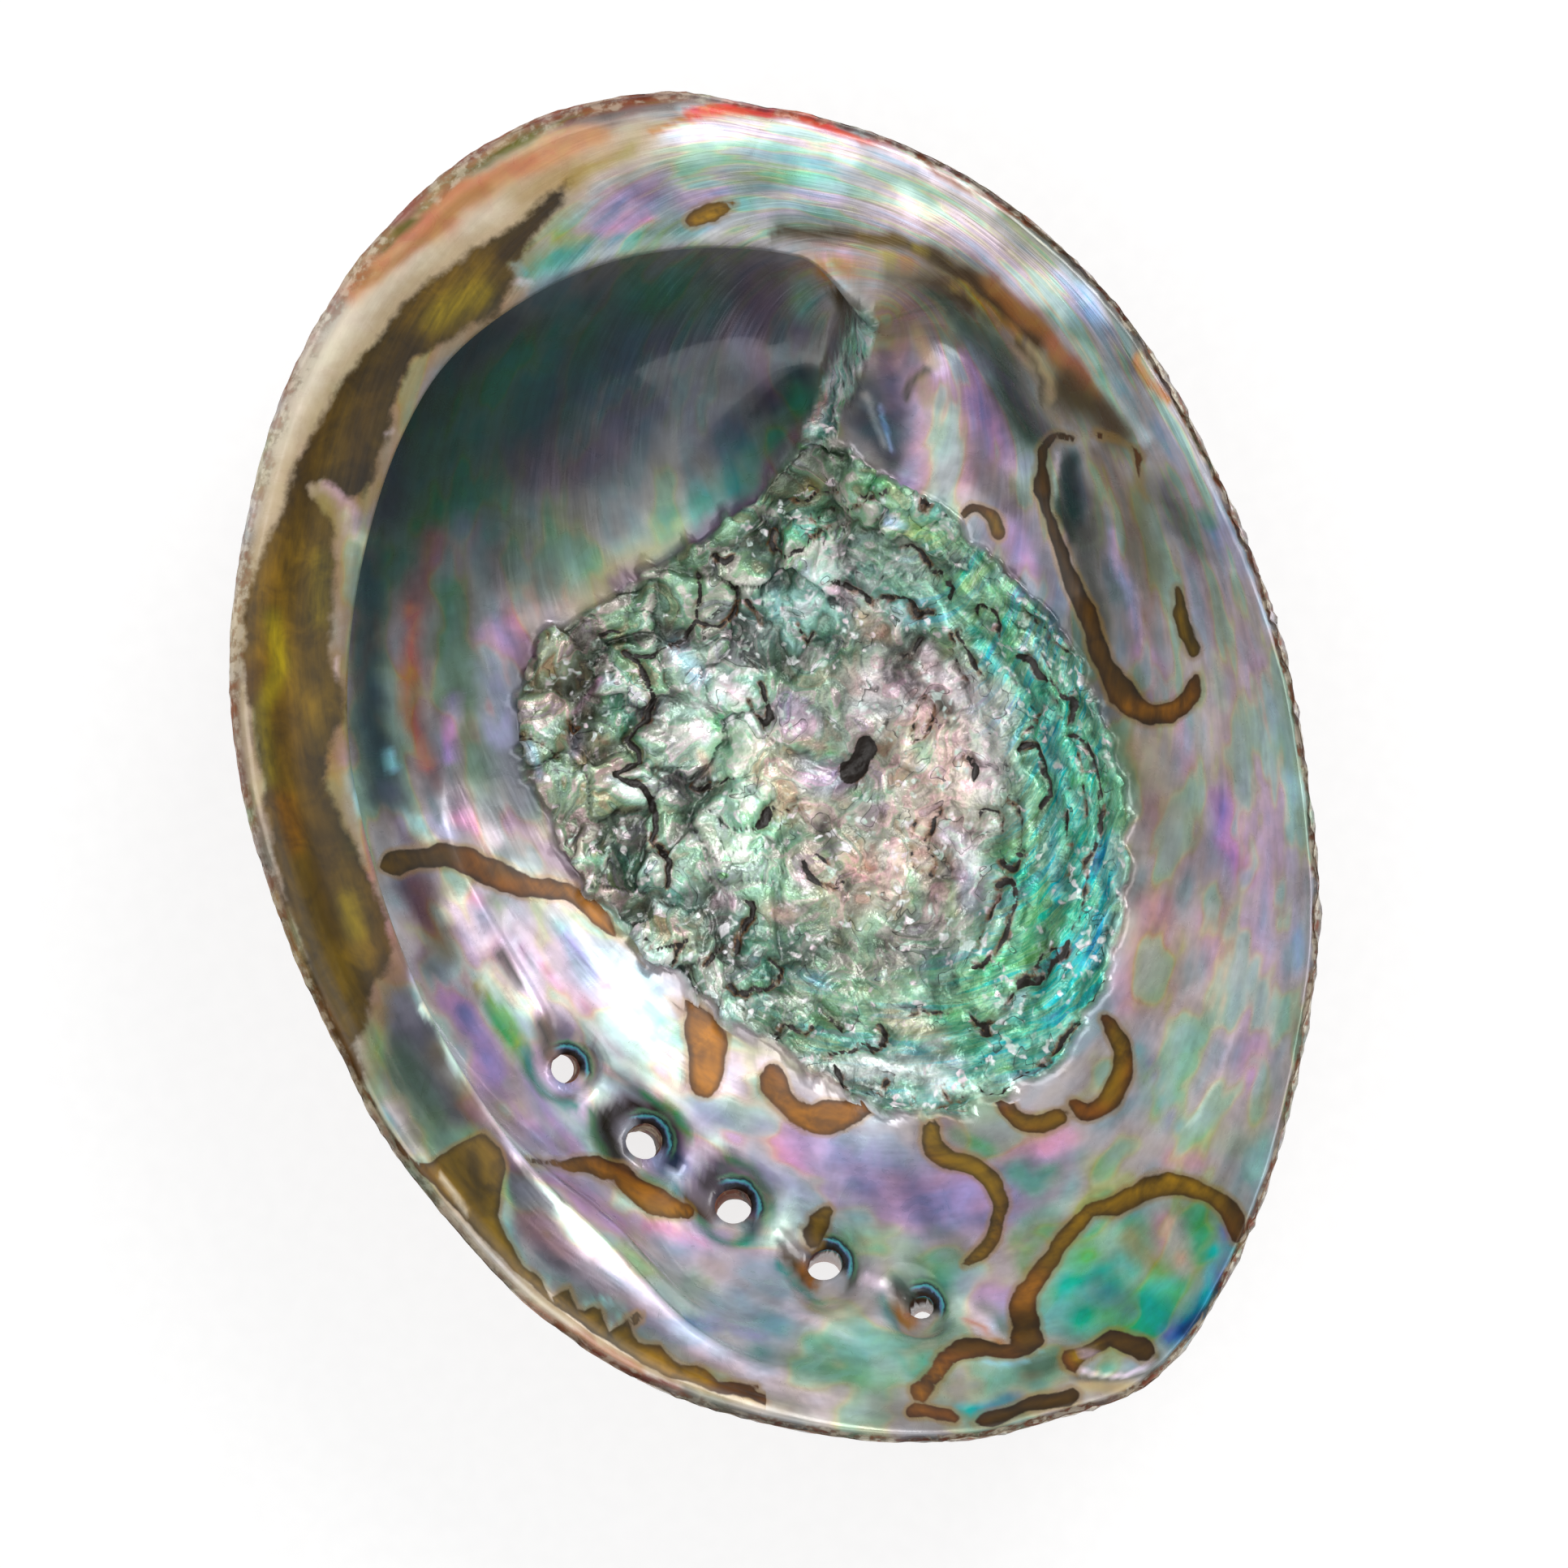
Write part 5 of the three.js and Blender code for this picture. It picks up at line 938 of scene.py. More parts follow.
# The strokes on the horn itself
HORN_STROKES = [
    ("honey", 1.74, 0.9, [(-7.8, 58.7), (-4.8, 60.3)]),
    ("honey", 1.91, 0.8, [(-27.4, -56.1), (-17, -62.2), (-8.3, -65.7)]),
    ("umber", 1.22, 0.5, [(-34.3, -43), (-30.9, -50)]),
    ("tawny", 2.96, 0.9, [(-7.6, -29.1), (-7.2, -34.3)]),
    ("tawny", 2.09, 0.7, [(-0.4, -36.5), (6.5, -38.7)]),
    ("tawny", 1.91, 0.6, [(-30.9, -10.2), (-21.3, -13.8)]),
    ("amber", 1.39, 0.8, [(-19.6, -15.7), (-13.5, -21.3)]),
    ("tawny", 1.74, 0.8, [(-23, -43), (-10.9, -48.3)]),
    ("olive", 1.91, 0.9, [(3.9, -50.4), (5.7, -48.3)]),
    ("honey", 0.87, 0.8, [(-22.2, -44.1), (-15.2, -47.6), (-10, -48.8)]),
    ("umber", 2.26, 0.5, [(29, 33.5), (30, 25.7), (34.3, 14.3), (40.4, 5.7), (45.2, 9.1),
     (43.5, 18.7)]),
    ("tawny", 2.09, 0.8, [(26.7, -59.6), (27.4, -56.1)]),
    ("olive", 2.61, 0.8, [(30, -52.6), (34.3, -47.9), (42.9, -45), (47.4, -46)]),
    ("umber", 1.22, 0.8, [(49, -47.4), (49.8, -50)]),
    ("umber", 2.61, 0.9, [(27.2, -60.4), (27.4, -61.7)]),
    ("umber", 1.22, 0.8, [(19.6, -62.3), (23.9, -62.2)]),
    ("tawny", 1.74, 0.8, [(17, -65.7), (15.2, -67)]),
    ("umber", 2.61, 0.9, [(23.9, -69.6), (31.6, -67.7)]),
    # the gold and blush here are a painted highlight in the blind pit
    ("gold", 1.22, 0.9, [(33.1, -62.9), (34, -62.7)]),
    ("blush", 0.52, 1, [(33.3, -63), (34, -63)]),
    ("umber", 2.61, 0.9, [(36.5, -61.5), (39.6, -62.5)]),
    ("olive", 2.26, 0.6, [(17, -39.6), (23, -43.9)]),
    ("olive", 1.57, 0.7, [(26.5, -38.3), (30.9, -38.3)]),
    ("olive", 1.74, 0.8, [(37.4, -29.1), (36.1, -35.2)]),
    ("olive", 9.57, 1, [(-22.2, 61.3), (-39.6, 45.7), (-48.3, 21.3), (-48.3, -30.9)]),
    ("olive", 5.22, 1, [(-33.5, -41.3), (-27.4, -53.5), (-18.7, -60.4)]),
    ("umber", 2.61, 0.95, [(-39.6, 45.2), (-42.6, 41.3), (-44.8, 35.2), (-44.8, 30.9)]),
    ("horn", 1.04, 0.9, [(-23, 61.3), (-26.5, 57.4), (-29.6, 54.8)]),
    ("umber", 1.22, 0.8, [(-30.4, 52.6), (-30, 49.1)]),
    ("khaki", 1.91, 0.6, [(-31.7, 50.4), (-36.1, 48.3)]),
    ("honey", 0.87, 0.6, [(-30.9, 55.7), (-36.1, 52.2), (-40.4, 47.4)]),
    ("khaki", 1.39, 0.6, [(-48.3, 22.2), (-48.7, 16.1)]),
    ("umber", 1.04, 0.6, [(-50.7, 31.7), (-50, 24.8)]),
    ("honey", 1.57, 0.9, [(-53.5, 25.7), (-55.4, 19.6), (-55.7, 12.6)]),
    ("khaki", 1.04, 0.9, [(-53.9, 16.1), (-53, 10.9), (-55, 5.7), (-54.3, -1.3)]),
    ("umber", 1.22, 0.5, [(-51.7, 21.3), (-50.4, 12.6), (-49.6, 8.3)]),
    ("horn", 1.91, 0.6, [(-52.2, 5.7), (-50.4, -1.3), (-49.6, -5.7)]),
    ("tawny", 1.22, 0.6, [(-52.6, -3.9), (-51.3, -8.3)]),
    ("honey", 0.78, 0.7, [(-54.3, -4.8), (-52.8, -11.7), (-51.3, -16.1)]),
    ("umber", 2.26, 0.9, [(-48.3, -8.3), (-48.7, -12.6), (-46.5, -17.8)]),
    ("khaki", 1.22, 0.5, [(-45.7, -14.3), (-44.8, -17.8)]),
    ("moss", 1.22, 0.5, [(-46.1, -1.3), (-44.8, -8.3)]),
    ("olive", 1.74, 0.9, [(-44.8, -20.4), (-47.4, -24.8)]),
    ("tawny", 0.61, 0.6, [(-49.1, -23.9), (-46.5, -29.1), (-44.3, -33.5)]),
    ("umber", 1.39, 0.6, [(-33, -41.3), (-31.7, -47.4)]),
    ("honey", 0.7, 0.9, [(-31.7, -50.9), (-27.4, -54.5), (-23, -57.5), (-19.1, -60.1)]),
    ("bone", 0.35, 0.7, [(-35.7, -43.9), (-34.3, -45.7), (-33, -47.8)]),
    ("umber", 3.48, 0.7, [(29.1, 33.5), (31.7, 21.3), (35.2, 12.6), (38.7, 7)]),
    ("tawny", 1.22, 0.6, [(38.7, 6.3), (44.8, 7.4)]),
    ("olive", 1.74, 0.8, [(43.5, 17.8), (45.2, 12.6)]),
    ("amber", 1.04, 0.8, [(-23, -13.3), (-20.9, -14.5), (-18.7, -17), (-13.5, -22.2)]),
    ("umber", 1.91, 0.9, [(-41.3, -10.5), (-36.1, -9.8)]),
    ("umber", 1.22, 0.7, [(-30.3, -11), (-28.3, -10.9)]),
    ("tawny", 2.26, 0.9, [(-8.7, -28.3), (-6.5, -34.3)]),
    ("amber", 1.48, 0.95, [(-7.6, -29.5), (-7.4, -34)]),
    ("amber", 1.22, 0.6, [(2.6, -38.2), (6.1, -38.5)]),
    ("tawny", 1.57, 0.7, [(-0.4, -34.8), (3.9, -38.7), (8.3, -37.8)]),
    ("olive", 2.61, 0.8, [(17, -39.6), (23.9, -45.7), (21.3, -53.5)]),
    ("honey", 0.61, 0.7, [(32.6, -49.3), (37.3, -46.5), (42.9, -44.1), (47.4, -45.3)]),
    ("umber", 1.39, 0.8, [(33.5, 40), (36.3, 37)]),
    # the ice is a painted highlight on the shelf's crest
    ("ice", 1.13, 0.9, [(-8.3, -61.5), (-1.3, -64.6)]),
    ("taupe", 1.39, 0.5, [(-35.7, -38.3), (-32.6, -38.7)]),
    ("tawny", 1.74, 0.7, [(-22.2, -43.5), (-14.3, -46.7), (-9.3, -48.3)]),
    ("olive", 1.39, 0.8, [(19.6, 26.5), (24.3, 26.5)]),
]

# The photo's view: centre in plan, width at the rim's height, and the camera's distance from there
VIEW_CENTRE = (0.96, -1.83)
VIEW_WIDTH = 168
CAMERA_DISTANCE = 1300
# Light that the pale floor gives off, and the brightness of the studio at its level and overhead
FLOOR_GLOW = 0.75
SKY_GLOW = (0.15, 0.6)
# Length of the shell from its spire along its growth, and how much softer its wide field of horn is
GROWTH_REACH = 120
SOFT_FIELD = 0.22


def around(keys):
    """Smooth function round the shell through the given values, without overshoot."""
    angles = np.array([key[0] for key in keys], float)
    values = np.array([key[1] for key in keys], float)
    angles = np.concatenate([angles[-2:] - 360, angles, angles[:3] + 360])
    values = np.concatenate([values[-2:], values, values[:3]])
    slopes = np.diff(values) / np.diff(angles)
    before, after = slopes[:-1], slopes[1:]
    level = before * after <= 0
    rise = np.where(level, 0, 2 * before * after / np.where(level, 1, before + after))
    rise = np.concatenate([[0], rise, [0]])

    def value(degrees):
        turned = np.mod(degrees, 360)
        i = np.searchsorted(angles, turned, side="right") - 1
        span = angles[i + 1] - angles[i]
        share = (turned - angles[i]) / span
        square, cube = share**2, share**3
        eased = 3 * square - 2 * cube
        bend = rise[i] * (cube - 2 * square + share) + rise[i + 1] * (cube - square)
        return values[i] * (1 - eased) + values[i + 1] * eased + span * bend

    return value


def smooth_curve(points, places, closed=False):
    """Centripetal Catmull-Rom curve through points, at places counted in points."""
    points = np.asarray(points, float)
    if closed:
        ends = points[-1:], points[:3]
    else:
        ends = 2 * points[:1] - points[1:2], 2 * points[-1:] - points[-2:-1]
    padded = np.concatenate([ends[0], points, ends[1]])
    spans = len(points) - (0 if closed else 1)
    span = np.minimum(np.floor(places).astype(int), spans - 1)
    share = (places - span).reshape((-1,) + (1,) * (points.ndim - 1))
    before, start, end, after = (padded[span + i] for i in range(4))
    gaps = [np.sqrt(np.linalg.norm(b - a, axis=-1, keepdims=True)) for a, b in
            ((before, start), (start, end), (end, after))]
    gaps = [np.maximum(gap, 1e-6) for gap in gaps]
    first = gaps[1] * ((start - before) / gaps[0] - (end - before) / (gaps[0] + gaps[1])) + end - start
    last = gaps[1] * ((after - end) / gaps[2] - (after - start) / (gaps[1] + gaps[2])) + end - start
    return (start + first * share + (3 * (end - start) - 2 * first - last) * share**2
            + (2 * (start - end) + first + last) * share**3)


def plan_curve(points, closed=False):
    """A curve through points in plan, as ten times as many points."""
    last = len(points) - (0 if closed else 1)
    return smooth_curve(points, np.linspace(0, last, len(points) * 10), closed)


def radius_by_angle(curve, centre=PLAN_CENTRE):
    """Radius of a curve round a centre, as a function of degrees; an open curve's ends are joined."""
    degrees = np.degrees(np.arctan2(curve[:, 1] - centre[1], curve[:, 0] - centre[0])) % 360
    radii = np.hypot(curve[:, 0] - centre[0], curve[:, 1] - centre[1])
    order = np.argsort(degrees)
    return lambda wanted: np.interp(wanted, degrees[order], radii[order], period=360)


def mix(a, b, share):
    """A value between two others, at a share of the way."""
    return a + (b - a) * share


def smooth_step(low, high, value):
    """0 at the low end, 1 at the high end and beyond, with a soft rise between."""
    share = np.clip((value - low) / (high - low), 0, 1)
    return share * share * (3 - 2 * share)


def bell(distance, spread):
    """1 at no distance, fading to nearly 0 at twice the spread."""
    return np.exp(-((distance / spread) ** 2))


def mound(place, x, y):
    """Height of a round mound given by its middle, reach and rise."""
    (middle_x, middle_y), reach, rise = place
    return rise * (1 - np.minimum(1, np.hypot(x - middle_x, y - middle_y) / reach) ** 2) ** 2


def nearest_on(start, end, x, y):
    """Where a straight piece is nearest to every (x, y), as a share of its length, and how far away."""
    (ax, ay), (bx, by) = start, end
    length = max((bx - ax) ** 2 + (by - ay) ** 2, 1e-9)
    share = np.clip(((x - ax) * (bx - ax) + (y - ay) * (by - ay)) / length, 0, 1)
    return share, np.hypot(x - ax - share * (bx - ax), y - ay - share * (by - ay))


def distance_to(curve, x, y):
    """Distance in plan from every (x, y) to a curve of straight pieces."""
    nearest = np.full(x.shape, np.inf)
    for start, end in zip(curve[:-1], curve[1:]):
        nearest = np.minimum(nearest, nearest_on(start, end, x, y)[1])
    return nearest


def grain(x, y, size, octaves=1, seed=0.0):
    """Smooth noise of about -1 to 1 over the plan, with features of the given size."""
    places = zip(x.ravel() / size, y.ravel() / size)
    values = [noise.fractal((u, v, seed), 1.0, 2.0, octaves) for u, v in places]
    return np.array(values).reshape(x.shape)


def bent(x, y, reach, size, octaves, seed):
    """Places moved about by up to about the reach, in bends of the given size."""
    moved_x = x + reach * grain(x, y, size, octaves, seed)
    return moved_x, y + reach * grain(x, y, size, octaves, seed + 1)


def cell_value(i, j):
    """A scattered value of 0 to 1 for every cell."""
    value = np.sin(i * 127.1 + j * 311.7) * 43758.5453
    return value - np.floor(value)


def scattered_points(u, v):
    """The nine cells round every (u, v), and its offsets from the scattered point in each."""
    for down in (-1, 0, 1):
        for right in (-1, 0, 1):
            i, j = np.floor(u) + down, np.floor(v) + right
            across = u - i - 0.2 - 0.6 * cell_value(i, j)
            along = v - j - 0.2 - 0.6 * cell_value(j + 40, i + 17)
            yield i, j, across, along


def nearest_point(x, y, size):
    """Distance to the nearest of scattered points, in cells."""
    points = scattered_points(x / size, y / size)
    return np.minimum.reduce([np.hypot(across, along) for _, _, across, along in points])


outline_radius = radius_by_angle(plan_curve(OUTLINE, closed=True))
shelf_radius = radius_by_angle(plan_curve(SHELF_EDGE))
scar_radius = radius_by_angle(plan_curve(SCAR_EDGE, closed=True))
growth_radius = radius_by_angle(plan_curve(OUTLINE, closed=True), SPIRE[0])
hole_row = plan_curve(HOLE_ROW)
spire_valley = plan_curve(SPIRE_VALLEY)
back_fullness = around(BACK_FULLNESS)
recess_share = around(RECESS_SHARE)
ledge_share = around(LEDGE_SHARE)


def plan_point(degrees, radius):
    """Place in plan at an angle and a radius round the centre."""
    angle = np.radians(degrees)
    return PLAN_CENTRE[0] + radius * np.cos(angle), PLAN_CENTRE[1] + radius * np.sin(angle)


def rim_height(degrees):
    """Height of the rim, which sways up at the ends of the shell."""
    return RIM_HEIGHT - RIM_SWAY * np.cos(np.radians(2 * (degrees - LONG_AXIS)))


def back_height(degrees, share):
    """Height of the back at a share of the way out to the rim."""
    out = np.clip(share, 0, 1)
    bowl = 0.7 * out**2.1 + 0.3 * (1 - np.sqrt(1 - out**2))
    full = 1 - (1 - out**2.5) ** 0.4
    return np.maximum(0, rim_height(degrees) * mix(bowl, full, back_fullness(degrees)) - BACK_WEAR)


def profile_points(degrees):
    """Points (radius, height) of the inside profile at every angle, from the middle to the outline."""
    rim = outline_radius(degrees)
    crest = rim - around(RIM_ROLL)(degrees)
    brow = np.minimum(shelf_radius(degrees), crest - 4)
    edge = brow - around(SPIRE_HOOK)(degrees)
    scar = scar_radius(degrees)
    rim_top = rim_height(degrees)
    edge_top = rim_top - around(EDGE_DROP)(degrees)
    scar_top = around(SCAR_HEIGHT)(degrees)
    recess = around(RECESS_HEIGHT)(degrees)
    undercut = around(UNDERCUT)(degrees)
    shelf = around(SHELF_SHARE)(degrees)
    hollow = recess_share(degrees)
    crown = around(SHELF_CROWN)(degrees)

    def blend(share, a, b):
        return mix(a[0], b[0], share), mix(a[1], b[1], share)

    def lip(share):
        return mix(scar, crest, share), mix(scar_top, rim_top, share**1.15)

    inner = blend(shelf, lip(0.84), (edge, edge_top))

    def wall(share, under):
        rising = mix(scar, inner[0], share), mix(scar_top, inner[1], share ** (1.15 + 0.5 * shelf))
        return blend(hollow, rising, under)

    def top(share, height):
        return mix(brow, crest, share), mix(edge_top, rim_top, height)

    middle = np.zeros_like(rim)
    points = [
        (middle, middle + FLOOR_HEIGHT),
        (0.35 * scar, mix(FLOOR_HEIGHT, scar_top, 0.13)),
        (0.7 * scar, mix(FLOOR_HEIGHT, scar_top, 0.5)),
        (scar, scar_top),
        wall(0.27, (mix(scar, edge, 0.45), recess)),
        wall(0.48, (edge + undercut - 3.5, recess + 2.5)),
        wall(0.65, (edge + undercut, mix(recess, edge_top, 0.45))),
        wall(0.79, (edge + 0.75 * undercut, edge_top - 4.5)),
        wall(0.9, (edge + 0.8, edge_top - 1.3)),
        inner,
        blend(shelf, lip(0.9), top(mix(0.2, 0.12, hollow), mix(0.25, 0.09, hollow))),
        blend(shelf, lip(0.94), top(0.58, crown)),
        blend(shelf, lip(0.97), (crest - 2, rim_top - 0.6)),
        (crest, rim_top),
        (rim, rim_top - 1.6),
    ]
    return np.array([np.stack(point, axis=-1) for point in points])


def keep_wall(degrees, radius, height, least):
    """Moves inside points away from the back where the wall would be too thin."""
    rim = outline_radius(degrees)
    for _ in range(3):
        back = back_height(degrees, radius / rim)
        slope = (back_height(degrees, radius / rim + 0.002) - back) / (0.002 * rim)
        steepness = np.hypot(1, slope)
        missing = np.maximum(0, least - (height - back) / steepness)
        radius = radius - missing * slope / steepness
        height = height + missing / steepness
    return radius, height


def inside_faces(degrees):
    """The inside of the shell as grids of x, y, z and place along the profile."""
    spans = [span + np.arange(1, rings + 1) / rings for span, rings in enumerate(INSIDE_RINGS)]
    places = np.concatenate([[0]] + spans)
    sections = smooth_curve(profile_points(degrees), places)
    radius, height = sections[..., 0], sections[..., 1]
    place = np.broadcast_to(places[:, None], radius.shape)
    x, y = plan_point(degrees, radius)
    groove = HOLE_GROOVE_DEPTH * bell(distance_to(hole_row, x, y), HOLE_GROOVE_SPREAD)
    valley = SPIRE_VALLEY_DEPTH * bell(distance_to(spire_valley, x, y), SPIRE_VALLEY_SPREAD)
    hollow = (1 - recess_share(degrees)) * (mound(BULGE, x, y) - valley) - groove
    ledges = LEDGE_HEIGHT * ledge_share(degrees) * smooth_step(*LEDGE_START, place)
    lumps = LUMP_HEIGHT * (0.5 - nearest_point(x, y, LUMP_SIZE) ** 2)
    rough = SCAR_STEP + lumps + ledges * np.cos(4 * np.pi * place)
    raised = height + (1 - smooth_step(*FLOOR_END, place)) * hollow
    raised += scar_cover(x, y, place) * rough
    least = WALL * (1 - smooth_step(*WALL_END, place))
    radius, z = keep_wall(degrees, radius, raised, least)
    x, y = plan_point(degrees, radius)
    return x, y, z, place


def back_faces(degrees):
    """The back from the rim to the worn flat, as grids of x, y, z and share of the radius."""
    shares = 1 - (np.arange(1, BACK_RINGS + 1) / BACK_RINGS) ** 1.3
    share = np.broadcast_to(shares[:, None], (BACK_RINGS, len(degrees)))
    x, y = plan_point(degrees, share * outline_radius(degrees))
    return x, y, back_height(degrees, share), share


def normals_of(x, y, z):
    """Unit normals of a grid whose columns go once round the shell, pointing off the shell's wall."""
    grid = np.stack([x, y, z], axis=-1)
    along = np.gradient(grid, axis=0)
    across = np.empty_like(grid)
    across[:, 1:-1] = grid[:, 2:] - grid[:, :-2]
    across[:, 0] = across[:, -1] = grid[:, 1] - grid[:, -2]
    normal = np.cross(along, across)
    length = np.linalg.norm(normal, axis=-1, keepdims=True)
    return normal / np.maximum(length, 1e-9)


def scar_cover(x, y, place):
    """1 on the muscle scar and 0 outside its crumbled edge."""
    ragged = 0.12 * grain(x, y, 3.2, 3, seed=4.0)
    return 1 - smooth_step(*SCAR_END, place + ragged)


def flaky_cover(x, y, place):
    """1 on the strip of flakes between the scar and the spire."""
    away = distance_to(FLAKY_STRIP, x, y) + 0.6 * grain(x, y, 2, 2)
    return smooth_step(*FLAKY_EDGE, away) * (1 - smooth_step(*SHELF_START, place))


def crack_depths(x, y):
    """Depth of the grooves of the scar's cracks, and the distance to the nearest crack's edge."""
    depth = np.zeros_like(x)
    edge = np.full_like(x, FAR)
    wobble_x, wobble_y = bent(x, y, 0.25, 1.3, 1, seed=11.0)
    swelling = 0.75 * (1.15 + 0.6 * grain(x, y, 2.4, 2, seed=13.0))
    for width, points in CRACKS:
        away = distance_to(points, wobble_x, wobble_y)
        deepest = HAIR_CRACK_DEPTH + WIDE_CRACK_DEPTH * min(width, 1)
        depth = np.maximum(depth, deepest * bell(away, 0.5 * width + 0.2))
        edge = np.minimum(edge, away - 0.5 * width * mix(swelling, 1, smooth_step(1, 2, width)))
    return depth, edge


def plates(x, y, size):
    """Height of domed and tilted plates of this size, the distance to their seams, and a tone each."""
    nearest = np.full(x.shape, np.inf)
    second = np.full(x.shape, np.inf)
    height = np.zeros_like(x)
    tone = np.zeros_like(x)
    for i, j, across, along in scattered_points(x / size, y / size):
        tilted = across * (cell_value(i + 5, j) - 0.5) + along * (cell_value(i, j + 9) - 0.5)
        lift = 0.4 * (cell_value(i + 3, j + 2) - 0.5)
        distance = np.hypot(across, along)
        height = np.where(distance < nearest, tilted + lift, height)
        tone = np.where(distance < nearest, cell_value(i + 11, j + 3), tone)
        second = np.minimum(second, np.maximum(nearest, distance))
        nearest = np.minimum(nearest, distance)
    return size * (height + 0.2 - 0.4 * nearest ** 2), size * (second - nearest), tone


def scar_relief(x, y, degrees, place):
    """Relief of the muscle scar, how near a place is to a seam of its pads, and the pads' tone."""
    warped_x, warped_y = bent(x, y, 2.6, 7, 3, seed=1.0)
    pads, pad_seam, pad_tone = plates(warped_x, warped_y, PAD_SIZE)
    scales, scale_seam, scale_tone = plates(warped_x + 7, warped_y, SCALE_SIZE)
    crumbled = smooth_step(-0.1, 0.35, grain(x, y, 7, 2, seed=6.0))
    # the pads are lower in the middle and lower right of the scar
    lumpy = 1 - 0.65 * smooth_step(-7, 3, x) * smooth_step(19, 14, y)
    relief = PAD_HEIGHT * lumpy * pads * smooth_step(0, 0.6, pad_seam)
    relief += SWELL_HEIGHT * grain(x, y, 6, 2, seed=8.0)
    relief += SCALE_HEIGHT * (0.12 + 0.88 * crumbled) * scales * smooth_step(0, 0.4, scale_seam)
    terraced = ledge_share(degrees) * smooth_step(*TERRACE_START, place)
    stair = np.mod(place * TERRACES + 1.2 * grain(x, y, 8, 3, seed=3.0), 1)
    terrace = TERRACE_HEIGHT * (stair - smooth_step(0.85, 1, stair))
    relief = mix(relief, 0.3 * relief + terrace, terraced) - 0.3
    relief += GRIT_HEIGHT * grain(x, y, 1.1, 3, seed=5.0)
    seams = np.maximum(lumpy * bell(pad_seam, 0.3), crumbled * lumpy * bell(scale_seam, 0.22))
    broken = smooth_step(-0.1, 0.2, grain(x, y, 5, 2, seed=7.0))
    tone = 0.6 * pad_tone + 0.4 * scale_tone
    return relief, mix(seams, broken * bell(1 - stair, 0.1), terraced), mix(tone, stair, terraced)


def hole_relief(x, y):
    """How far the funnels of the open holes and the blind pits go into the inside."""
    depth = np.zeros_like(x)
    for (hole_x, hole_y), radius in OPEN_HOLES:
        along = ((x - hole_x) + (y - hole_y)) / math.sqrt(2)
        across = ((y - hole_y) - (x - hole_x)) / math.sqrt(2)
        stretch = np.where(across > 0, 1.5, 1)
        away = np.maximum(0, np.hypot(along, across / stretch) - 0.8 * radius)
        depth = np.maximum(depth, FUNNEL_DEPTH * bell(away, FUNNEL_SPREAD * radius / 2))
    for (pit_x, pit_y), (long_half, short_half), turn, deep in BLIND_PITS:
        angle = math.radians(turn)
        along = (x - pit_x) * math.cos(angle) + (y - pit_y) * math.sin(angle)
        across = (y - pit_y) * math.cos(angle) - (x - pit_x) * math.sin(angle)
        depth = np.maximum(depth, deep * bell(np.hypot(along / long_half, across / short_half), 0.8))
    return depth


def inside_relief(x, y, place, scar, flaky, carved):
    """Fine relief of the inside, where the scar's own is already carved."""
    open_floor = 1 - smooth_step(*FUNNEL_END, place)
    relief = scar * carved - open_floor * hole_relief(x, y)
    relief += 0.1 * grain(x, y, 6, 2, seed=41.0) * open_floor * (1 - scar)
    return relief + FLAKE_HEIGHT * flaky * grain(x, y, 1.8, 3, seed=9.0)


def growth_of(x, y):
    """How far a place is from the spire on the way to the rim, from 0 to 1."""
    (spire_x, spire_y), _, _ = SPIRE
    degrees = np.degrees(np.arctan2(y - spire_y, x - spire_x))
    return np.hypot(x - spire_x, y - spire_y) / growth_radius(degrees)


def back_relief(x, y, share):
    """Relief of the back: ridge of the holes, spire, growth bands, folds and crust."""
    growth = growth_of(x, y)
    (spire_x, spire_y), _, _ = SPIRE
    away = np.hypot(x - spire_x, y - spire_y)
    turn = np.arctan2(y - spire_y, x - spire_x) / (2 * np.pi)
    whorl = np.mod(turn + 1.1 * np.log(np.maximum(away, 0.4)), 1)
    suture = bell(np.minimum(whorl, 1 - whorl), 0.09) * (1 - smooth_step(11, 17, away))
    relief = mound(SPIRE, x, y) - SUTURE_DEPTH * suture
    relief += HOLE_RIDGE_HEIGHT * bell(distance_to(hole_row, x, y), HOLE_RIDGE_SPREAD)
    bands = np.mod(growth * GROWTH_BANDS + 0.35 * grain(x, y, 14, 2, seed=21.0), 1)
    relief += BAND_HEIGHT * (bands - smooth_step(0.8, 1, bands))
    threads = growth * GROWTH_THREADS + 0.5 * grain(x, y, 9, 2, seed=22.0)
    relief += THREAD_HEIGHT * np.sin(2 * np.pi * threads)
    folds = np.sin(2 * np.pi * (FOLDS * turn + 0.4 * growth))
    relief += FOLD_HEIGHT * folds * smooth_step(0.3, 0.8, growth)
    relief += CRUST_HEIGHT * grain(x, y, 2.2, 4, seed=23.0)
    relief += CLUMP_HEIGHT * np.maximum(0, grain(x, y, 7, 3, seed=24.0))
    tubes = np.zeros_like(x)
    for (hole_x, hole_y), radius in OPEN_HOLES:
        away = np.abs(np.hypot(x - hole_x, y - hole_y) - radius - 0.5)
        tubes = np.maximum(tubes, TUBE_HEIGHT * bell(away, TUBE_SPREAD))
    return (relief * (1 - smooth_step(0.93, 0.99, share)) + tubes) * smooth_step(0.2, 0.5, share)


def rim_chips(x, y, degrees, nearness):
    """How far the thin rim is worn back."""
    frayed = 0.35 + 0.65 * smooth_step(-0.2, 0.9, np.cos(np.radians(degrees - 350)))
    chips = 0.35 + 0.5 * grain(x, y, 1.4, 3, seed=31.0) + 0.5 * grain(x, y, 5, 2, seed=32.0)
    return CHIP_DEPTH * nearness * frayed * np.maximum(0, chips)


def linear(name):
    """A palette colour as linear red, green and blue."""
    value = np.array(PALETTE[name]) / 255
    return np.where(value <= 0.04045, value / 12.92, ((value + 0.055) / 1.055) ** 2.4)


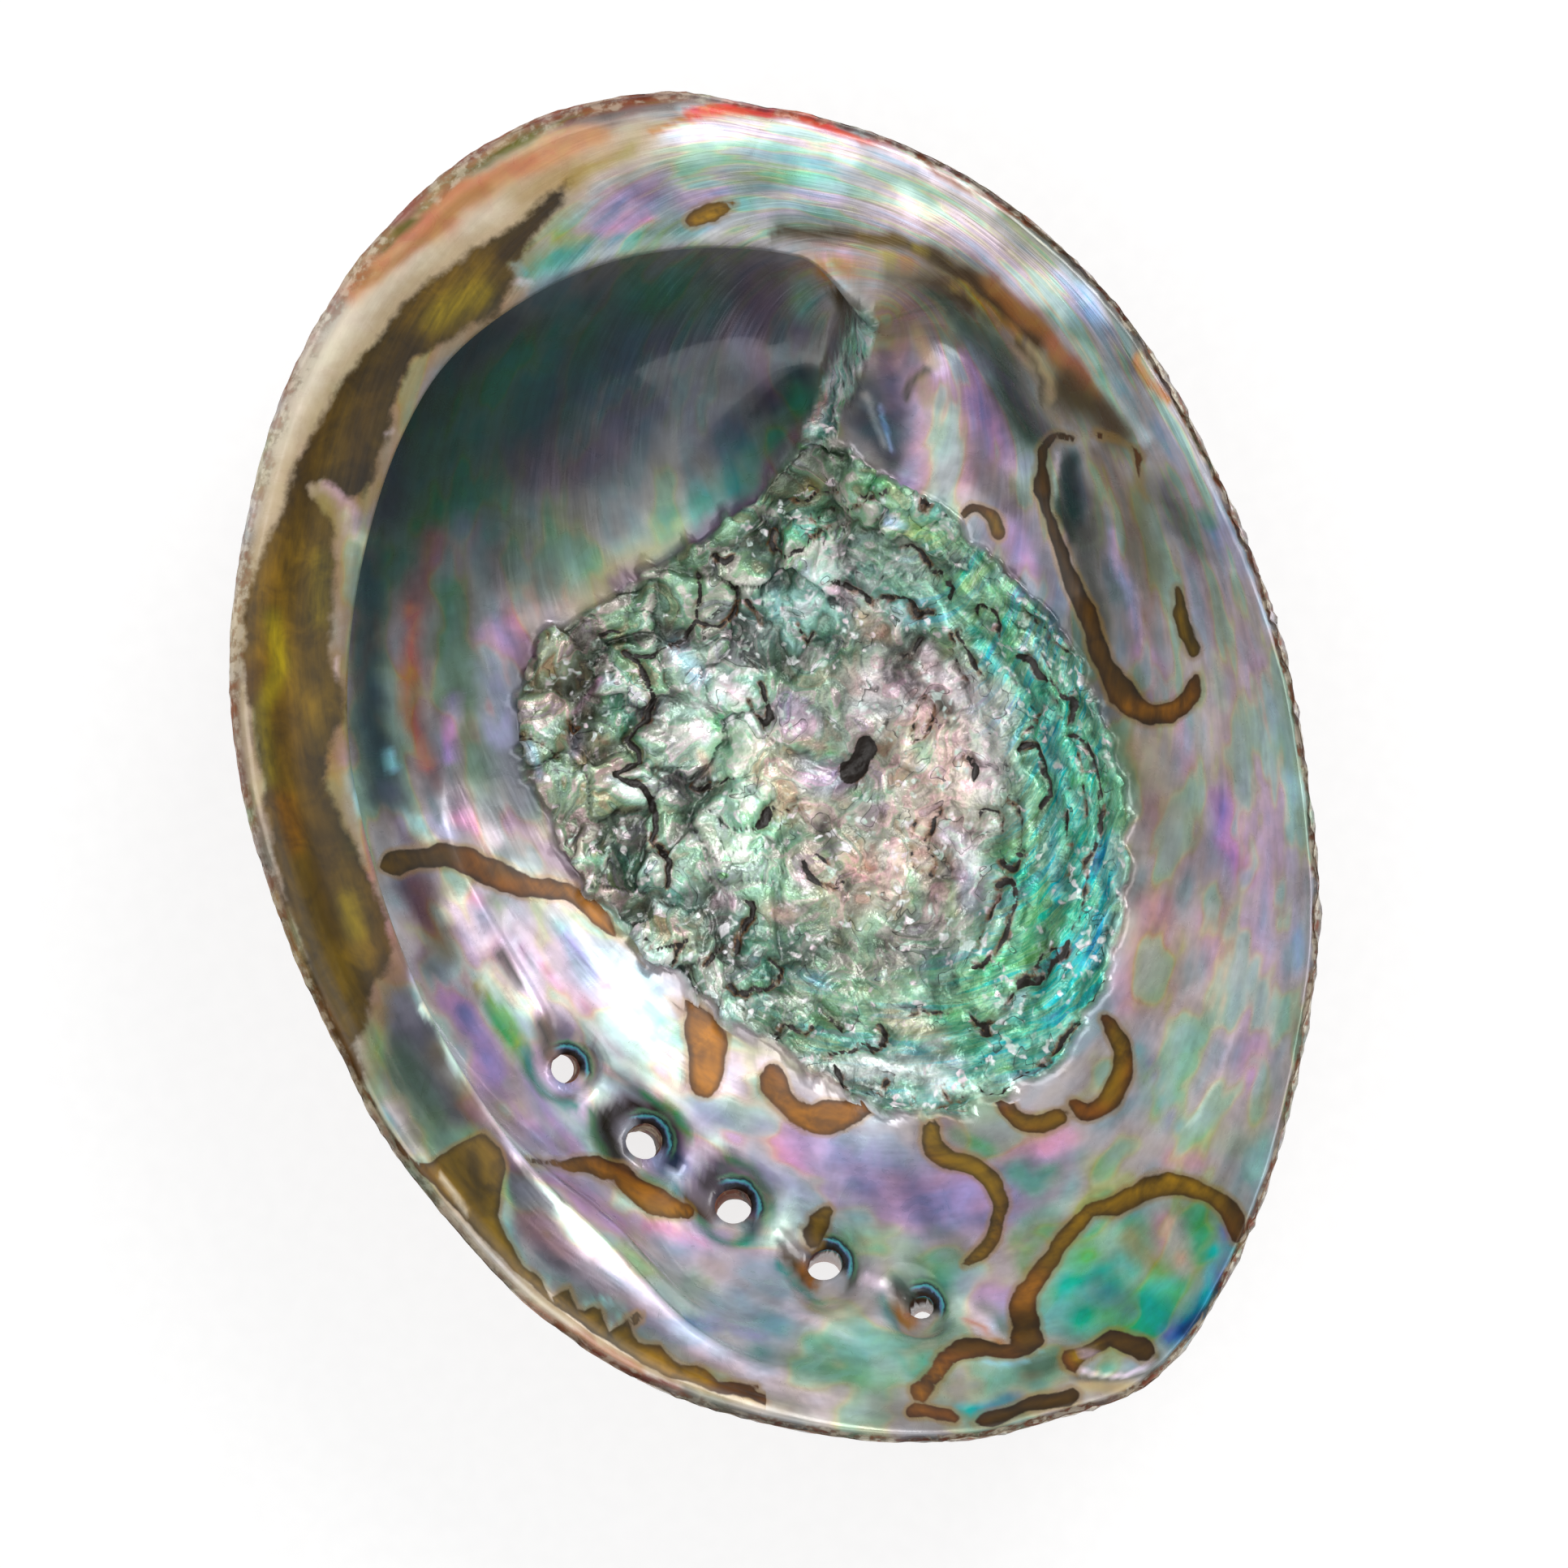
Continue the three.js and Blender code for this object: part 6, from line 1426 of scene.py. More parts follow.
def paint(strokes, x, y, base):
    """Linear colour under soft strokes laid one over another, and 0 for nacre to 1 for a plain layer."""
    colour = np.broadcast_to([*linear(base), 0], x.shape + (4,)).copy()
    for name, width, strength, points in strokes:
        cover = strength * np.exp(-((distance_to(points, x, y) / width) ** 2.6))
        colour += cover[..., None] * (np.array([*linear(name), name in PLAIN]) - colour)
    return colour


def rounded(points):
    """A line with its corners cut twice."""
    line = np.array(points, dtype=float)
    for _ in range(2):
        cut = np.stack([0.75 * line[:-1] + 0.25 * line[1:], 0.25 * line[:-1] + 0.75 * line[1:]], axis=1)
        line = np.vstack([line[:1], cut.reshape(-1, 2), line[-1:]])
    return line


def band_edge(bands, x, y):
    """Distance to the nearest band's edge, below 0 inside the band."""
    edge = np.full_like(x, FAR)
    for start, end, corners in bands:
        points = rounded(corners)
        pieces = len(points) - 1
        for i in range(pieces):
            share, away = nearest_on(points[i], points[i + 1], x, y)
            edge = np.minimum(edge, away - 0.5 * mix(start, end, (i + share) / pieces))
    return edge


def field_edge(points, x, y):
    """Distance to the edge of a closed outline, below 0 inside it."""
    inside = np.zeros(x.shape, dtype=bool)
    for (ax, ay), (bx, by) in zip(points, points[1:] + points[:1]):
        crossing = ax + (y - ay) * (bx - ax) / (by - ay or 1e-9)
        inside ^= ((ay > y) != (by > y)) & (x < crossing)
    away = distance_to(points + points[:1], x, y)
    return np.where(inside, -away, away)


def horn_edge(x, y, scar, on_shelf):
    """Distance to the edge of the horn that shows through the nacre, below 0 inside it."""
    bent_x, bent_y = bent(x, y, 0.3, 3.4, 3, seed=53.0)
    ragged = 0.5 * grain(x, y, 4.5, 3, seed=55.0)
    bowl = band_edge(BOWL_BANDS, bent_x, bent_y) + FAR * scar + ragged
    shelf = band_edge(SHELF_BANDS, bent_x, bent_y) + ragged
    shelf = np.minimum(shelf, SOFT_FIELD * field_edge(HORN_FIELD, bent_x, bent_y))
    shelf = np.minimum(shelf, field_edge(JAGGED_FIELD, bent_x, bent_y))
    return np.where(on_shelf > 0.5, shelf, bowl)


def painted_tint(x, y, scar, on_shelf):
    """The painted colour of the inside, with the painted shade and highlights in its strokes, and how
    plain it is.
    """
    drift_x, drift_y = bent(x, y, 0.9, 6, 3, seed=51.0)
    bowl = paint(BOWL_STROKES + SPIRE_STROKES, drift_x, drift_y, "silver")
    shelf = paint(SHELF_STROKES + SPIRE_STROKES, drift_x, drift_y, "silver")
    tint = mix(bowl, shelf, on_shelf[..., None])
    return mix(tint, paint(SCAR_STROKES, drift_x, drift_y, "sage"), scar[..., None])


def hole_halo(x, y):
    """Distance beyond the nearest breathing hole's edge, and 1 on its upper right to -1 opposite."""
    halo = np.full_like(x, FAR)
    side = np.zeros_like(x)
    for (hole_x, hole_y), radius in OPEN_HOLES:
        away = np.hypot(x - hole_x, y - hole_y)
        nearer = away - radius < halo
        halo = np.where(nearer, away - radius, halo)
        slant = (x - hole_x + y - hole_y) / math.sqrt(2)
        side = np.where(nearer, slant / np.maximum(away, 0.1), side)
    return halo, side


def inside_look(degrees, x, y, place):
    """Fine relief of the inside, and what its finish follows, each with the value for the back."""
    scar = scar_cover(x, y, place)
    flaky = flaky_cover(x, y, place)
    relief, crease, pad = scar_relief(x, y, degrees, place)
    cracks, crack_edge = crack_depths(x, y)
    offset = inside_relief(x, y, place, scar, flaky, relief - cracks)
    scar = np.maximum(scar, flaky)
    on_shelf = smooth_step(*SHELF_START, place) * recess_share(degrees)
    halo, halo_side = hole_halo(x, y)
    return offset, {
        "horn": (horn_edge(x, y, scar, on_shelf), FAR),
        "crack": (np.where(scar > 0.5, crack_edge, FAR), FAR),
        "halo": (np.maximum(halo, FAR * on_shelf), FAR),
        "halo_side": (halo_side, 0),
        "crease": (crease * scar, 0),
        "scar": (scar, 0),
        "shelf": (on_shelf, 0),
        "terrace": (ledge_share(degrees) * smooth_step(*TERRACE_START, place), 0),
        # tone is the scar's relief height, which the finish uses for painted shade in hollows and painted
        # highlight on rises
        "tone": (np.clip(2 * relief, -1, 1) * scar, 0),
        "pad": (pad, 0),
        "tint": (painted_tint(x, y, scar, on_shelf), [*linear("rust"), 1]),
        "horn_tint": (paint(HORN_STROKES, x, y, "chestnut"), [*linear("rust"), 1]),
    }


def shell_surface():
    """Places of the whole skin in plan millimetres, and what its finish follows, as grids."""
    degrees = np.linspace(0, 360, COLUMNS + 1)
    inside_x, inside_y, inside_z, place = inside_faces(degrees)
    back_x, back_y, back_z, share = back_faces(degrees)
    x = np.vstack([inside_x, back_x])
    y = np.vstack([inside_y, back_y])
    z = np.vstack([inside_z, back_z])

    inner, inside_finish = inside_look(degrees, inside_x, inside_y, place)
    offset = np.vstack([inner, back_relief(back_x, back_y, share)])
    rim = np.vstack([smooth_step(*RIM_START, place), smooth_step(*BACK_RIM, share)])
    offset -= rim_chips(x, y, degrees, rim)
    offset[0] = offset[0].mean()
    offset[-1] = 0
    places = np.stack([x, y, z], axis=-1) + offset[..., None] * normals_of(x, y, z)
    places[..., 2] = np.maximum(places[..., 2], 0)

    finish = {"growth": growth_of(x, y), "rim": rim}
    for name, (values, on_back) in inside_finish.items():
        back = np.broadcast_to(np.array(on_back, float), back_x.shape + values.shape[2:])
        finish[name] = np.concatenate([values, back])
    columns = thinned_columns(x, y)
    for grid in (places, *finish.values()):
        wide = columns.reshape(columns.shape + (1,) * (grid.ndim - 2))
        grid[:] = np.take_along_axis(grid, wide, axis=1)
    return places, finish, len(inside_x)


def thinned_columns(x, y):
    """The column that each point of the grid is moved to: towards the poles, several share one."""
    reach = np.hypot(x - PLAN_CENTRE[0], y - PLAN_CENTRE[1]).mean(axis=1)
    wanted = FACE_WIDTH * COLUMNS / (2 * math.pi * np.maximum(reach, 0.1))
    step = 2 ** np.floor(np.log2(np.clip(wanted, 1, 64))).astype(int)
    column = np.arange(COLUMNS + 1)
    return column // step[:, None] * step[:, None]


class RowFrame:
    """Turns plan millimetres into metres of the row's frame, over the CAD solid."""

    def __init__(self, places):
        self.turn = Matrix.Rotation(math.radians(90 - LONG_AXIS), 3, "Z")
        turned = places.reshape(-1, 3) @ np.array(self.turn).T
        middle = (turned.min(0) + turned.max(0)) / 2 * MM
        low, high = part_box("shell")
        self.shift = Vector(((low.x + high.x) / 2 - middle[0], (low.y + high.y) / 2 - middle[1], low.z))

    def grid(self, places):
        """A grid of plan millimetres as a list of places in the row's frame."""
        return places.reshape(-1, 3) @ np.array(self.turn).T * MM + np.array(self.shift)

    def plan(self, points):
        """Places in the row's frame as plan millimetres."""
        return (np.array(points) - np.array(self.shift)) @ np.array(self.turn) / MM

    def point(self, x, y, z):
        """One place in plan millimetres, in the row's frame."""
        return self.turn @ Vector((x, y, z)) * MM + self.shift


def hole_ends(places, inside, x, y):
    """Where a breathing hole starts on the inside and where it comes out of the back, in plan."""

    def height(grid, at_x, at_y):
        away = (grid[..., 0] - at_x) ** 2 + (grid[..., 1] - at_y) ** 2
        return grid[..., 2].ravel()[np.argmin(away)]

    hollow = places[: sum(INSIDE_RINGS[:FLOOR_SPANS])]
    back = places[inside:]
    slope_x = (height(back, x + 2, y) - height(back, x - 2, y)) / 4
    slope_y = (height(back, x, y + 2) - height(back, x, y - 2)) / 4
    direction = Vector((slope_x, slope_y, -1)).normalized() + Vector((0, 0, -1))
    direction.normalize()
    start = Vector((x, y, height(hollow, x, y)))
    end = start.copy()
    while end.z > height(back, end.x, end.y):
        end += direction * BORE_STEP
    return start, end


def bore(bm, start, end, radius):
    """Cuts a round hole through both faces of the wall, and joins their edges."""
    axis = (end - start).normalized()
    before = -BORE_OVERSHOOT * MM
    beyond = (end - start).length + BORE_OVERSHOOT * MM

    def off_axis(vert):
        offset = vert.co - start
        along = offset.dot(axis)
        if not before < along < beyond:
            return math.inf
        return (offset - axis * along).length

    near = [face for face in bm.faces if off_axis(face.verts[0]) < 2.2 * radius]
    around_hole = {edge for face in near for edge in face.edges}
    bmesh.ops.subdivide_edges(bm, edges=list(around_hole), cuts=1, use_grid_fill=True)
    inside_hole = [face for face in bm.faces if min(off_axis(vert) for vert in face.verts) < radius]
    bmesh.ops.delete(bm, geom=inside_hole, context="FACES")
    rims = [edge for edge in bm.edges if edge.is_boundary]
    for vert in {vert for edge in rims for vert in edge.verts}:
        offset = vert.co - start
        along = offset.dot(axis)
        spoke = offset - axis * along
        vert.co = start + axis * along + spoke.normalized() * radius
    bridge = bmesh.ops.bridge_loops(bm, edges=rims)
    return bridge["faces"]


def whole_skin(places, finish, inside, row):
    """The skin as one closed mesh without holes, with its finish in attributes."""
    rings, columns = places.shape[:2]
    bm = bmesh.new()
    bmesh.ops.create_grid(bm, x_segments=rings - 1, y_segments=columns - 1, size=1)
    bm.verts.ensure_lookup_table()
    placed = row.grid(places.swapaxes(0, 1))
    layers = []
    for name, grid in finish.items():
        kind = bm.verts.layers.float_color if grid.ndim == 3 else bm.verts.layers.float
        values = grid.swapaxes(0, 1).reshape(len(placed), *grid.shape[2:])
        layers.append((kind.new(name), values))
    for i, vert in enumerate(bm.verts):
        vert.co = placed[i]
        for layer, values in layers:
            vert[layer] = values[i]
    for face in bm.faces:
        ring = min(vert.index % rings for vert in face.verts)
        face.material_index = int(ring >= inside - 1)
        face.smooth = True
    bmesh.ops.remove_doubles(bm, verts=bm.verts, dist=WELD * MM)
    bmesh.ops.recalc_face_normals(bm, faces=bm.faces)
    return bm


def renew_halo(bm, row):
    """Measures the holes' halo again, because boring adds and moves vertices."""
    halo, halo_side = bm.verts.layers.float["halo"], bm.verts.layers.float["halo_side"]
    ringed = [vert for vert in bm.verts if vert[halo] < HALO_REACH]
    plan = row.plan([vert.co for vert in ringed])
    for vert, away, side in zip(ringed, *hole_halo(plan[:, 0], plan[:, 1])):
        vert[halo], vert[halo_side] = away, side


def shell_piece():
    """The whole shell as one closed mesh, and its frame."""
    places, finish, inside = shell_surface()
    row = RowFrame(places)
    bm = whole_skin(places, finish, inside, row)
    for (x, y), radius in OPEN_HOLES:
        start, end = hole_ends(places, inside, x, y)
        for face in bore(bm, row.point(*start), row.point(*end), radius * MM):
            face.smooth = True
    bmesh.ops.recalc_face_normals(bm, faces=bm.faces)
    renew_halo(bm, row)
    mesh = bpy.data.meshes.new("abalone_shell")
    bm.to_mesh(mesh)
    bm.free()
    piece = bpy.data.objects.new("abalone_shell", mesh)
    bpy.context.scene.collection.objects.link(piece)
    return piece, row


class Finish:
    """The nodes of one material."""

    def __init__(self, name):
        self.material = bpy.data.materials.new(name)
        self.material.use_nodes = True
        self.tree = self.material.node_tree
        self.surface = self.tree.nodes["Principled BSDF"]
        self.place = self.add("TexCoord").outputs["Object"]

    def add(self, kind, inputs=(), **settings):
        """A node with its settings, and its inputs as values or as other nodes' outputs."""
        node = self.tree.nodes.new("ShaderNode" + kind)
        for name, value in settings.items():
            setattr(node, name, value)
        for name, value in dict(inputs).items():
            self.set(node.inputs[name], value)
        return node

    def set(self, socket, value):
        """Gives a socket another node's output, the name of a colour, or a plain value."""
        if isinstance(value, bpy.types.NodeSocket):
            self.tree.links.new(value, socket)
        elif isinstance(value, str):
            socket.default_value = (*linear(value), 1)
        else:
            socket.default_value = value

    def shade(self, **values):
        """Sets inputs of the surface, by their names with underscores for spaces."""
        for name, value in values.items():
            self.set(self.surface.inputs[name.replace("_", " ")], value)

    def attribute(self, name):
        return self.add("Attribute", attribute_name=name).outputs["Fac"]

    def maths(self, operation, *values, clamp=False):
        return self.add("Math", enumerate(values), operation=operation, use_clamp=clamp).outputs[0]

    def plus(self, first, second):
        return self.maths("ADD", first, second)

    def times(self, first, second):
        return self.maths("MULTIPLY", first, second)

    def larger(self, first, second, clamp=False):
        return self.maths("MAXIMUM", first, second, clamp=clamp)

    def scaled(self, value, low, high, to_low=0.0, to_high=1.0):
        """A value moved from one range to another and held there, with soft ends."""
        inputs = {"Value": value, "From Min": low, "From Max": high, "To Min": to_low, "To Max": to_high}
        return self.add("MapRange", inputs, interpolation_type="SMOOTHSTEP").outputs[0]

    def noise(self, vector, size, detail=2.0, roughness=0.5, distortion=0.0):
        """Noise of about 0.2 to 0.8 with features of the given size in millimetres."""
        inputs = {"Vector": vector, "Scale": 1 / (size * MM), "Detail": detail, "Roughness": roughness,
                  "Distortion": distortion}
        return self.add("TexNoise", inputs).outputs["Fac"]

    def between(self, share, low, high):
        """A share of 0 to 1 as a value between two ends."""
        return self.maths("MULTIPLY_ADD", share, high - low, low)

    def blend(self, share, first, second, kind="MIX"):
        node = self.add("Mix", data_type="RGBA", blend_type=kind)
        self.set(node.inputs[0], share)
        self.set(node.inputs[6], first)
        self.set(node.inputs[7], second)
        return node.outputs[2]

    def shifted(self, colour, hue, saturation, value, share=1.0):
        """A colour with its hue turned away from 0.5, and its saturation and value multiplied."""
        inputs = {"Color": colour, "Hue": hue, "Saturation": saturation, "Value": value, "Fac": share}
        return self.add("HueSaturation", inputs).outputs["Color"]

    def ramp(self, value, *stops):
        """A colour ramp through (place, palette name) stops."""
        node = self.add("ValToRGB", {"Fac": value})
        elements = node.color_ramp.elements
        while len(elements) < len(stops):
            elements.new(0.5)
        for element, (place, name) in zip(elements, stops):
            element.position = place
            element.color = (*linear(name), 1)
        return node.outputs["Color"]

    def emboss(self, height, distance, strength):
        """Fine relief in the surface's normal, where a height of 1 stands for the distance."""
        bump = self.add("Bump", {"Height": height, "Distance": distance, "Strength": strength})
        self.shade(Normal=bump.outputs["Normal"])


class Nacre(Finish):
    """Mother of pearl with brown horn showing through, and the cracked muscle scar."""

    def __init__(self):
        super().__init__("nacre")
        painted = self.add("Attribute", attribute_name="tint").outputs
        self.tint, self.plain = painted["Color"], painted["Alpha"]
        self.pearly = self.maths("SUBTRACT", 1.0, self.plain)
        self.scar = self.attribute("scar")
        self.growth = self.attribute("growth")
        self.axes = self.add("SeparateXYZ", {"Vector": self.place}).outputs
        # noises that several features share; all but the clouds run from 0 to 1
        self.grit = self.scaled(self.noise(self.place, 1.3, 4, 0.6), 0.3, 0.7)
        self.patches = self.scaled(self.noise(self.place, 4, 3, 0.6, 0.8), 0.3, 0.7)
        self.clouds = self.noise(self.place, 8, 3, 0.6, 0.6)
        self.lines = self.scaled(self.noise(self.drawn_out(2.4, 10), 10, 4, 0.6), 0.3, 0.7)

    def drawn_out(self, width, length):
        """Places pressed together across the growth lines, for marks of a width and a longer length."""
        across = self.times(self.growth, GROWTH_REACH * MM * length / width)
        inputs = {"X": across, "Y": self.axes["X"], "Z": self.axes["Y"]}
        return self.add("CombineXYZ", inputs).outputs[0]

    def painted(self):
        """The painted colours, broken up into iridescent clouds and streaks."""
        opal = self.ramp(self.noise(self.drawn_out(8, 11), 11, 2), (0.34, "teal"), (0.42, "green"),
                         (0.47, "gold"), (0.51, "pink"), (0.58, "lavender"), (0.66, "blue"))
        colour = self.blend(self.times(self.pearly, 0.28), self.tint, opal, "COLOR")
        value = self.plus(self.between(self.lines, -0.13, 0.13),
                          self.between(self.scaled(self.clouds, 0.3, 0.7), 0.8, 1.24))
        value = self.plus(value, self.between(self.grit, -0.06, 0.06))
        hue = self.between(self.patches, 0.475, 0.525)
        return self.shifted(colour, hue, 1.52, value, self.between(self.plain, 1, 0.35))

    def add_rings(self, colour):
        """Interference rings at the upper right of the breathing holes."""
        wavy = self.plus(self.attribute("halo"), self.between(self.grit, -0.12, 0.12))
        rings = self.ramp(self.times(wavy, 0.4), (0.06, "pitch"), (0.24, "navy"), (0.31, "blue"),
                          (0.38, "cyan"), (0.46, "navy"), (0.6, "green"))
        side = self.scaled(self.attribute("halo_side"), 0.1, 0.7)
        return self.blend(self.times(self.scaled(wavy, 1.9, 1.3), side), colour, rings)

    def add_scar(self, colour):
        """The scar: pads in every nacre colour and blue-green terraces on its right side, with painted
        shade in its hollows, painted highlights on its rises and layer tops, and small painted bright
        specks.
        """
        pad, tone, terrace = (self.attribute(name) for name in ("pad", "tone", "terrace"))
        swirl = self.noise(self.place, 5, 2, 0.5, 0.8)
        self.layers = self.maths("FRACT", self.times(swirl, 5.0))
        flecks = self.ramp(self.plus(swirl, self.between(pad, -0.1, 0.1)), (0.3, "dark_green"),
                           (0.36, "taupe"), (0.41, "sea_green"), (0.46, "silver_teal"), (0.5, "mint"),
                           (0.54, "blush"), (0.59, "silver"), (0.65, "lavender"), (0.72, "green"))
        streaks = self.noise(self.drawn_out(1.5, 12), 12, 3, 0.6)
        terraces = self.ramp(streaks, (0.3, "blue"), (0.4, "cyan"), (0.46, "mint"), (0.52, "teal"),
                             (0.58, "mint"), (0.64, "green"), (0.72, "ice"))
        mixed = self.blend(terrace, flecks, terraces)
        mixed = self.blend(self.between(terrace, 0.3, 0.5), self.tint, mixed)
        # painted shade and highlight from the relief: hollows darker, rises and the tops of layers
        # lighter; grit and pads add random tone
        random_tone_and_painted_relief_shade = self.plus(self.between(self.grit, 0.76, 1.1), self.times(tone, 0.6))
        random_tone_and_painted_relief_shade = self.times(random_tone_and_painted_relief_shade, self.between(pad, 0.75, 1.15))
        random_tone_and_painted_relief_shade = self.times(random_tone_and_painted_relief_shade, self.between(self.layers, 0.85, 1.15))
        scar_colour_with_painted_relief_shade = self.shifted(mixed, self.between(self.patches, 0.46, 0.53), 1.5, random_tone_and_painted_relief_shade)
        # small painted bright specks of ice, blush, mint and pearl
        painted_speck_mask = self.scaled(self.noise(self.place, 1.2, 1, 0.5), 0.54, 0.64)
        painted_speck_mask = self.times(painted_speck_mask, self.scaled(self.patches, 0.4, 0.8, 0, 0.85))
        painted_speck_colours = self.ramp(self.clouds, (0.4, "ice"), (0.47, "blush"), (0.53, "mint"), (0.6, "pearl"))
        return self.blend(self.scar, colour, self.blend(painted_speck_mask, scar_colour_with_painted_relief_shade, painted_speck_colours))

    def add_seams(self, colour):
        """Dark lines between the scar's pads, and painted shade at the foot of each of its layers."""
        seam = self.scaled(self.attribute("crease"), 0.3, 0.9, 0, 0.8)
        seam = self.times(seam, self.scaled(self.patches, 0.2, 0.7, 0.25, 1))
        # painted shade at the foot of each layer's step
        foot = self.scaled(self.layers, 0.09, 0.01)
        foot = self.times(foot, self.scaled(self.patches, 0.3, 0.7, 0, 0.8))
        return self.blend(self.larger(seam, self.times(foot, self.scar)), colour, "smoke", "MULTIPLY")

    def add_horn(self, colour):
        """Horn with a yellowish border, and darker and lighter along its growth."""
        edge = self.plus(self.attribute("horn"), self.between(self.grit, -0.05, 0.05))
        colour = self.blend(self.scaled(edge, 0.7, 0.1, 0, 0.5), colour, "honey")
        self.horn = self.scaled(edge, 0.12, -0.12)
        depth = self.plus(self.between(self.patches, 0.6, 1.15), self.between(self.lines, -0.25, 0.25))
        depth = self.times(depth, self.scaled(edge, -0.9, 0, 1.1, 0.4))
        tint = self.add("Attribute", attribute_name="horn_tint").outputs["Color"]
        return self.blend(self.horn, colour, self.shifted(tint, 0.5, 1.3, depth))

    def add_cracks(self, colour):
        """Cracks with an amber edge here and there."""
        edge = self.plus(self.attribute("crack"), self.between(self.grit, -0.1, 0.1))
        glow = self.scaled(edge, 0.4, 0, 0, 0.85)
        glow = self.times(glow, self.scaled(self.patches, 0.4, 0.8, 0.2, 1))
        self.crack = self.scaled(edge, 0.08, -0.06)
        return self.blend(self.crack, self.blend(glow, colour, "chestnut"), "pitch")

    def add_worn_rim(self, colour):
        """The rim's worn edge, less worn on the shelf."""
        frayed = self.plus(self.attribute("rim"), self.between(self.patches, -0.4, 0.4))
        shelf = self.between(self.attribute("shelf"), 1, 0.5)
        self.worn = self.times(self.scaled(frayed, 0.5, 1, 0, 0.9), shelf)
        crust = self.ramp(self.grit, (0.2, "rust"), (0.45, "taupe"), (0.75, "bone"))
        return self.blend(self.worn, colour, crust)

    def polish(self):
        """Glossy nacre, dull where horn, cracks and the worn rim are."""
        dull = self.larger(self.larger(self.horn, self.crack), self.worn, clamp=True)
        roughness = self.larger(self.between(self.patches, 0.22, 0.4), self.between(dull, 0, 0.5))
        self.shade(Metallic=self.times(self.pearly, self.between(dull, 0.3, 0)), Roughness=roughness,
                   Coat_Weight=self.between(dull, 0.4, 0.05), Coat_Roughness=0.1)

    def add_relief(self):
        """Crumbs and layers on the scar, and faint growth lines everywhere."""
        crumbs = self.plus(self.times(self.grit, 0.1), self.times(self.layers, 0.28))
        threads = self.times(self.noise(self.drawn_out(1.5, 8), 8, 2), 0.06)
        self.emboss(self.plus(self.times(crumbs, self.scar), threads), MM, 0.9)


def nacre_finish():
    """The inside's nacre, its layers laid one over another."""
    nacre = Nacre()
    colour = nacre.painted()
    for layer in (nacre.add_rings, nacre.add_scar, nacre.add_seams, nacre.add_horn, nacre.add_cracks,
                  nacre.add_worn_rim):
        colour = layer(colour)
    nacre.shade(Base_Color=colour)
    nacre.polish()
    nacre.add_relief()
    return nacre.material


def crust_finish():
    """The weathered red-brown back, with pale growth bands and remains of what grew on it."""
    crust = Finish("weathered_back")
    waver = crust.scaled(crust.noise(crust.place, 12, 4, 0.6), 0.3, 0.7, -0.06, 0.06)
    growth = crust.plus(crust.attribute("growth"), waver)
    bands = crust.maths("FRACT", crust.times(growth, 6.0))
    colour = crust.ramp(bands, (0, "rust"), (0.3, "brick"), (0.5, "rust"), (0.62, "sand"), (0.7, "brick"),
                        (0.9, "smoke"), (1, "rust"))
    threads = crust.maths("FRACT", crust.times(growth, 55.0))
    colour = crust.blend(crust.scaled(threads, 0.5, 1, 0, 0.35), colour, "sand")
    mottled = crust.scaled(crust.noise(crust.place, 3.5, 5, 0.65), 0.45, 0.7, 0, 0.7)
    colour = crust.blend(mottled, colour, "grey")
    chalk = crust.scaled(crust.noise(crust.place, 8, 5, 0.7), 0.56, 0.64, 0, 0.85)
    colour = crust.blend(chalk, colour, "cream")
    flaked = crust.noise(crust.place, 3, 5, 0.65)
    worn = crust.ramp(flaked, (0.34, "brick"), (0.42, "rust"), (0.48, "taupe"), (0.54, "sand"),
                      (0.64, "bone"))
    edge = crust.plus(crust.attribute("rim"), crust.between(flaked, -0.5, 0.5))
    colour = crust.blend(crust.scaled(edge, 0.6, 1.1, 0, 0.8), colour, worn)
    crust.shade(Base_Color=colour, Roughness=0.75)
    rough = crust.plus(crust.noise(crust.place, 0.9, 5, 0.7), crust.times(chalk, 0.4))
    crust.emboss(rough, 0.5 * MM, 0.8)
    return crust.material


def floor_finish():
    """Pale paper that gives off a little light."""
    paper = Finish("pale_floor")
    grey = paper.scaled(paper.noise(paper.place, 2, 3), 0.3, 0.7, 0.27, 0.29)
    colour = paper.add("CombineColor", {"Red": grey, "Green": grey, "Blue": grey})
    paper.shade(Base_Color=colour.outputs["Color"], Roughness=0.9, Specular_IOR_Level=0,
                Emission_Color=(1, 1, 1, 1), Emission_Strength=FLOOR_GLOW)
    return paper.material


def pale_floor():
    """The floor, which is only there for the picture."""
    bm = bmesh.new()
    bmesh.ops.create_grid(bm, x_segments=1, y_segments=1, size=3)
    mesh = bpy.data.meshes.new("floor")
    bm.to_mesh(mesh)
    bm.free()
    floor = bpy.data.objects.new("floor", mesh)
    bpy.context.scene.collection.objects.link(floor)
    mesh.materials.append(floor_finish())


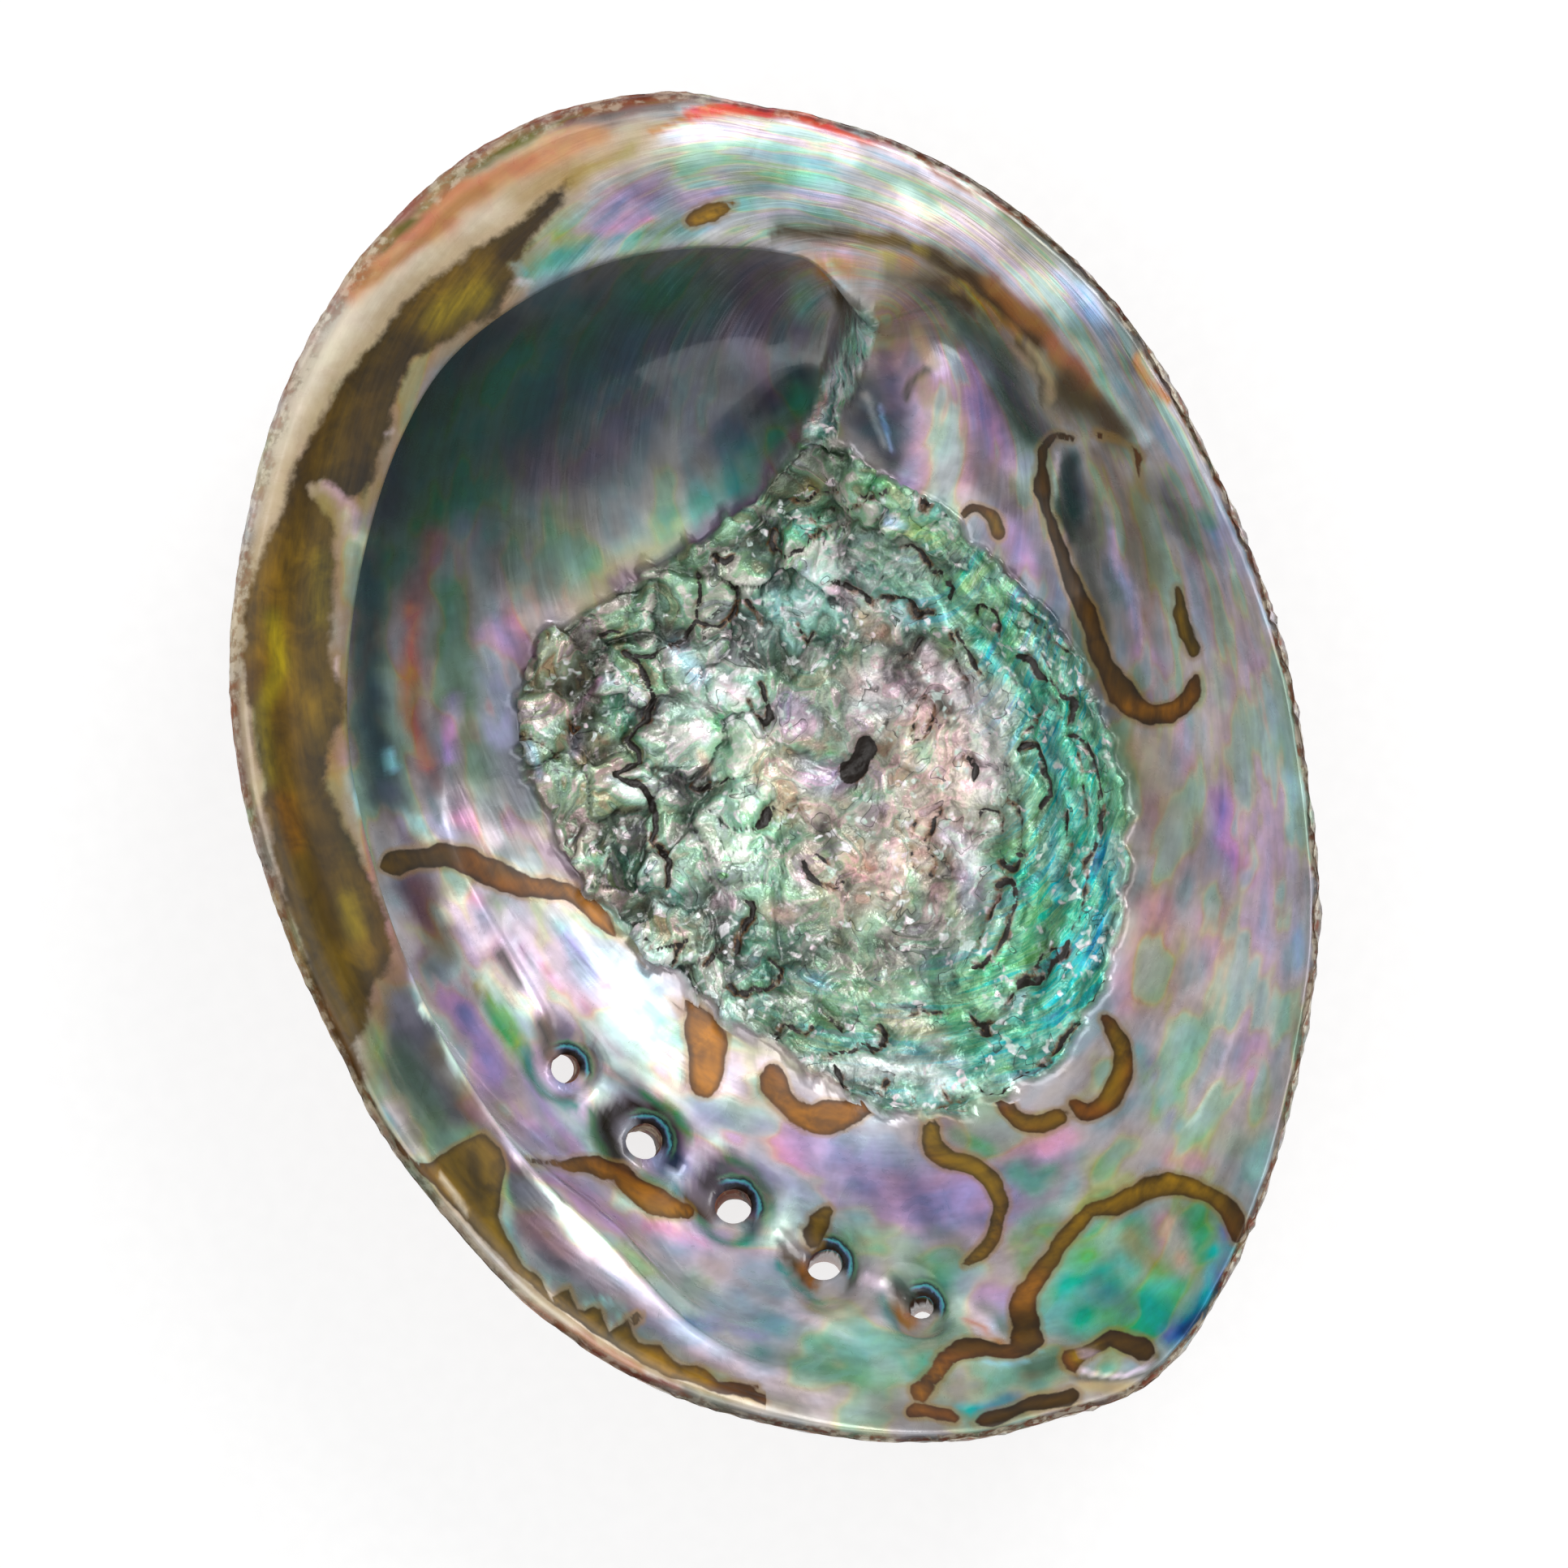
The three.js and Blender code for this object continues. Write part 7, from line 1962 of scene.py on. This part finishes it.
def soft_light(name, row, bearing, rise, distance, width, watts, aim=(0, 0, 25)):
    """A square softbox at a bearing in degrees from the picture's right, and a rise above the floor."""
    light = bpy.data.lights.new(name, "AREA")
    light.shape = "SQUARE"
    light.size = width
    light.energy = watts
    lamp = bpy.data.objects.new(name, light)
    bpy.context.scene.collection.objects.link(lamp)
    around_aim = Vector((math.cos(math.radians(bearing)), math.sin(math.radians(bearing)), 0))
    offset = around_aim * math.cos(math.radians(rise)) + Vector((0, 0, math.sin(math.radians(rise))))
    target = row.point(*aim)
    lamp.location = target + row.turn @ offset * distance
    lamp.rotation_euler = (target - lamp.location).to_track_quat("-Z", "Y").to_euler()


def studio(row):
    """Floor, two softboxes and a room that is brighter overhead."""
    pale_floor()
    soft_light("key_light", row, bearing=60, rise=45, distance=0.9, width=0.5, watts=5.2)
    soft_light("fill_light", row, bearing=215, rise=62, distance=1.4, width=1.2, watts=8)
    world = bpy.data.worlds.new("studio")
    world.use_nodes = True
    nodes, links = world.node_tree.nodes, world.node_tree.links
    split = nodes.new("ShaderNodeSeparateXYZ")
    links.new(nodes.new("ShaderNodeTexCoord").outputs["Generated"], split.inputs[0])
    glow = nodes.new("ShaderNodeMapRange")
    links.new(split.outputs["Z"], glow.inputs["Value"])
    glow.inputs["To Min"].default_value, glow.inputs["To Max"].default_value = SKY_GLOW
    links.new(glow.outputs[0], nodes["Background"].inputs["Strength"])
    nodes["Background"].inputs["Color"].default_value = (1, 1, 1, 1)
    bpy.context.scene.world = world
    bpy.context.scene.view_settings.view_transform = "Standard"


def camera_above(row):
    """The photo's view, straight down, with its top towards the plan's y."""
    data = bpy.data.cameras.new("camera")
    data.sensor_width = 36
    data.lens = data.sensor_width * CAMERA_DISTANCE / VIEW_WIDTH
    camera = bpy.data.objects.new("camera", data)
    bpy.context.scene.collection.objects.link(camera)
    camera.location = row.point(*VIEW_CENTRE, RIM_HEIGHT - 2 + CAMERA_DISTANCE)
    camera.rotation_euler = row.turn.to_euler()
    bpy.context.scene.camera = camera


shell, row = shell_piece()
shell.data.materials.append(nacre_finish())
shell.data.materials.append(crust_finish())
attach(shell, "root")
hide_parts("shell")
studio(row)
camera_above(row)
